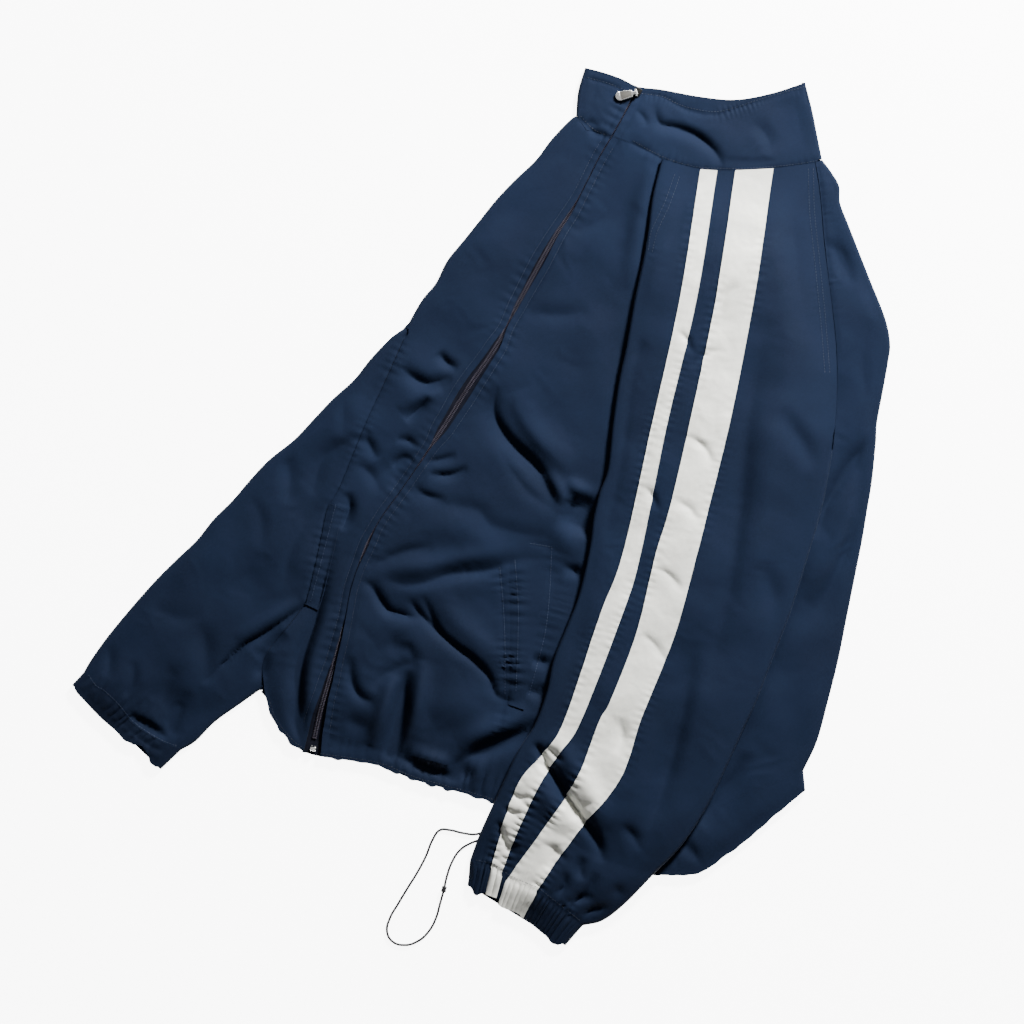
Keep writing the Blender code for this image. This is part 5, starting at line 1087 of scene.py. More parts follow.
def collar_grid(neck_left, neck_right, neck_under):
    """Stand collar: one strip from the zip round both folds and back to the zip."""
    left_edge = smooth(COLLAR_LEFT, COLLAR_STEPS)
    right_edge = smooth(COLLAR_RIGHT, COLLAR_STEPS)
    for edge in (left_edge, right_edge):
        edge[0] += SEAM * directions(edge[:1], edge[1:2])[0]
    shares = np.linspace(ZIP_AT_NECK, 0, COLLAR_STEPS)
    zip_left, zip_right = zip_edge(shares, -1), zip_edge(shares, 1)
    left_roll = rolled_edge(left_edge, directions(left_edge, zip_left))
    right_roll = rolled_edge(right_edge, directions(right_edge, zip_right))[:, ::-1]
    short, long = COLLAR_COLUMNS
    left_top = smooth(COLLAR_TOP, short, 0, COLLAR_AT_ZIP)
    right_top = smooth(COLLAR_TOP, long, COLLAR_AT_ZIP, 1)
    under_top = smooth(COLLAR_TOP, len(neck_under))
    left_run = collar_run(spaced(neck_left, short), left_top, left_roll[:, 0, :2], zip_left)
    right_run = collar_run(spaced(neck_right, long), right_top, zip_right, right_roll[:, -1, :2])
    under_run = collar_run(neck_under, under_top, left_roll[:, -1, :2], right_roll[:, 0, :2])
    return np.concatenate([
        at_height(left_run, body_top)[:, ::-1], left_roll[:, 1:-1], at_height(under_run, UNDER_MIDDLE),
        right_roll[:, 1:-1], at_height(right_run, body_top)[:, ::-1]], axis=1)


def band_rings(inner, outer, shown, gap=0.04):
    """Rings of a hem band, from a panel's last row to the hem's edge."""
    away = directions(inner[:, :2], outer)
    rings = []
    for step in np.linspace(0, 1, HEM_RINGS):
        plan = inner[:, :2] * (1 - step) + outer * step + away * gap * (1 - step)
        rough = np.interp(plan[:, 0], *HEM_ROUGHNESS) * shown
        plan = plan + away * (rough * drift(plan, 15, 31) * step)[:, None]
        level = body_top(plan) if shown else np.full(len(plan), UNDER_MIDDLE)
        if shown and step == 0:
            level = inner[:, 2]
        rings.append(np.column_stack([plan, level]))
    return np.stack(rings)


def back_hem_grid(back_top, back_under):
    """The back's length of the hem band: the part on top, round the fold, and along underneath."""
    inner = spaced(back_top[-1], BACK_HEM_COLUMNS[0])
    outer = smooth(HEM_EDGE, len(inner), HEM_AT_SIDE_SEAM, 1)
    corner = smooth(HEM_EDGE, 1, 1, 1)
    corner_in = directions(corner, smooth(HEM_EDGE, 1, 0.94, 0.94))
    outer_roll = rolled_edge(corner, corner_in)[0]
    near_corner = ease((np.linspace(0, 1, len(inner)) - 0.975) / 0.025)[:, None]
    outer = outer * (1 - near_corner) + outer_roll[0, :2] * near_corner
    side = directions(smooth(HEM_EDGE, 1, HEM_AT_SIDE_SEAM, HEM_AT_SIDE_SEAM), outer[4:5])[0]
    outer[0] += side * SEAM
    top = band_rings(inner, outer, True)
    low_inner = spaced(back_under[-1], BACK_HEM_COLUMNS[1])
    low_outer = smooth(HEM_EDGE, len(low_inner))[::-1].copy()
    low_outer[0] = outer_roll[-1, :2]
    under = band_rings(low_inner, low_outer, False, 2 * SEAM)
    ends = np.stack([top[:, -1], under[:, 0]], axis=1)
    inner_in = -directions(np.array([BACK_FOLD_LOW[-1]], float), top[0, -1:, :2])[0]
    angle = np.linspace(math.pi / 2, -math.pi / 2, ARC_STEPS + 1)
    rolls = []
    for ring, share in enumerate(np.linspace(0, 1, HEM_RINGS)):
        outward = unit(inner_in * (1 - share) - corner_in[0] * share)
        half = (ends[ring, 0, 2] - ends[ring, 1, 2]) / 2
        middle = ends[ring, 0, :2] * (0.5 + 0.5 * np.sin(angle))[:, None]
        middle = middle + ends[ring, 1, :2] * (0.5 - 0.5 * np.sin(angle))[:, None]
        plan = middle + np.outer(np.cos(angle), outward) * FLAT_FOLD
        rolls.append(np.column_stack([plan, ends[ring, 1, 2] + half + half * np.sin(angle)]))
    return np.concatenate([top[:, :-1], np.stack(rolls), under[:, 1:]], axis=1)


# ---- finishes


class Wire:
    """A shader socket that takes part in arithmetic; each operation adds a Math node."""

    def __init__(self, finish, socket):
        self.finish, self.socket = finish, socket

    def maths(self, operation, first, second=0.0, clamp=False):
        return self.finish.add("ShaderNodeMath", {0: first, 1: second}, operation=operation, use_clamp=clamp)

    def __add__(self, other):
        return self.maths("ADD", self, other)

    def __sub__(self, other):
        return self.maths("SUBTRACT", self, other)

    def __rsub__(self, other):
        return self.maths("SUBTRACT", other, self)

    def __mul__(self, other):
        return self.maths("MULTIPLY", self, other)

    def __truediv__(self, other):
        return self.maths("DIVIDE", self, other)

    __radd__ = __add__
    __rmul__ = __mul__

    def __rtruediv__(self, other):
        return self.maths("DIVIDE", other, self)

    def clamped(self):
        return self.maths("ADD", self, clamp=True)

    def wave(self):
        return self.maths("SINE", self)


def feed(tree, socket, value):
    """Give a node's socket a value, or a link from a wire, a socket or a node's first output."""
    value = getattr(value, "socket", value)
    if isinstance(value, bpy.types.Node):
        value = value.outputs[0]
    if isinstance(value, bpy.types.NodeSocket):
        tree.links.new(value, socket)
    elif socket.type == "RGBA":
        socket.default_value = (*value[:3], 1)
    else:
        socket.default_value = value


def add_node(tree, kind, sockets=None, **settings):
    """A node: its settings first, then values or links for its sockets by name or number."""
    node = tree.nodes.new(kind)
    for setting, value in settings.items():
        setattr(node, setting, value)
    for key, value in (sockets or {}).items():
        feed(tree, node.inputs[key], value)
    return node


class Finish:
    """A procedural material and the nodes that feed its shader."""

    def __init__(self, name, colour, roughness=0.5, metallic=0.0, gloss=0.5, **constants):
        self.material = bpy.data.materials.new(name)
        self.material.use_nodes = True
        self.tree = self.material.node_tree
        self.colour = colour
        self.give({"Base Color": colour, "Roughness": roughness, "Metallic": metallic})
        self.give({"Specular IOR Level": gloss})
        self.give({socket.replace("_", " ").title(): value for socket, value in constants.items()})
        self.flat = self.add("ShaderNodeUVMap", uv_map="flat")
        self.body = self.add("ShaderNodeTexCoord", out="Object")

    def give(self, sockets):
        """Feed the shader's own sockets, by name."""
        for name, value in sockets.items():
            feed(self.tree, self.tree.nodes["Principled BSDF"].inputs[name], value)

    def add(self, kind, sockets=None, out=0, **settings):
        """One output of a new node."""
        return Wire(self, add_node(self.tree, kind, sockets, **settings).outputs[out])

    def noise(self, place_at, scale, detail=3.0, rough=0.6, distortion=0.0):
        return self.add("ShaderNodeTexNoise", {
            "Vector": place_at, "Scale": scale, "Detail": detail, "Roughness": rough,
            "Distortion": distortion})

    def clouds(self, place_at, scale, detail=3.0, rough=0.6, low=0.3, high=0.7, distortion=0.0):
        """Noise stretched to 0 to 1 between two of its levels."""
        return ((self.noise(place_at, scale, detail, rough, distortion) - low) / (high - low)).clamped()

    def stretched(self, place_at, scales):
        return self.add("ShaderNodeMapping", {0: place_at, 3: scales})

    def blend(self, first, second, share):
        """One colour turning into another; a number stands for so much of the finish's own colour."""
        ends = {key: shade(self.colour, end) if isinstance(end, float) else end
                for key, end in ((6, first), (7, second))}
        return self.add(
            "ShaderNodeMix", {"Factor": share, **ends}, out=2, data_type="RGBA", clamp_factor=True)

    def bumped(self, height, strength, distance, under=None):
        sockets = {"Height": height, "Strength": strength, "Distance": distance}
        if under is not None:
            sockets["Normal"] = under
        return self.add("ShaderNodeBump", sockets)

    def threads(self, pitch, twill=0.0):
        """Height of crossing threads: sines across and along the cloth, from its own flat coordinates."""
        across, along = (self.add("ShaderNodeSeparateXYZ", {0: self.flat}, out=axis) for axis in (0, 1))
        pace = 2 * math.pi / pitch
        return (across * pace + along * (pace * twill)).wave(), (along * pace).wave()

    def done(self, colour, roughness, normal):
        """The material, with what changes over its surface."""
        self.give({"Base Color": colour, "Roughness": roughness, "Normal": normal})
        return self.material


def shade(colour, factor):
    return tuple(channel * factor for channel in colour[:3])


def nylon(name, colour, slack=1.0):
    """Matte plain-woven nylon: fine weave, faint pile-like sheen, slow changes of depth and soft wrinkles."""
    cloth = Finish(name, colour, gloss=0.06, sheen_weight=0.02, sheen_roughness=0.4, sheen_tint=SHEEN)
    slow = cloth.clouds(cloth.body, 9.0, 4.0, 0.55)
    fleck = cloth.clouds(cloth.flat, 900.0, 2.0, 0.6, 0.25, 0.75)
    slub = cloth.clouds(cloth.stretched(cloth.flat, (240.0, 2200.0, 1.0)), 1.0, 2.0, 0.5)
    mottle = cloth.clouds(cloth.body, 420.0, 3.0, 0.65)
    worn = cloth.blend(cloth.blend(0.78, 1.12, slow), 1.5, fleck * slub * 0.5 + mottle * 0.16)
    warp, weft = cloth.threads(bpy.context.scene.jacket_sizes.thread_pitch / 1000)
    fine = cloth.bumped(warp * weft, 0.22, 0.00012)
    soft = cloth.bumped(cloth.noise(cloth.body, 60.0, 4.0, 0.6, 0.6), 0.12 * slack, 0.0012, fine)
    return cloth.done(worn, 0.68 + slow * 0.1 + fleck * 0.12, soft)


def satin(name, colour):
    """Off-white woven satin: diagonal threads, soft gloss, and slight grey clouds of painted shade."""
    cloth = Finish(name, colour, sheen_weight=0.08)
    # Random grey clouds darken the satin's colour as painted shade, standing in for the shading of its
    # wrinkles.
    shade_cloud = cloth.clouds(cloth.body, 26.0, 4.0, 0.6, 0.35, 0.7, 0.4)
    fibre = cloth.clouds(cloth.stretched(cloth.flat, (300.0, 2600.0, 1.0)), 1.0, 2.0, 0.5)
    tone = cloth.blend(cloth.blend(0.78, 1.0, shade_cloud), 1.06, fibre * 0.5)
    warp, weft = cloth.threads(0.0007, 0.6)
    fine = cloth.bumped(warp + weft * 0.4, 0.18, 0.0001)
    soft = cloth.bumped(cloth.noise(cloth.body, 42.0, 2.5, 0.5, 0.2), 0.6, 0.0026, fine)
    return cloth.done(tone, 0.36 + shade_cloud * 0.1 + fibre * 0.06, soft)


def metal(name, colour, roughness, brushed=0.06):
    """Plated zinc with fine brushing and rubbed edges."""
    plate = Finish(name, colour, metallic=1.0)
    brush = plate.noise(plate.stretched(plate.body, (500.0, 5200.0, 900.0)), 1.0, 2.0)
    mottle = plate.clouds(plate.body, 900.0)
    rough = roughness - 0.04 + mottle * 0.1 + brush * brushed
    grain = plate.bumped(brush + mottle * 0.5, 0.12, 0.00008)
    return plate.done(plate.blend(0.82, 1.0, mottle), rough, grain)


def moulded(name, colour):
    """Moulded nylon: smooth with a low gloss, slightly mottled."""
    coil = Finish(name, colour, gloss=0.2)
    speck = coil.clouds(coil.body, 1400.0, 2.0)
    slow = coil.clouds(coil.body, 40.0, 2.0)
    tone = coil.blend(0.7, 1.5, speck * 0.5 + slow * 0.5)
    return coil.done(tone, 0.45 + speck * 0.2, coil.bumped(speck, 0.15, 0.00006))


def ribbed(name, colour):
    """Zip tape: tight rows of knitted ribs along the chain."""
    tape = Finish(name, colour, gloss=0.08)
    warp, weft = tape.threads(0.0011)
    fleck = tape.clouds(tape.flat, 700.0, 2.0)
    tone = tape.blend(0.55, 1.5, ((warp + 1.0) * 0.5).clamped() * 0.6 + fleck * 0.4)
    return tape.done(tone, 0.62 + fleck * 0.2, tape.bumped(warp + weft * 0.5, 0.35, 0.00018))


def braided(name, colour):
    """Braided elastic: crossing strands round a thin cord."""
    braid = Finish(name, colour, gloss=0.4)
    cell = braid.add("ShaderNodeTexVoronoi", {"Vector": braid.body, "Scale": 1500.0})
    fuzz = braid.clouds(braid.body, 700.0)
    return braid.done(braid.blend(0.6, 2.4, fuzz * 0.6), 0.45 + fuzz * 0.25, braid.bumped(cell, 0.4, 0.0002))


def twisted(name, colour, gloss=0.55):
    """Twisted sewing thread."""
    twist = Finish(name, colour, gloss=0.4)
    strand = twist.clouds(twist.body, 2200.0, 2.0)
    rough = gloss - 0.08 + strand * 0.16
    return twist.done(twist.blend(0.72, 1.15, strand), rough, twist.bumped(strand, 0.3, 0.00008))


def paper(name, colour):
    """Plain matte paper backdrop."""
    sheet = Finish(name, colour, 0.9, gloss=0.1, emission_strength=9.0, emission_color=colour)
    sheet.give({"Base Color": sheet.blend(0.985, 1.0, sheet.clouds(sheet.body, 300.0))})
    return sheet.material


MADE = {}


def finish_of(kind):
    """Each finish is made once and shared by its pieces."""
    colours = bpy.context.scene.jacket_colours
    makers = {
        "navy": (nylon, "navy nylon", colours.navy),
        "navy band painted shade": (nylon, "navy nylon band", shade(colours.navy, 0.78), 1.2),
        # The cuff bands' nylon is darkened to 0.78 of the navy: painted shade for the gathered cuffs.
        "stripe": (satin, "stripe satin", colours.stripe),
        "coil": (moulded, "zip coil nylon", colours.coil),
        "tape": (ribbed, "zip tape weave", colours.tape),
        "silver": (metal, "slider nickel", colours.metal, 0.24),
        # The slider body's metal is darkened to near black: painted shade where it lies under the bridge and
        # tab.
        "painted shade metal": (metal, "slider body dark plate", shade(colours.metal, 0.025), 0.45),
        "inset": (metal, "tab inset satin", colours.inset, 0.52, 0.16),
        "elastic": (braided, "elastic cord braid", colours.cord),
        "bead": (moulded, "bead plastic", colours.cord),
        "thread": (twisted, "navy thread", colours.thread),
        "grey thread": (twisted, "grey thread", [2 * part + 0.002 for part in colours.thread]),
        "pale thread": (twisted, "off-white thread", colours.stripe, 0.5),
        "floor": (paper, "backdrop paper", colours.floor),
    }
    if kind not in MADE:
        maker, *values = makers[kind]
        MADE[kind] = maker(*values)
    return MADE[kind]


# ---- making pieces
SURFACES = {}
UPPERS = {}
CLOTH_SLOTS = {"navy": "navy_cloth", "navy band painted shade": "navy_cloth", "stripe": "stripe_cloth", "tape": "zip_coil"}
ALONG_INPUTS = ("Spacing", "Length", "Width", "Height", "Sideways")
# Where lines drop from, how level the cloth must be under them, and the step that breaks them, metres
DROP_FROM = 0.2
LEAST_LEVEL = 0.15
LONGEST_GAP = 0.006
# The least area that a sheet may state, as a share of its flat box
LEAST_SHARE = 0.301


def place(name, mesh, kind):
    """Put a mesh or curve in the scene as a named piece."""
    piece = bpy.data.objects.new(name, mesh)
    bpy.context.scene.collection.objects.link(piece)
    mesh.materials.append(finish_of(kind))
    return piece


def settle(piece):
    """Turn a piece's modifiers into its mesh."""
    depsgraph = bpy.context.evaluated_depsgraph_get()
    mesh = bpy.data.meshes.new_from_object(piece.evaluated_get(depsgraph))
    bare = piece.data
    piece.modifiers.clear()
    piece.data = mesh
    bpy.data.meshes.remove(bare)
    mesh.name = piece.name
    return piece


def cloth(name, grid, kind, wall=WALL, closed_rows=0, keep=None):
    """A wall of cloth round a grid of points; closed_rows rows of it run on round as a tube."""
    rows, columns = grid.shape[:2]
    world = to_world(grid)
    i, j = np.meshgrid(np.arange(rows - 1), np.arange(columns), indexing="ij")
    wanted = (j < columns - 1) | (i < closed_rows)
    if keep is not None:
        wanted &= keep(i, j)
    i, j = i[wanted], j[wanted]
    k = (j + 1) % columns
    quads = np.stack([i * columns + j, i * columns + k, (i + 1) * columns + k, (i + 1) * columns + j], 1)
    wide = np.linalg.norm(np.diff(np.concatenate([world, world[:, :1]], axis=1), axis=1), axis=2)
    across = np.concatenate([np.zeros((rows, 1)), np.cumsum(wide, axis=1)], axis=1)
    across = across - across[:, columns // 2:columns // 2 + 1]
    tall = np.linalg.norm(np.diff(world, axis=0), axis=2)
    along = np.concatenate([[0], np.cumsum(tall.mean(1))])
    corners = [(i, j), (i, j + 1), (i + 1, j + 1), (i + 1, j)]
    flat = np.stack([np.stack([across[a, b], along[a]], 1) for a, b in corners], 1)
    points = world.reshape(-1, 3)
    used, renumbered = np.unique(quads, return_inverse=True)
    quads = renumbered.reshape(-1, 4)
    mesh = bpy.data.meshes.new(name)
    mesh.from_pydata(points[used].tolist(), [], quads.tolist())
    mesh.uv_layers.new(name="flat").data.foreach_set("uv", flat.reshape(-1, 2).astype(np.float32).ravel())
    mesh.shade_smooth()
    piece = place(name, mesh, kind)
    thicken = piece.modifiers.new("wall", "SOLIDIFY")
    thicken.thickness = wall / 1000
    thicken.offset = 0.0
    thicken.use_quality_normals = True
    settle(piece)
    piece.data.set_sharp_from_angle(angle=math.radians(55))
    a, b, c, d = (points[used][quads[:, n]] for n in range(4))
    area = sum(np.linalg.norm(np.cross(b - corner, d - corner), axis=1).sum() for corner in (a, c)) / 2
    shown = np.zeros((rows - 1, columns), bool)
    shown[i, j] = True
    return piece, (wide[:-1] * shown).sum(1).max(), (tall * shown).sum(0).max(), area


def belongs(piece, body, slot, *nodes):
    """A finished piece rides on its body and takes the place of its solids."""
    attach(piece, body)
    if nodes:
        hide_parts(*nodes)
    return piece


def cloth_piece(name, nodes, grid, rests_on, kind="navy", with_pieces=(), held="laid", **shape):
    """A cloth panel that takes its solid's place; its flat size and area are worked out and not used."""
    piece, width, length, area = cloth(name, grid, kind, **shape)
    belongs(piece, "jacket", CLOTH_SLOTS[kind], *nodes)
    area = round(max(area, LEAST_SHARE * width * length), 5)
    flat = (round(width, 3), round(length, 3))
    area = min(area, 0.999 * flat[0] * flat[1])
    return piece


def surface_of(*pieces):
    """Something to drop points onto, made from the pieces' meshes."""
    points, faces = [], []
    for piece in pieces:
        start = len(points)
        points.extend(tuple(v.co) for v in piece.data.vertices)
        faces.extend(tuple(start + k for k in face.vertices) for face in piece.data.polygons)
    return BVHTree.FromPolygons(points, faces)


def runs_of(lines, surface, lift=0.12):
    """Lines dropped onto a surface, lift mm above it, and broken where they step down or miss."""
    runs = []
    for line in lines:
        run = []
        for x, y, _ in to_world(np.column_stack([line, np.zeros(len(line))])):
            hit, normal, _, _ = surface.ray_cast(Vector((x, y, DROP_FROM)), Vector((0, 0, -1)))
            if hit is None or normal.z < LEAST_LEVEL:
                continue
            spot = hit + normal * lift / 1000
            if run and (spot - run[-1][0]).length > LONGEST_GAP:
                runs.append(run)
                run = []
            run.append((spot, normal))
        runs.append(run)
    return [run for run in runs if len(run) > 3]


def line_mesh(name, runs):
    """Runs of points as loose edges, with the surface's normal kept on each point."""
    points, normals, edges = [], [], []
    for run in runs:
        start = len(points)
        points.extend(tuple(p) for p, _ in run)
        normals.extend(tuple(n) for _, n in run)
        edges.extend((start + k, start + k + 1) for k in range(len(run) - 1))
    mesh = bpy.data.meshes.new(name)
    mesh.from_pydata(points, edges, [])
    kept = mesh.attributes.new("lie", "FLOAT_VECTOR", "POINT")
    kept.data.foreach_set("vector", np.array(normals, np.float32).ravel())
    return mesh


def along_tree(name, kind, rings):
    """Node tree: small shapes at even steps along lines, lying on the surface under them."""
    tree = bpy.data.node_groups.new(name, "GeometryNodeTree")
    tree.interface.new_socket("Geometry", in_out="INPUT", socket_type="NodeSocketGeometry")
    for label in ALONG_INPUTS:
        tree.interface.new_socket(label, in_out="INPUT", socket_type="NodeSocketFloat")
    tree.interface.new_socket("Geometry", in_out="OUTPUT", socket_type="NodeSocketGeometry")

    node = partial(add_node, tree)
    given = node("NodeGroupInput").outputs
    lines = node("GeometryNodeMeshToCurve", {"Mesh": given["Geometry"]})
    even = node("GeometryNodeResampleCurve", {"Curve": lines, "Length": given["Spacing"]}, mode="LENGTH")
    lie = node("GeometryNodeInputNamedAttribute", {"Name": "lie"}, data_type="FLOAT_VECTOR")
    turned = node("FunctionNodeAlignRotationToVector", {"Vector": node("GeometryNodeInputTangent")}, axis="X")
    laid = node(
        "FunctionNodeAlignRotationToVector", {"Rotation": turned, "Vector": lie}, axis="Z", pivot_axis="X")
    size = node("ShaderNodeCombineXYZ", {0: given["Length"], 1: given["Width"], 2: given["Height"]})
    bead = node("GeometryNodeMeshUVSphere", {"Segments": 6, "Rings": rings, "Radius": 0.5})
    offset = node("ShaderNodeCombineXYZ", {0: 0.0, 1: given["Sideways"], 2: 0.0})
    shaped = node("GeometryNodeTransform", {"Geometry": bead, "Scale": size})
    moved = node("GeometryNodeTransform", {"Geometry": shaped, "Translation": offset})
    smoothed = node("GeometryNodeSetShadeSmooth", {"Geometry": moved})
    placed = node("GeometryNodeInstanceOnPoints", {"Points": even, "Instance": smoothed, "Rotation": laid})
    real = node("GeometryNodeRealizeInstances", {"Geometry": placed})
    dressed = node("GeometryNodeSetMaterial", {"Geometry": real, "Material": finish_of(kind)})
    node("NodeGroupOutput", {0: dressed})
    return tree


def shapes_along(name, runs, kind, slot, sizes, nodes=(), rings=4):
    """A piece of small shapes along lines; sizes are spacing, length, width, height, sideways in mm."""
    piece = place(name, line_mesh(name, runs), kind)
    step = piece.modifiers.new("along", "NODES")
    step.node_group = along_tree(name, kind, rings)
    inputs = [item for item in step.node_group.interface.items_tree if item.in_out == "INPUT"]
    for item in inputs:
        if item.name in ALONG_INPUTS:
            step[item.identifier] = sizes[ALONG_INPUTS.index(item.name)] / 1000
    settle(piece)
    if not len(piece.data.polygons):
        raise RuntimeError(f"{name} has no shapes on it")
    return belongs(piece, "jacket", slot, *nodes)


def solid_from(shape, name, kind):
    """A bmesh shape as a finished piece with its normals outward."""
    bmesh.ops.remove_doubles(shape, verts=shape.verts, dist=1e-7)
    bmesh.ops.recalc_face_normals(shape, faces=shape.faces)
    mesh = bpy.data.meshes.new(name)
    shape.to_mesh(mesh)
    shape.free()
    mesh.shade_smooth()
    mesh.set_sharp_from_angle(angle=math.radians(40))
    return place(name, mesh, kind)


def level_edges(verts):
    """The edges of these points that lie level."""
    edges = {edge for vert in verts for edge in vert.link_edges}
    return [edge for edge in edges if abs(edge.verts[0].co.z - edge.verts[1].co.z) < 1e-9]


def add_plate(shape, outline, low, high, bevel, turn):
    """Add a plate with the given outline (mm) between two heights, its rims rounded, placed by a matrix."""
    verts = [shape.verts.new((x / 1000, y / 1000, low / 1000)) for x, y in outline]
    grown = bmesh.ops.extrude_face_region(shape, geom=[shape.faces.new(verts)])
    lifted = [item for item in grown["geom"] if isinstance(item, bmesh.types.BMVert)]
    bmesh.ops.translate(shape, vec=(0, 0, (high - low) / 1000), verts=lifted)
    verts += lifted
    made = bmesh.ops.bevel(
        shape, geom=level_edges(verts), offset=bevel / 1000, segments=3, profile=0.6, affect="EDGES",
        clamp_overlap=True)
    verts = list({vert for vert in verts if vert.is_valid} | set(made["verts"]))
    bmesh.ops.transform(shape, matrix=turn, verts=verts)


def block(left, low, right, high):
    """Corners of an oblong."""
    return [(left, low), (right, low), (right, high), (left, high)]


def add_turned(shape, profile, sides, turn):
    """Add a profile (radius, level in mm) turned once round its own Z, placed by a matrix."""
    round_once = [(math.cos(a), math.sin(a)) for a in np.linspace(0, 2 * math.pi, sides, endpoint=False)]
    rings = [[shape.verts.new(turn @ (Vector((radius * x, radius * y, level)) / 1000)) for x, y in round_once]
             for radius, level in profile]
    for first, second in zip(rings, rings[1:] + rings[:1]):
        for k in range(sides):
            shape.faces.new((first[k], first[(k + 1) % sides], second[(k + 1) % sides], second[k]))


def standing(place_at, way):
    """A matrix at a place, with its Z along a way."""
    return Matrix.Translation(place_at) @ Vector(way).to_track_quat("Z", "Y").to_matrix().to_4x4()


def framed(place_at, *axes):
    """A matrix at a place, with its X, Y and Z along three ways."""
    return Matrix.Translation(place_at) @ Matrix(axes).transposed().to_4x4()


# ---- sizes and colours to change


class JacketSizes(bpy.types.PropertyGroup):
    """Sizes of the cloth's creases, seams and stitches."""

    crease_depth: FloatProperty(
        name="Crease depth", description="Depth of the hand-placed creases, 1 as worn",
        default=1.0, min=0, max=2)
    slack: FloatProperty(
        name="Slack", description="How far the cloth wanders between its creases, 1 as worn",
        default=1.0, min=0, max=3)
    pucker_height: FloatProperty(
        name="Pucker height", description="Height of the puckers along stitched seams",
        default=1.0, min=0, max=2)
    thread_pitch: FloatProperty(
        name="Thread pitch", description="Width of one thread of the nylon, mm", default=0.55, min=0.2, max=2)
    stitch_length: FloatProperty(
        name="Stitch length", description="Length of one stitch, mm", default=2.3, min=1, max=5)
    stitch_spacing: FloatProperty(
        name="Stitch spacing", description="Start of one stitch to the next, mm", default=3.0, min=1.5, max=6)
    stitch_width: FloatProperty(
        name="Thread width", description="Width of the sewing thread, mm", default=0.5, min=0.2, max=1)
    tooth_pitch: FloatProperty(
        name="Tooth pitch", description="One coil of the zip to the next, mm", default=1.7, min=1, max=3)
    tooth_width: FloatProperty(
        name="Tooth width", description="Width of one coil across the zip, mm", default=2.9, min=1, max=4)


class JacketColours(bpy.types.PropertyGroup):
    """Colours of the jacket's cloth and trim."""

    navy: FloatVectorProperty(
        name="Navy", description="Nylon of the panels", subtype="COLOR",
        default=(0.0050, 0.0094, 0.0228))
    stripe: FloatVectorProperty(
        name="Stripe", description="Satin of the stripes", subtype="COLOR",
        default=(0.80, 0.80, 0.735))
    coil: FloatVectorProperty(
        name="Coil", description="Coil of the zip", subtype="COLOR",
        default=(0.020, 0.016, 0.025))
    tape: FloatVectorProperty(
        name="Tape", description="Tape of the zip", subtype="COLOR",
        default=(0.0026, 0.0032, 0.0075))
    metal: FloatVectorProperty(
        name="Metal", description="Slider, tab and box", subtype="COLOR",
        default=(0.82, 0.82, 0.81))
    inset: FloatVectorProperty(
        name="Inset", description="Flat middle of the tab", subtype="COLOR",
        default=(0.19, 0.182, 0.165))
    cord: FloatVectorProperty(
        name="Cord", description="Elastic cord and bead", subtype="COLOR",
        default=(0.012, 0.012, 0.014))
    thread: FloatVectorProperty(
        name="Thread", description="Navy topstitching", subtype="COLOR",
        default=(0.0085, 0.0145, 0.032))
    floor: FloatVectorProperty(
        name="Backdrop", description="Paper under the jacket", subtype="COLOR",
        default=(0.86, 0.86, 0.86))


class StageSizes(bpy.types.PropertyGroup):
    """The table, lights and camera."""

    table_width: FloatProperty(
        name="Table width", description="Width of the paper under the jacket", default=6.0, unit="LENGTH")
    view_width: FloatProperty(
        name="View width", description="Width of the picture on the table", default=1.024, unit="LENGTH")
    camera_height: FloatProperty(
        name="Camera height", description="Camera above the table", default=6.0, unit="LENGTH")
    key_watts: FloatProperty(
        name="Key light", description="Low light from the far right", default=270.0, unit="POWER")
    fill_watts: FloatProperty(
        name="Fill light", description="Wide light from above", default=9.0, unit="POWER")
    sky: FloatProperty(name="Sky", description="Even light from all round", default=0.07)


# ---- operators
STRIPE_LIFT = WALL / 2 + STRIPE_GAP + STRIPE_WALL / 2
STRIPE_PAST_MOUTH = 0.9
# Where the zip begins, as a share of its line, and the thread that holds its coils: how far out from
# the middle, how far down in the cloth, and its stitches' spacing, length, width, height, sideways
ZIP_FROM = 0.004
COIL_THREAD_OUT = 1.15
COIL_THREAD_DEPTH = CHAIN_DEPTH - 0.62
COIL_THREAD = (2.0, 1.9, 0.42, 0.34, 0.0)
# The table's level and the slider's pin, metres
TABLE_LEVEL = -0.0002
PIN_RADIUS = 0.00078
PIN_LENGTH = 0.007
# The cuffs' ripples: how many, their height, and the seed of their unevenness
RIGHT_CUFF_RIPPLES = (9, 0.6, 3)
LEFT_CUFF_RIPPLES = (24, 2.3, 4)
# Each light's width and place, metres
KEY_LIGHT = (0.5, (1.16, 1.80, 1.18))
FILL_LIGHT = (2.6, (-0.2, 0.3, 2.6))


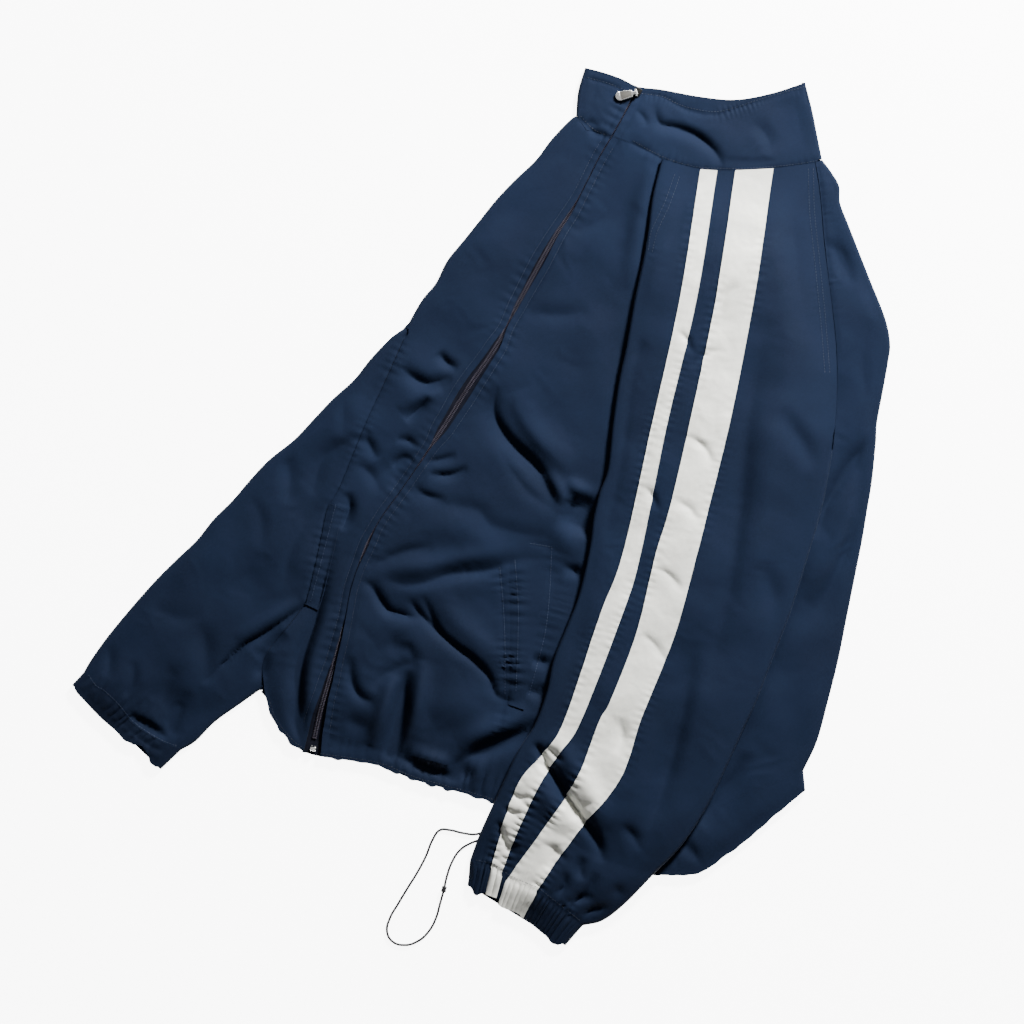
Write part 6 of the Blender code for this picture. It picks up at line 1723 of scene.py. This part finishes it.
class JACKET_OT_stage(bpy.types.Operator):
    """Table, lights and camera"""

    bl_idname = "jacket.stage"
    bl_label = "Stage"

    def execute(self, context):
        stage = context.scene.jacket_stage
        middle = to_world((512.0, 512.0, 0.0))
        mesh = bpy.data.meshes.new("table")
        half = stage.table_width / 2
        mesh.from_pydata([(x, y, 0) for x, y in block(-half, -half, half, half)], [], [(0, 1, 2, 3)])
        table = place("table", mesh, "floor")
        table.location.z = TABLE_LEVEL
        table.visible_diffuse = False
        camera_data = bpy.data.cameras.new("camera")
        camera_data.sensor_width = 36.0
        camera_data.lens = camera_data.sensor_width * stage.camera_height / stage.view_width
        camera_data.clip_end = 100.0
        camera = self.put("camera", camera_data, (middle[0], middle[1], stage.camera_height))
        context.scene.camera = camera
        for name, watts, size, place_at in (
                ("key", stage.key_watts, *KEY_LIGHT), ("fill", stage.fill_watts, *FILL_LIGHT)):
            light_data = bpy.data.lights.new(name, "AREA")
            light_data.energy = watts
            light_data.shape = "DISK"
            light_data.size = size
            aim = Vector(middle) - Vector(place_at)
            self.put(name, light_data, place_at).rotation_euler = aim.to_track_quat("-Z", "Y").to_euler()
        world = bpy.data.worlds.new("studio")
        world.use_nodes = True
        sky = world.node_tree.nodes["Background"].inputs
        sky["Color"].default_value = (1.0, 1.0, 1.0, 1)
        sky["Strength"].default_value = stage.sky
        context.scene.world = world
        return {"FINISHED"}

    @staticmethod
    def put(name, data, place_at):
        """A camera or a light in its place."""
        made = bpy.data.objects.new(name, data)
        made.location = place_at
        bpy.context.scene.collection.objects.link(made)
        return made


class JACKET_OT_cord(bpy.types.Operator):
    """Elastic loop out of the hem, with its bead"""

    bl_idname = "jacket.cord"
    bl_label = "Hem cord"

    def execute(self, context):
        route = to_world(np.array(CORD_ROUTE, float))
        curve = bpy.data.curves.new("hem_cord_loop", "CURVE")
        curve.dimensions = "3D"
        curve.bevel_depth = CORD_DIAMETER / 2000
        curve.bevel_resolution = 4
        curve.resolution_u = 6
        curve.use_fill_caps = True
        spline = curve.splines.new("BEZIER")
        spline.bezier_points.add(len(route) - 1)
        for point, place_at in zip(spline.bezier_points, route):
            point.co = place_at
            point.handle_left_type = point.handle_right_type = "AUTO"
        cord = place("hem_cord_loop", curve, "elastic")
        near = int(np.linalg.norm(route[:, :2] - to_world((*BEAD_AT, 0))[:2], axis=1).argmin())
        bead = self.bead(standing(Vector(route[near]), route[near + 1] - route[near - 1]))
        belongs(bead, "jacket", "bead_plastic", "cord_bead")
        belongs(cord, "jacket", "cord_rubber", "hem_cord")
        length = lengths_along(to_world(smooth(CORD_ROUTE, 400)))[-1]
        return {"FINISHED"}

    @staticmethod
    def bead(turn):
        """A waisted bead turned round the cord, with its bore open."""
        bore = CORD_DIAMETER / 2 + 0.25
        half = BEAD_LENGTH / 2
        wide = BEAD_RADIUS
        end = [(bore, half), (wide - 0.7, half), (wide - 0.15, half - 0.5), (wide, half - 1.1)]
        waist = [(wide - 0.35, -0.4), (wide - 0.35, 0.4)]
        shape = bmesh.new()
        add_turned(shape, [(radius, -level) for radius, level in end] + waist + end[::-1], 28, turn)
        return solid_from(shape, "hem_cord_bead", "bead")


class JACKET_OT_fronts(bpy.types.Operator):
    """Right front and left front, with their pocket welts"""

    bl_idname = "jacket.fronts"
    bl_label = "Fronts and pocket welts"

    def execute(self, context):
        right, fold_steps = right_front_grid()
        lip = ARC_STEPS + 1
        left = left_front_grid()
        UPPERS["right_front"], UPPERS["left_front"] = right[:, lip:], left
        lift = WALL / 2 + WELT_GAP + WELT_WALL / 2
        inner, welt_columns, _ = LEFT_FRONT_COLUMNS
        left_high = sunk(raised(left, lift), left, inner)[:, inner:inner + welt_columns + 1]
        right_high = raised(right[:, lip:], lift)[:, :RIGHT_FRONT_COLUMNS[0] + 1]
        welts = []
        for side, grid, shares in (("left", left_high, LEFT_POCKET), ("right", right_high, RIGHT_POCKET)):
            first, last = (round(share * FRONT_ROWS * ROW_STEPS) for share in shares)
            welts.append(cloth_piece(
                f"{side}_pocket_band", [f"{side}_pocket_welt"], grid[first:last + 1], f"{side}_front",
                wall=WELT_WALL))
        left_welt, right_welt = welts
        right_piece = cloth_piece(
            "right_front_panel", ["right_front"], right, "back", with_pieces=[right_welt],
            keep=lambda i, j: (j >= lip) | (i < fold_steps))
        left_piece = cloth_piece("left_front_panel", ["left_front"], left, "back", with_pieces=[left_welt])
        SURFACES["fronts"] = surface_of(right_piece, left_piece, left_welt, right_welt)
        return {"FINISHED"}


class JACKET_OT_back(bpy.types.Operator):
    """Back panel: on the table, round the right-hand fold and up to the seams on top"""

    bl_idname = "jacket.back"
    bl_label = "Back"

    def execute(self, context):
        grid, top, under, side_columns, high = back_grid()
        UPPERS["back"], UPPERS["back_under"], UPPERS["back_side"] = top, under, side_columns
        piece = cloth_piece(
            "back_panel", ["back"], grid, "table", keep=lambda i, j: (j >= side_columns) | (i >= high))
        SURFACES["back"] = surface_of(piece)
        return {"FINISHED"}


class JACKET_OT_right_sleeve(bpy.types.Operator):
    """Right sleeve and its gathered cuff"""

    bl_idname = "jacket.right_sleeve"
    bl_label = "Right sleeve"

    def execute(self, context):
        grid, upper, kept, tube = right_sleeve_grid()
        piece = cloth_piece(
            "right_sleeve_panel", ["right_sleeve"], grid, "table", keep=kept, closed_rows=tube)
        UPPERS["right_sleeve"] = upper
        cuff, _ = cuff_grid(
            upper[0], RIGHT_CUFF_UNDER[1], RIGHT_CUFF_OVER[1], FLAT_FOLD, body_top, flat_rest,
            *RIGHT_CUFF_RIPPLES, RIGHT_CUFF_MOUTH)
        cuff_piece = cloth_piece(
            "right_cuff_band", ["right_cuff"], cuff, "table", "navy band painted shade", held="gathered",
            closed_rows=len(cuff) - 1)
        SURFACES["right_sleeve"] = surface_of(piece, cuff_piece)
        return {"FINISHED"}


class JACKET_OT_left_sleeve(bpy.types.Operator):
    """Left sleeve over the front, its two stripes and its gathered cuff"""

    bl_idname = "jacket.left_sleeve"
    bl_label = "Left sleeve and stripes"

    def execute(self, context):
        grid, upper, kept = left_sleeve_grid()
        UPPERS["left_sleeve"] = upper
        edges = np.cumsum((0,) + SLEEVE_COLUMNS)
        moved = raised(upper, STRIPE_LIFT)
        bands = self.stripes("band", moved, edges, "left_sleeve", "laid")
        piece = cloth_piece(
            "left_sleeve_panel", ["left_sleeve"], grid, "left_front back", with_pieces=bands, held="folded",
            keep=kept, closed_rows=len(grid) - 1)
        cuff, top = cuff_grid(
            upper[-1], LEFT_CUFF_FOLD[1], LEFT_CUFF_UNDER[1], SLEEVE_FOLD, None, sleeve_rest,
            *LEFT_CUFF_RIPPLES, LEFT_CUFF_MOUTH)
        moved = raised(top, STRIPE_LIFT)
        moved[-1, :, :2] += directions(moved[-2, :, :2], moved[-1, :, :2]) * STRIPE_PAST_MOUTH
        travelled = lengths_along(upper[-1, :, :2])
        edges = np.round(travelled[edges] / travelled[-1] * (top.shape[1] - 1)).astype(int)
        ends = self.stripes("end", moved, edges, "left_cuff", "gathered")
        cuff_piece = cloth_piece(
            "left_cuff_band", ["left_cuff"], cuff, "table", "navy band painted shade", ends, held="gathered",
            closed_rows=len(cuff) - 1)
        SURFACES["left_sleeve"] = surface_of(piece, cuff_piece, *bands, *ends)
        SURFACES["stripes"] = surface_of(*bands, *ends)
        return {"FINISHED"}

    @staticmethod
    def stripes(part, grid, edges, under, held):
        """Both stripes' lengths on the sleeve or on the cuff, each between two of the cloth's columns."""
        made = []
        for name, first in (("narrow_stripe", 1), ("wide_stripe", 3)):
            node = name if part == "band" else f"{name}_cuff"
            columns = grid[:, edges[first]:edges[first + 1] + 1]
            made.append(cloth_piece(
                f"{name}_{part}", [node], columns, under, "stripe", held=held, wall=STRIPE_WALL))
        return made


class JACKET_OT_collar(bpy.types.Operator):
    """Stand collar"""

    bl_idname = "jacket.collar"
    bl_label = "Collar"

    def execute(self, context):
        back, under = UPPERS["back"], UPPERS["back_under"]
        neck_right = np.vstack([
            UPPERS["left_front"][0], UPPERS["left_sleeve"][0, 1:], back[0, UPPERS["back_side"] + 1:]])
        neck_under = np.vstack([smooth(NECK_FRONT, 2, 0, 0.12), under[0, ::-1, :2]])
        grid = collar_grid(
            UPPERS["right_front"][0, :, :2], neck_right[:, :2], spaced(neck_under, NECK_UNDER_COLUMNS))
        piece = cloth_piece("collar_band", ["collar"], grid, "table", held="folded")
        SURFACES["collar"] = surface_of(piece)
        return {"FINISHED"}


class JACKET_OT_hem(bpy.types.Operator):
    """Hem band in its three lengths"""

    bl_idname = "jacket.hem"
    bl_label = "Hem band"

    def execute(self, context):
        pieces = []
        for side, start, end, count in (
                ("right", 0.0, HEM_AT_ZIP_LEFT, HEM_COLUMNS[0]),
                ("left", HEM_AT_ZIP_RIGHT, HEM_AT_SIDE_SEAM, HEM_COLUMNS[1])):
            inner = spaced(UPPERS[f"{side}_front"][-1], count)
            rings = band_rings(inner, smooth(HEM_EDGE, count, start, end), True)
            pieces.append(cloth_piece(
                f"{side}_hem_band", [f"{side}_hem"], rings, "back_hem", held="gathered"))
        grid = back_hem_grid(UPPERS["back"], UPPERS["back_under"])
        pieces.append(cloth_piece("back_hem_band", ["back_hem"], grid, "table", held="gathered"))
        SURFACES["hem"] = surface_of(*pieces)
        return {"FINISHED"}


class JACKET_OT_seam_tapes(bpy.types.Operator):
    """Binding that closes the seams from inside"""

    bl_idname = "jacket.seam_tapes"
    bl_label = "Seam binding"

    def execute(self, context):
        for name, route, level in (
                ("neck_binding_right", smooth(NECK_LEFT_OF_ZIP, 30), body_top),
                ("neck_binding_left", smooth(NECK_RIGHT_OF_ZIP, 90), body_top),
                ("armhole_binding", smooth(ARMHOLE, 120), body_top),
                ("hem_binding_right", smooth(HEM_SEAM, 30, 0.0, 0.082), body_top),
                ("hem_binding_left", smooth(HEM_SEAM, 260, 0.132, 1.0), body_top),
                ("right_cuff_binding", smooth(RIGHT_CUFF_SEAM, 60, 0.05, 0.94), body_top),
                ("raglan_binding", smooth(RAGLAN_ON_BACK, 60), body_top),
                ("left_cuff_binding", spaced(UPPERS["left_sleeve"][-1], 70), None)):
            across = square_to(route[:, :2], route[:1, :2] + 1.0)
            plan = route[:, None, :2] + across[:, None] * np.linspace(-BINDING_HALF, BINDING_HALF, 5)[:, None]
            if level is None:
                grid = np.dstack([plan, np.repeat(route[:, 2:3], 5, axis=1)])
            else:
                grid = at_height(plan, level)
            grid[..., 2] = np.maximum(grid[..., 2] - BINDING_DEPTH, BINDING_LOWEST)
            cloth_piece(name, [], grid, "back", wall=BINDING_WALL)
        return {"FINISHED"}


class JACKET_OT_zip(bpy.types.Operator):
    """Zip tape, the coil on it, and the metal box at its foot"""

    bl_idname = "jacket.zip"
    bl_label = "Zip chain and tape"

    def execute(self, context):
        sizes = context.scene.jacket_sizes
        grid = self.strip((ZIP_FROM, 0.999, 300), np.linspace(-TAPE_HALF, TAPE_HALF, 13), TAPE_DEPTH)
        cloth_piece("zip_tape_strip", ["zip_tape"], grid, "left_front", "tape", wall=TAPE_WALL)
        run = self.run((ZIP_FROM, 0.978, 420), 0.0, CHAIN_DEPTH)
        half = sizes.tooth_width / 2 - 0.25
        for side, places, sideways, nodes in (
                ("left", run, -half, ["zip_chain"]), ("right", run[1:], half, [])):
            tooth = (sizes.tooth_pitch, sizes.tooth_pitch * 0.86, sizes.tooth_width, 1.3, sideways)
            shapes_along(f"zip_coil_{side}", [places], "coil", "zip_coil", tooth, nodes, rings=5)
        rows = [
            self.run((ZIP_FROM, 0.975, 420), side * COIL_THREAD_OUT, COIL_THREAD_DEPTH) for side in (-1, 1)]
        shapes_along("zip_coil_thread", rows, "thread", "zip_coil", COIL_THREAD)
        self.box()
        return {"FINISHED"}

    @staticmethod
    def strip(stretch, halves, depth):
        """Points under the front edges, following a stretch of the zip: from, to and how many."""
        middle = smooth(ZIP_LINE, 2000)[np.round(np.linspace(*stretch) * 1999).astype(int)]
        plan = middle[:, None] + crosswise(middle)[:, None] * halves[None, :, None]
        grid = at_height(plan, body_top)
        grid[..., 2] -= depth
        return grid

    @staticmethod
    def run(stretch, sideways, depth):
        """One line of that strip, as places that face up."""
        line = JACKET_OT_zip.strip(stretch, np.array([sideways]), depth)[:, 0]
        return [(Vector(place_at), Vector((0, 0, 1))) for place_at in to_world(line)]

    @staticmethod
    def box():
        """The box that ends the zip: a bevelled block with a slot, and two end stops above it."""
        low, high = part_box("zip_box")
        middle = (Vector(low) + Vector(high)) / 2
        half = (high[2] - low[2]) * 500
        shape = bmesh.new()
        turn = Matrix.Translation(middle) @ Matrix.Rotation(math.radians(-12), 4, "Z")
        for outline, bottom, top, bevel in (
                (block(-2.8, -2.2, 2.8, 1.7), -half, half - 0.5, 0.5),
                (block(-2.4, -1.5, 2.4, -0.4), half - 0.7, half, 0.3),
                (block(-2.3, 2.3, -0.7, 3.2), -half + 0.4, half - 0.4, 0.25),
                (block(0.7, 2.3, 2.3, 3.2), -half + 0.4, half - 0.4, 0.25)):
            add_plate(shape, outline, bottom, top, bevel, turn)
        belongs(solid_from(shape, "zip_end_box", "silver"), "jacket", "slider_metal", "zip_box")


class JACKET_OT_slider(bpy.types.Operator):
    """Zip slider, and the pull tab that hangs on its pin"""

    bl_idname = "jacket.slider"
    bl_label = "Slider and pull tab"

    def execute(self, context):
        joints = frame["record"]["behaviour"]["joints"]
        if not joints:
            raise RuntimeError("the record has no joint for the pull tab")
        pin = Vector(joints[0]["pos_m"])
        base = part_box("zip_slider")[0][2] * 1000
        up = Vector((0, 0, 1))
        zip_way = Vector((SLIDER_WAY[0], -SLIDER_WAY[1], 0)).normalized()
        tab_way = Vector((TAB_WAY[0], -TAB_WAY[1], 0)).normalized()
        pin_way = Vector((tab_way.y, -tab_way.x, 0))
        turn = framed(Vector(to_world((*SLIDER_AT, base))), zip_way, up.cross(zip_way), up)
        body, bridge = self.slider(turn, pin, pin_way, base)
        belongs(body, "jacket", "slider_metal", "zip_slider")
        belongs(bridge, "jacket", "slider_metal")
        points = np.array([tuple(v.co) for v in bpy.data.objects["pull_tab"].data.vertices])
        reach = (points - np.array(pin)) @ np.array(tab_way)
        end = points[reach > reach.max() - 0.001]
        slope = math.atan2(pin.z - end[:, 2].mean(), reach.max())
        turn = framed(pin, tab_way, -pin_way, up) @ Matrix.Rotation(slope, 4, "Y")
        rim, inset = self.tab(turn, pin, pin_way)
        belongs(rim, "pull_tab", "tab_metal", "pull_tab")
        belongs(inset, "pull_tab", "tab_metal")
        return {"FINISHED"}

    @staticmethod
    def slider(turn, pin, pin_way, base):
        """Body with a pointed nose and two flanges, and the bridge that holds the pin."""
        nose = [(-4.7, -2.6), (-3.6, -3.5), (1.2, -3.55), (3.4, -2.6), (4.7, -1.0)]
        nose += [(x, -y) for x, y in reversed(nose)]
        shape = bmesh.new()
        add_plate(shape, nose, 0.0, 0.75, 0.3, turn)
        add_plate(shape, [(x * 0.96, y * 0.96) for x, y in nose], 1.1, 2.0, 0.35, turn)
        add_plate(shape, [(-1.2, -1.3), (2.6, -0.9), (2.6, 0.9), (-1.2, 1.3)], 0.5, 1.3, 0.1, turn)
        for side in (-1, 1):
            flange = [(-4.2, side * 2.9), (0.8, side * 3.0), (0.8, side * 3.45), (-4.2, side * 3.35)]
            add_plate(shape, flange, 0.4, 1.5, 0.15, turn)
        # The body's near-black metal is painted shade.
        body = solid_from(shape, "zip_slider_body", "painted shade metal")
        shape = bmesh.new()
        made = bmesh.ops.create_cone(
            shape, cap_ends=True, segments=16, radius1=PIN_RADIUS, radius2=PIN_RADIUS, depth=PIN_LENGTH)
        verts = made["verts"]
        out = bmesh.ops.bevel(shape, geom=level_edges(verts), offset=0.0002, segments=2, affect="EDGES")
        verts = list({vert for vert in verts if vert.is_valid} | set(out["verts"]))
        bmesh.ops.transform(shape, matrix=standing(pin, pin_way), verts=verts)
        up = Vector((0, 0, 1))
        foot = framed(Vector((pin.x, pin.y, 0)), pin_way, up.cross(pin_way), up)
        for left in (-3.35, 2.4):
            add_plate(
                shape, block(left, -0.95, left + 0.95, 0.95), base + 1.5, pin.z * 1000 + 1.15, 0.3, foot)
        return body, solid_from(shape, "zip_slider_bridge", "silver")

    @staticmethod
    def tab(turn, pin, pin_way):
        """Bright tab with a raised rim and rounded end, and its flat satin inset."""
        side = [(1.0, 1.5), (3.2, 1.6), (3.7, 2.6), (4.8, 3.6), (16.4, 4.9)]
        side += [(16.4 + 4.6 * math.sin(a), 4.9 * math.cos(a)) for a in np.linspace(0, math.pi / 2, 9)[1:-1]]
        outline = side + [(21.0, 0.0)] + [(x, -y) for x, y in reversed(side)]
        shape = bmesh.new()
        add_plate(shape, outline, -0.88, 0.1, 0.4, turn)
        rim = [(16.3, 4.7), (18.2, 4.4), (19.9, 3.1), (20.8, 1.2)]
        add_plate(shape, [(x, -y) for x, y in rim] + rim[::-1], -0.4, 0.88, 0.5, turn)
        bar = [(4.6, 2.5), (15.0, 3.9), (15.0, 4.7), (4.6, 3.4)]
        for outline in ([(x, -y) for x, y in reversed(bar)], bar):
            add_plate(shape, outline, -0.3, 0.86, 0.25, turn)
        eye = [(1.1, 1.6), (1.3, 1.6), (1.6, 1.3)]
        add_turned(shape, [(radius, -level) for radius, level in eye] + eye[::-1], 24, standing(pin, pin_way))
        bright = solid_from(shape, "pull_tab_plate", "silver")
        shape = bmesh.new()
        flat = [(4.8, -2.3), (15.4, -3.7), (15.4, 3.7), (4.8, 2.3)]
        add_plate(shape, flat, 0.0, 0.6, 0.1, turn)
        return bright, solid_from(shape, "pull_tab_inset", "inset")


def cuff_line(row, inward):
    """A line of stitching along a sleeve's end, set in from it towards the shoulder."""
    line = spaced(row[:, :2], 240)[6:-6]
    return line + square_to(line, np.repeat([[700.0, 200.0]], len(line), axis=0)) * inward


class JACKET_OT_stitching(bpy.types.Operator):
    """Topstitching on the navy cloth, and the stripes' edge stitches"""

    bl_idname = "jacket.stitching"
    bl_label = "Stitching"

    def execute(self, context):
        sizes = context.scene.jacket_sizes
        stitch = (sizes.stitch_spacing, sizes.stitch_length, sizes.stitch_width, 0.34, 0.0)
        pale_stitch = (sizes.stitch_spacing, sizes.stitch_length, 0.42, 0.3, 0.0)
        shares = np.linspace(0.09, 0.962, 700)
        runs = runs_of([zip_edge(shares, side, ZIP_STITCH_FROM) for side in (-1, 1)], SURFACES["fronts"])
        runs += runs_of([smooth(line, 240) for line in COLLAR_STITCHES], SURFACES["collar"])
        runs += runs_of([smooth(line, 260) for line in SLEEVE_STITCHES], SURFACES["left_sleeve"])
        runs += runs_of([cuff_line(UPPERS["left_sleeve"][-1], 2.6)], SURFACES["left_sleeve"])
        inset = smooth(HEM_EDGE, 500, 0.01, HEM_AT_SIDE_SEAM - 0.01)
        runs += runs_of([inset + square_to(inset, HEM_LINE[:1]) * 3.0], SURFACES["hem"])
        shapes_along("navy_topstitching", runs, "thread", "navy_cloth", stitch)
        runs = runs_of([smooth(line, 240) for line in POCKET_STITCHES], SURFACES["fronts"])
        runs += runs_of([cuff_line(UPPERS["right_sleeve"][0], 1.6)], SURFACES["right_sleeve"])
        shapes_along("grey_topstitching", runs, "grey thread", "navy_cloth", stitch)
        plan = UPPERS["left_sleeve"][..., :2]
        lines = []
        for column, inward in zip(np.cumsum(SLEEVE_COLUMNS), (1, -1, 1, -1)):
            edge = plan[:, column]
            lines.append(edge + square_to(edge, plan[:, column + inward]) * STRIPE_STITCH_FROM)
        runs = runs_of(lines, SURFACES["stripes"], 0.08)
        shapes_along("stripe_edge_stitching", runs, "pale thread", "stripe_cloth", pale_stitch)
        return {"FINISHED"}


class JACKET_PT_panel(bpy.types.Panel):
    """The jacket's pieces, and the sizes and colours that can be changed"""

    bl_idname = "JACKET_PT_panel"
    bl_label = "Track jacket"
    bl_space_type = "VIEW_3D"
    bl_region_type = "UI"
    bl_category = "Jacket"

    def draw(self, context):
        for operator in OPERATORS:
            self.layout.operator(operator.bl_idname)
        for group in (context.scene.jacket_sizes, context.scene.jacket_colours, context.scene.jacket_stage):
            box = self.layout.box()
            for name in group.__annotations__:
                box.prop(group, name)


OPERATORS = (
    JACKET_OT_stage, JACKET_OT_cord, JACKET_OT_fronts, JACKET_OT_back, JACKET_OT_right_sleeve,
    JACKET_OT_left_sleeve, JACKET_OT_collar, JACKET_OT_hem, JACKET_OT_seam_tapes, JACKET_OT_zip,
    JACKET_OT_slider, JACKET_OT_stitching)
GROUPS = (
    (JacketSizes, "jacket_sizes"), (JacketColours, "jacket_colours"), (StageSizes, "jacket_stage"))


def register():
    for group, name in GROUPS:
        bpy.utils.register_class(group)
        setattr(bpy.types.Scene, name, PointerProperty(type=group))
    for operator in OPERATORS:
        bpy.utils.register_class(operator)
    bpy.utils.register_class(JACKET_PT_panel)


def unregister():
    bpy.utils.unregister_class(JACKET_PT_panel)
    for operator in reversed(OPERATORS):
        bpy.utils.unregister_class(operator)
    for group, name in reversed(GROUPS):
        delattr(bpy.types.Scene, name)
        bpy.utils.unregister_class(group)


def main():
    register()
    for operator in OPERATORS:
        space, action = operator.bl_idname.split(".")
        getattr(getattr(bpy.ops, space), action)()


if __name__ == "__main__":
    main()
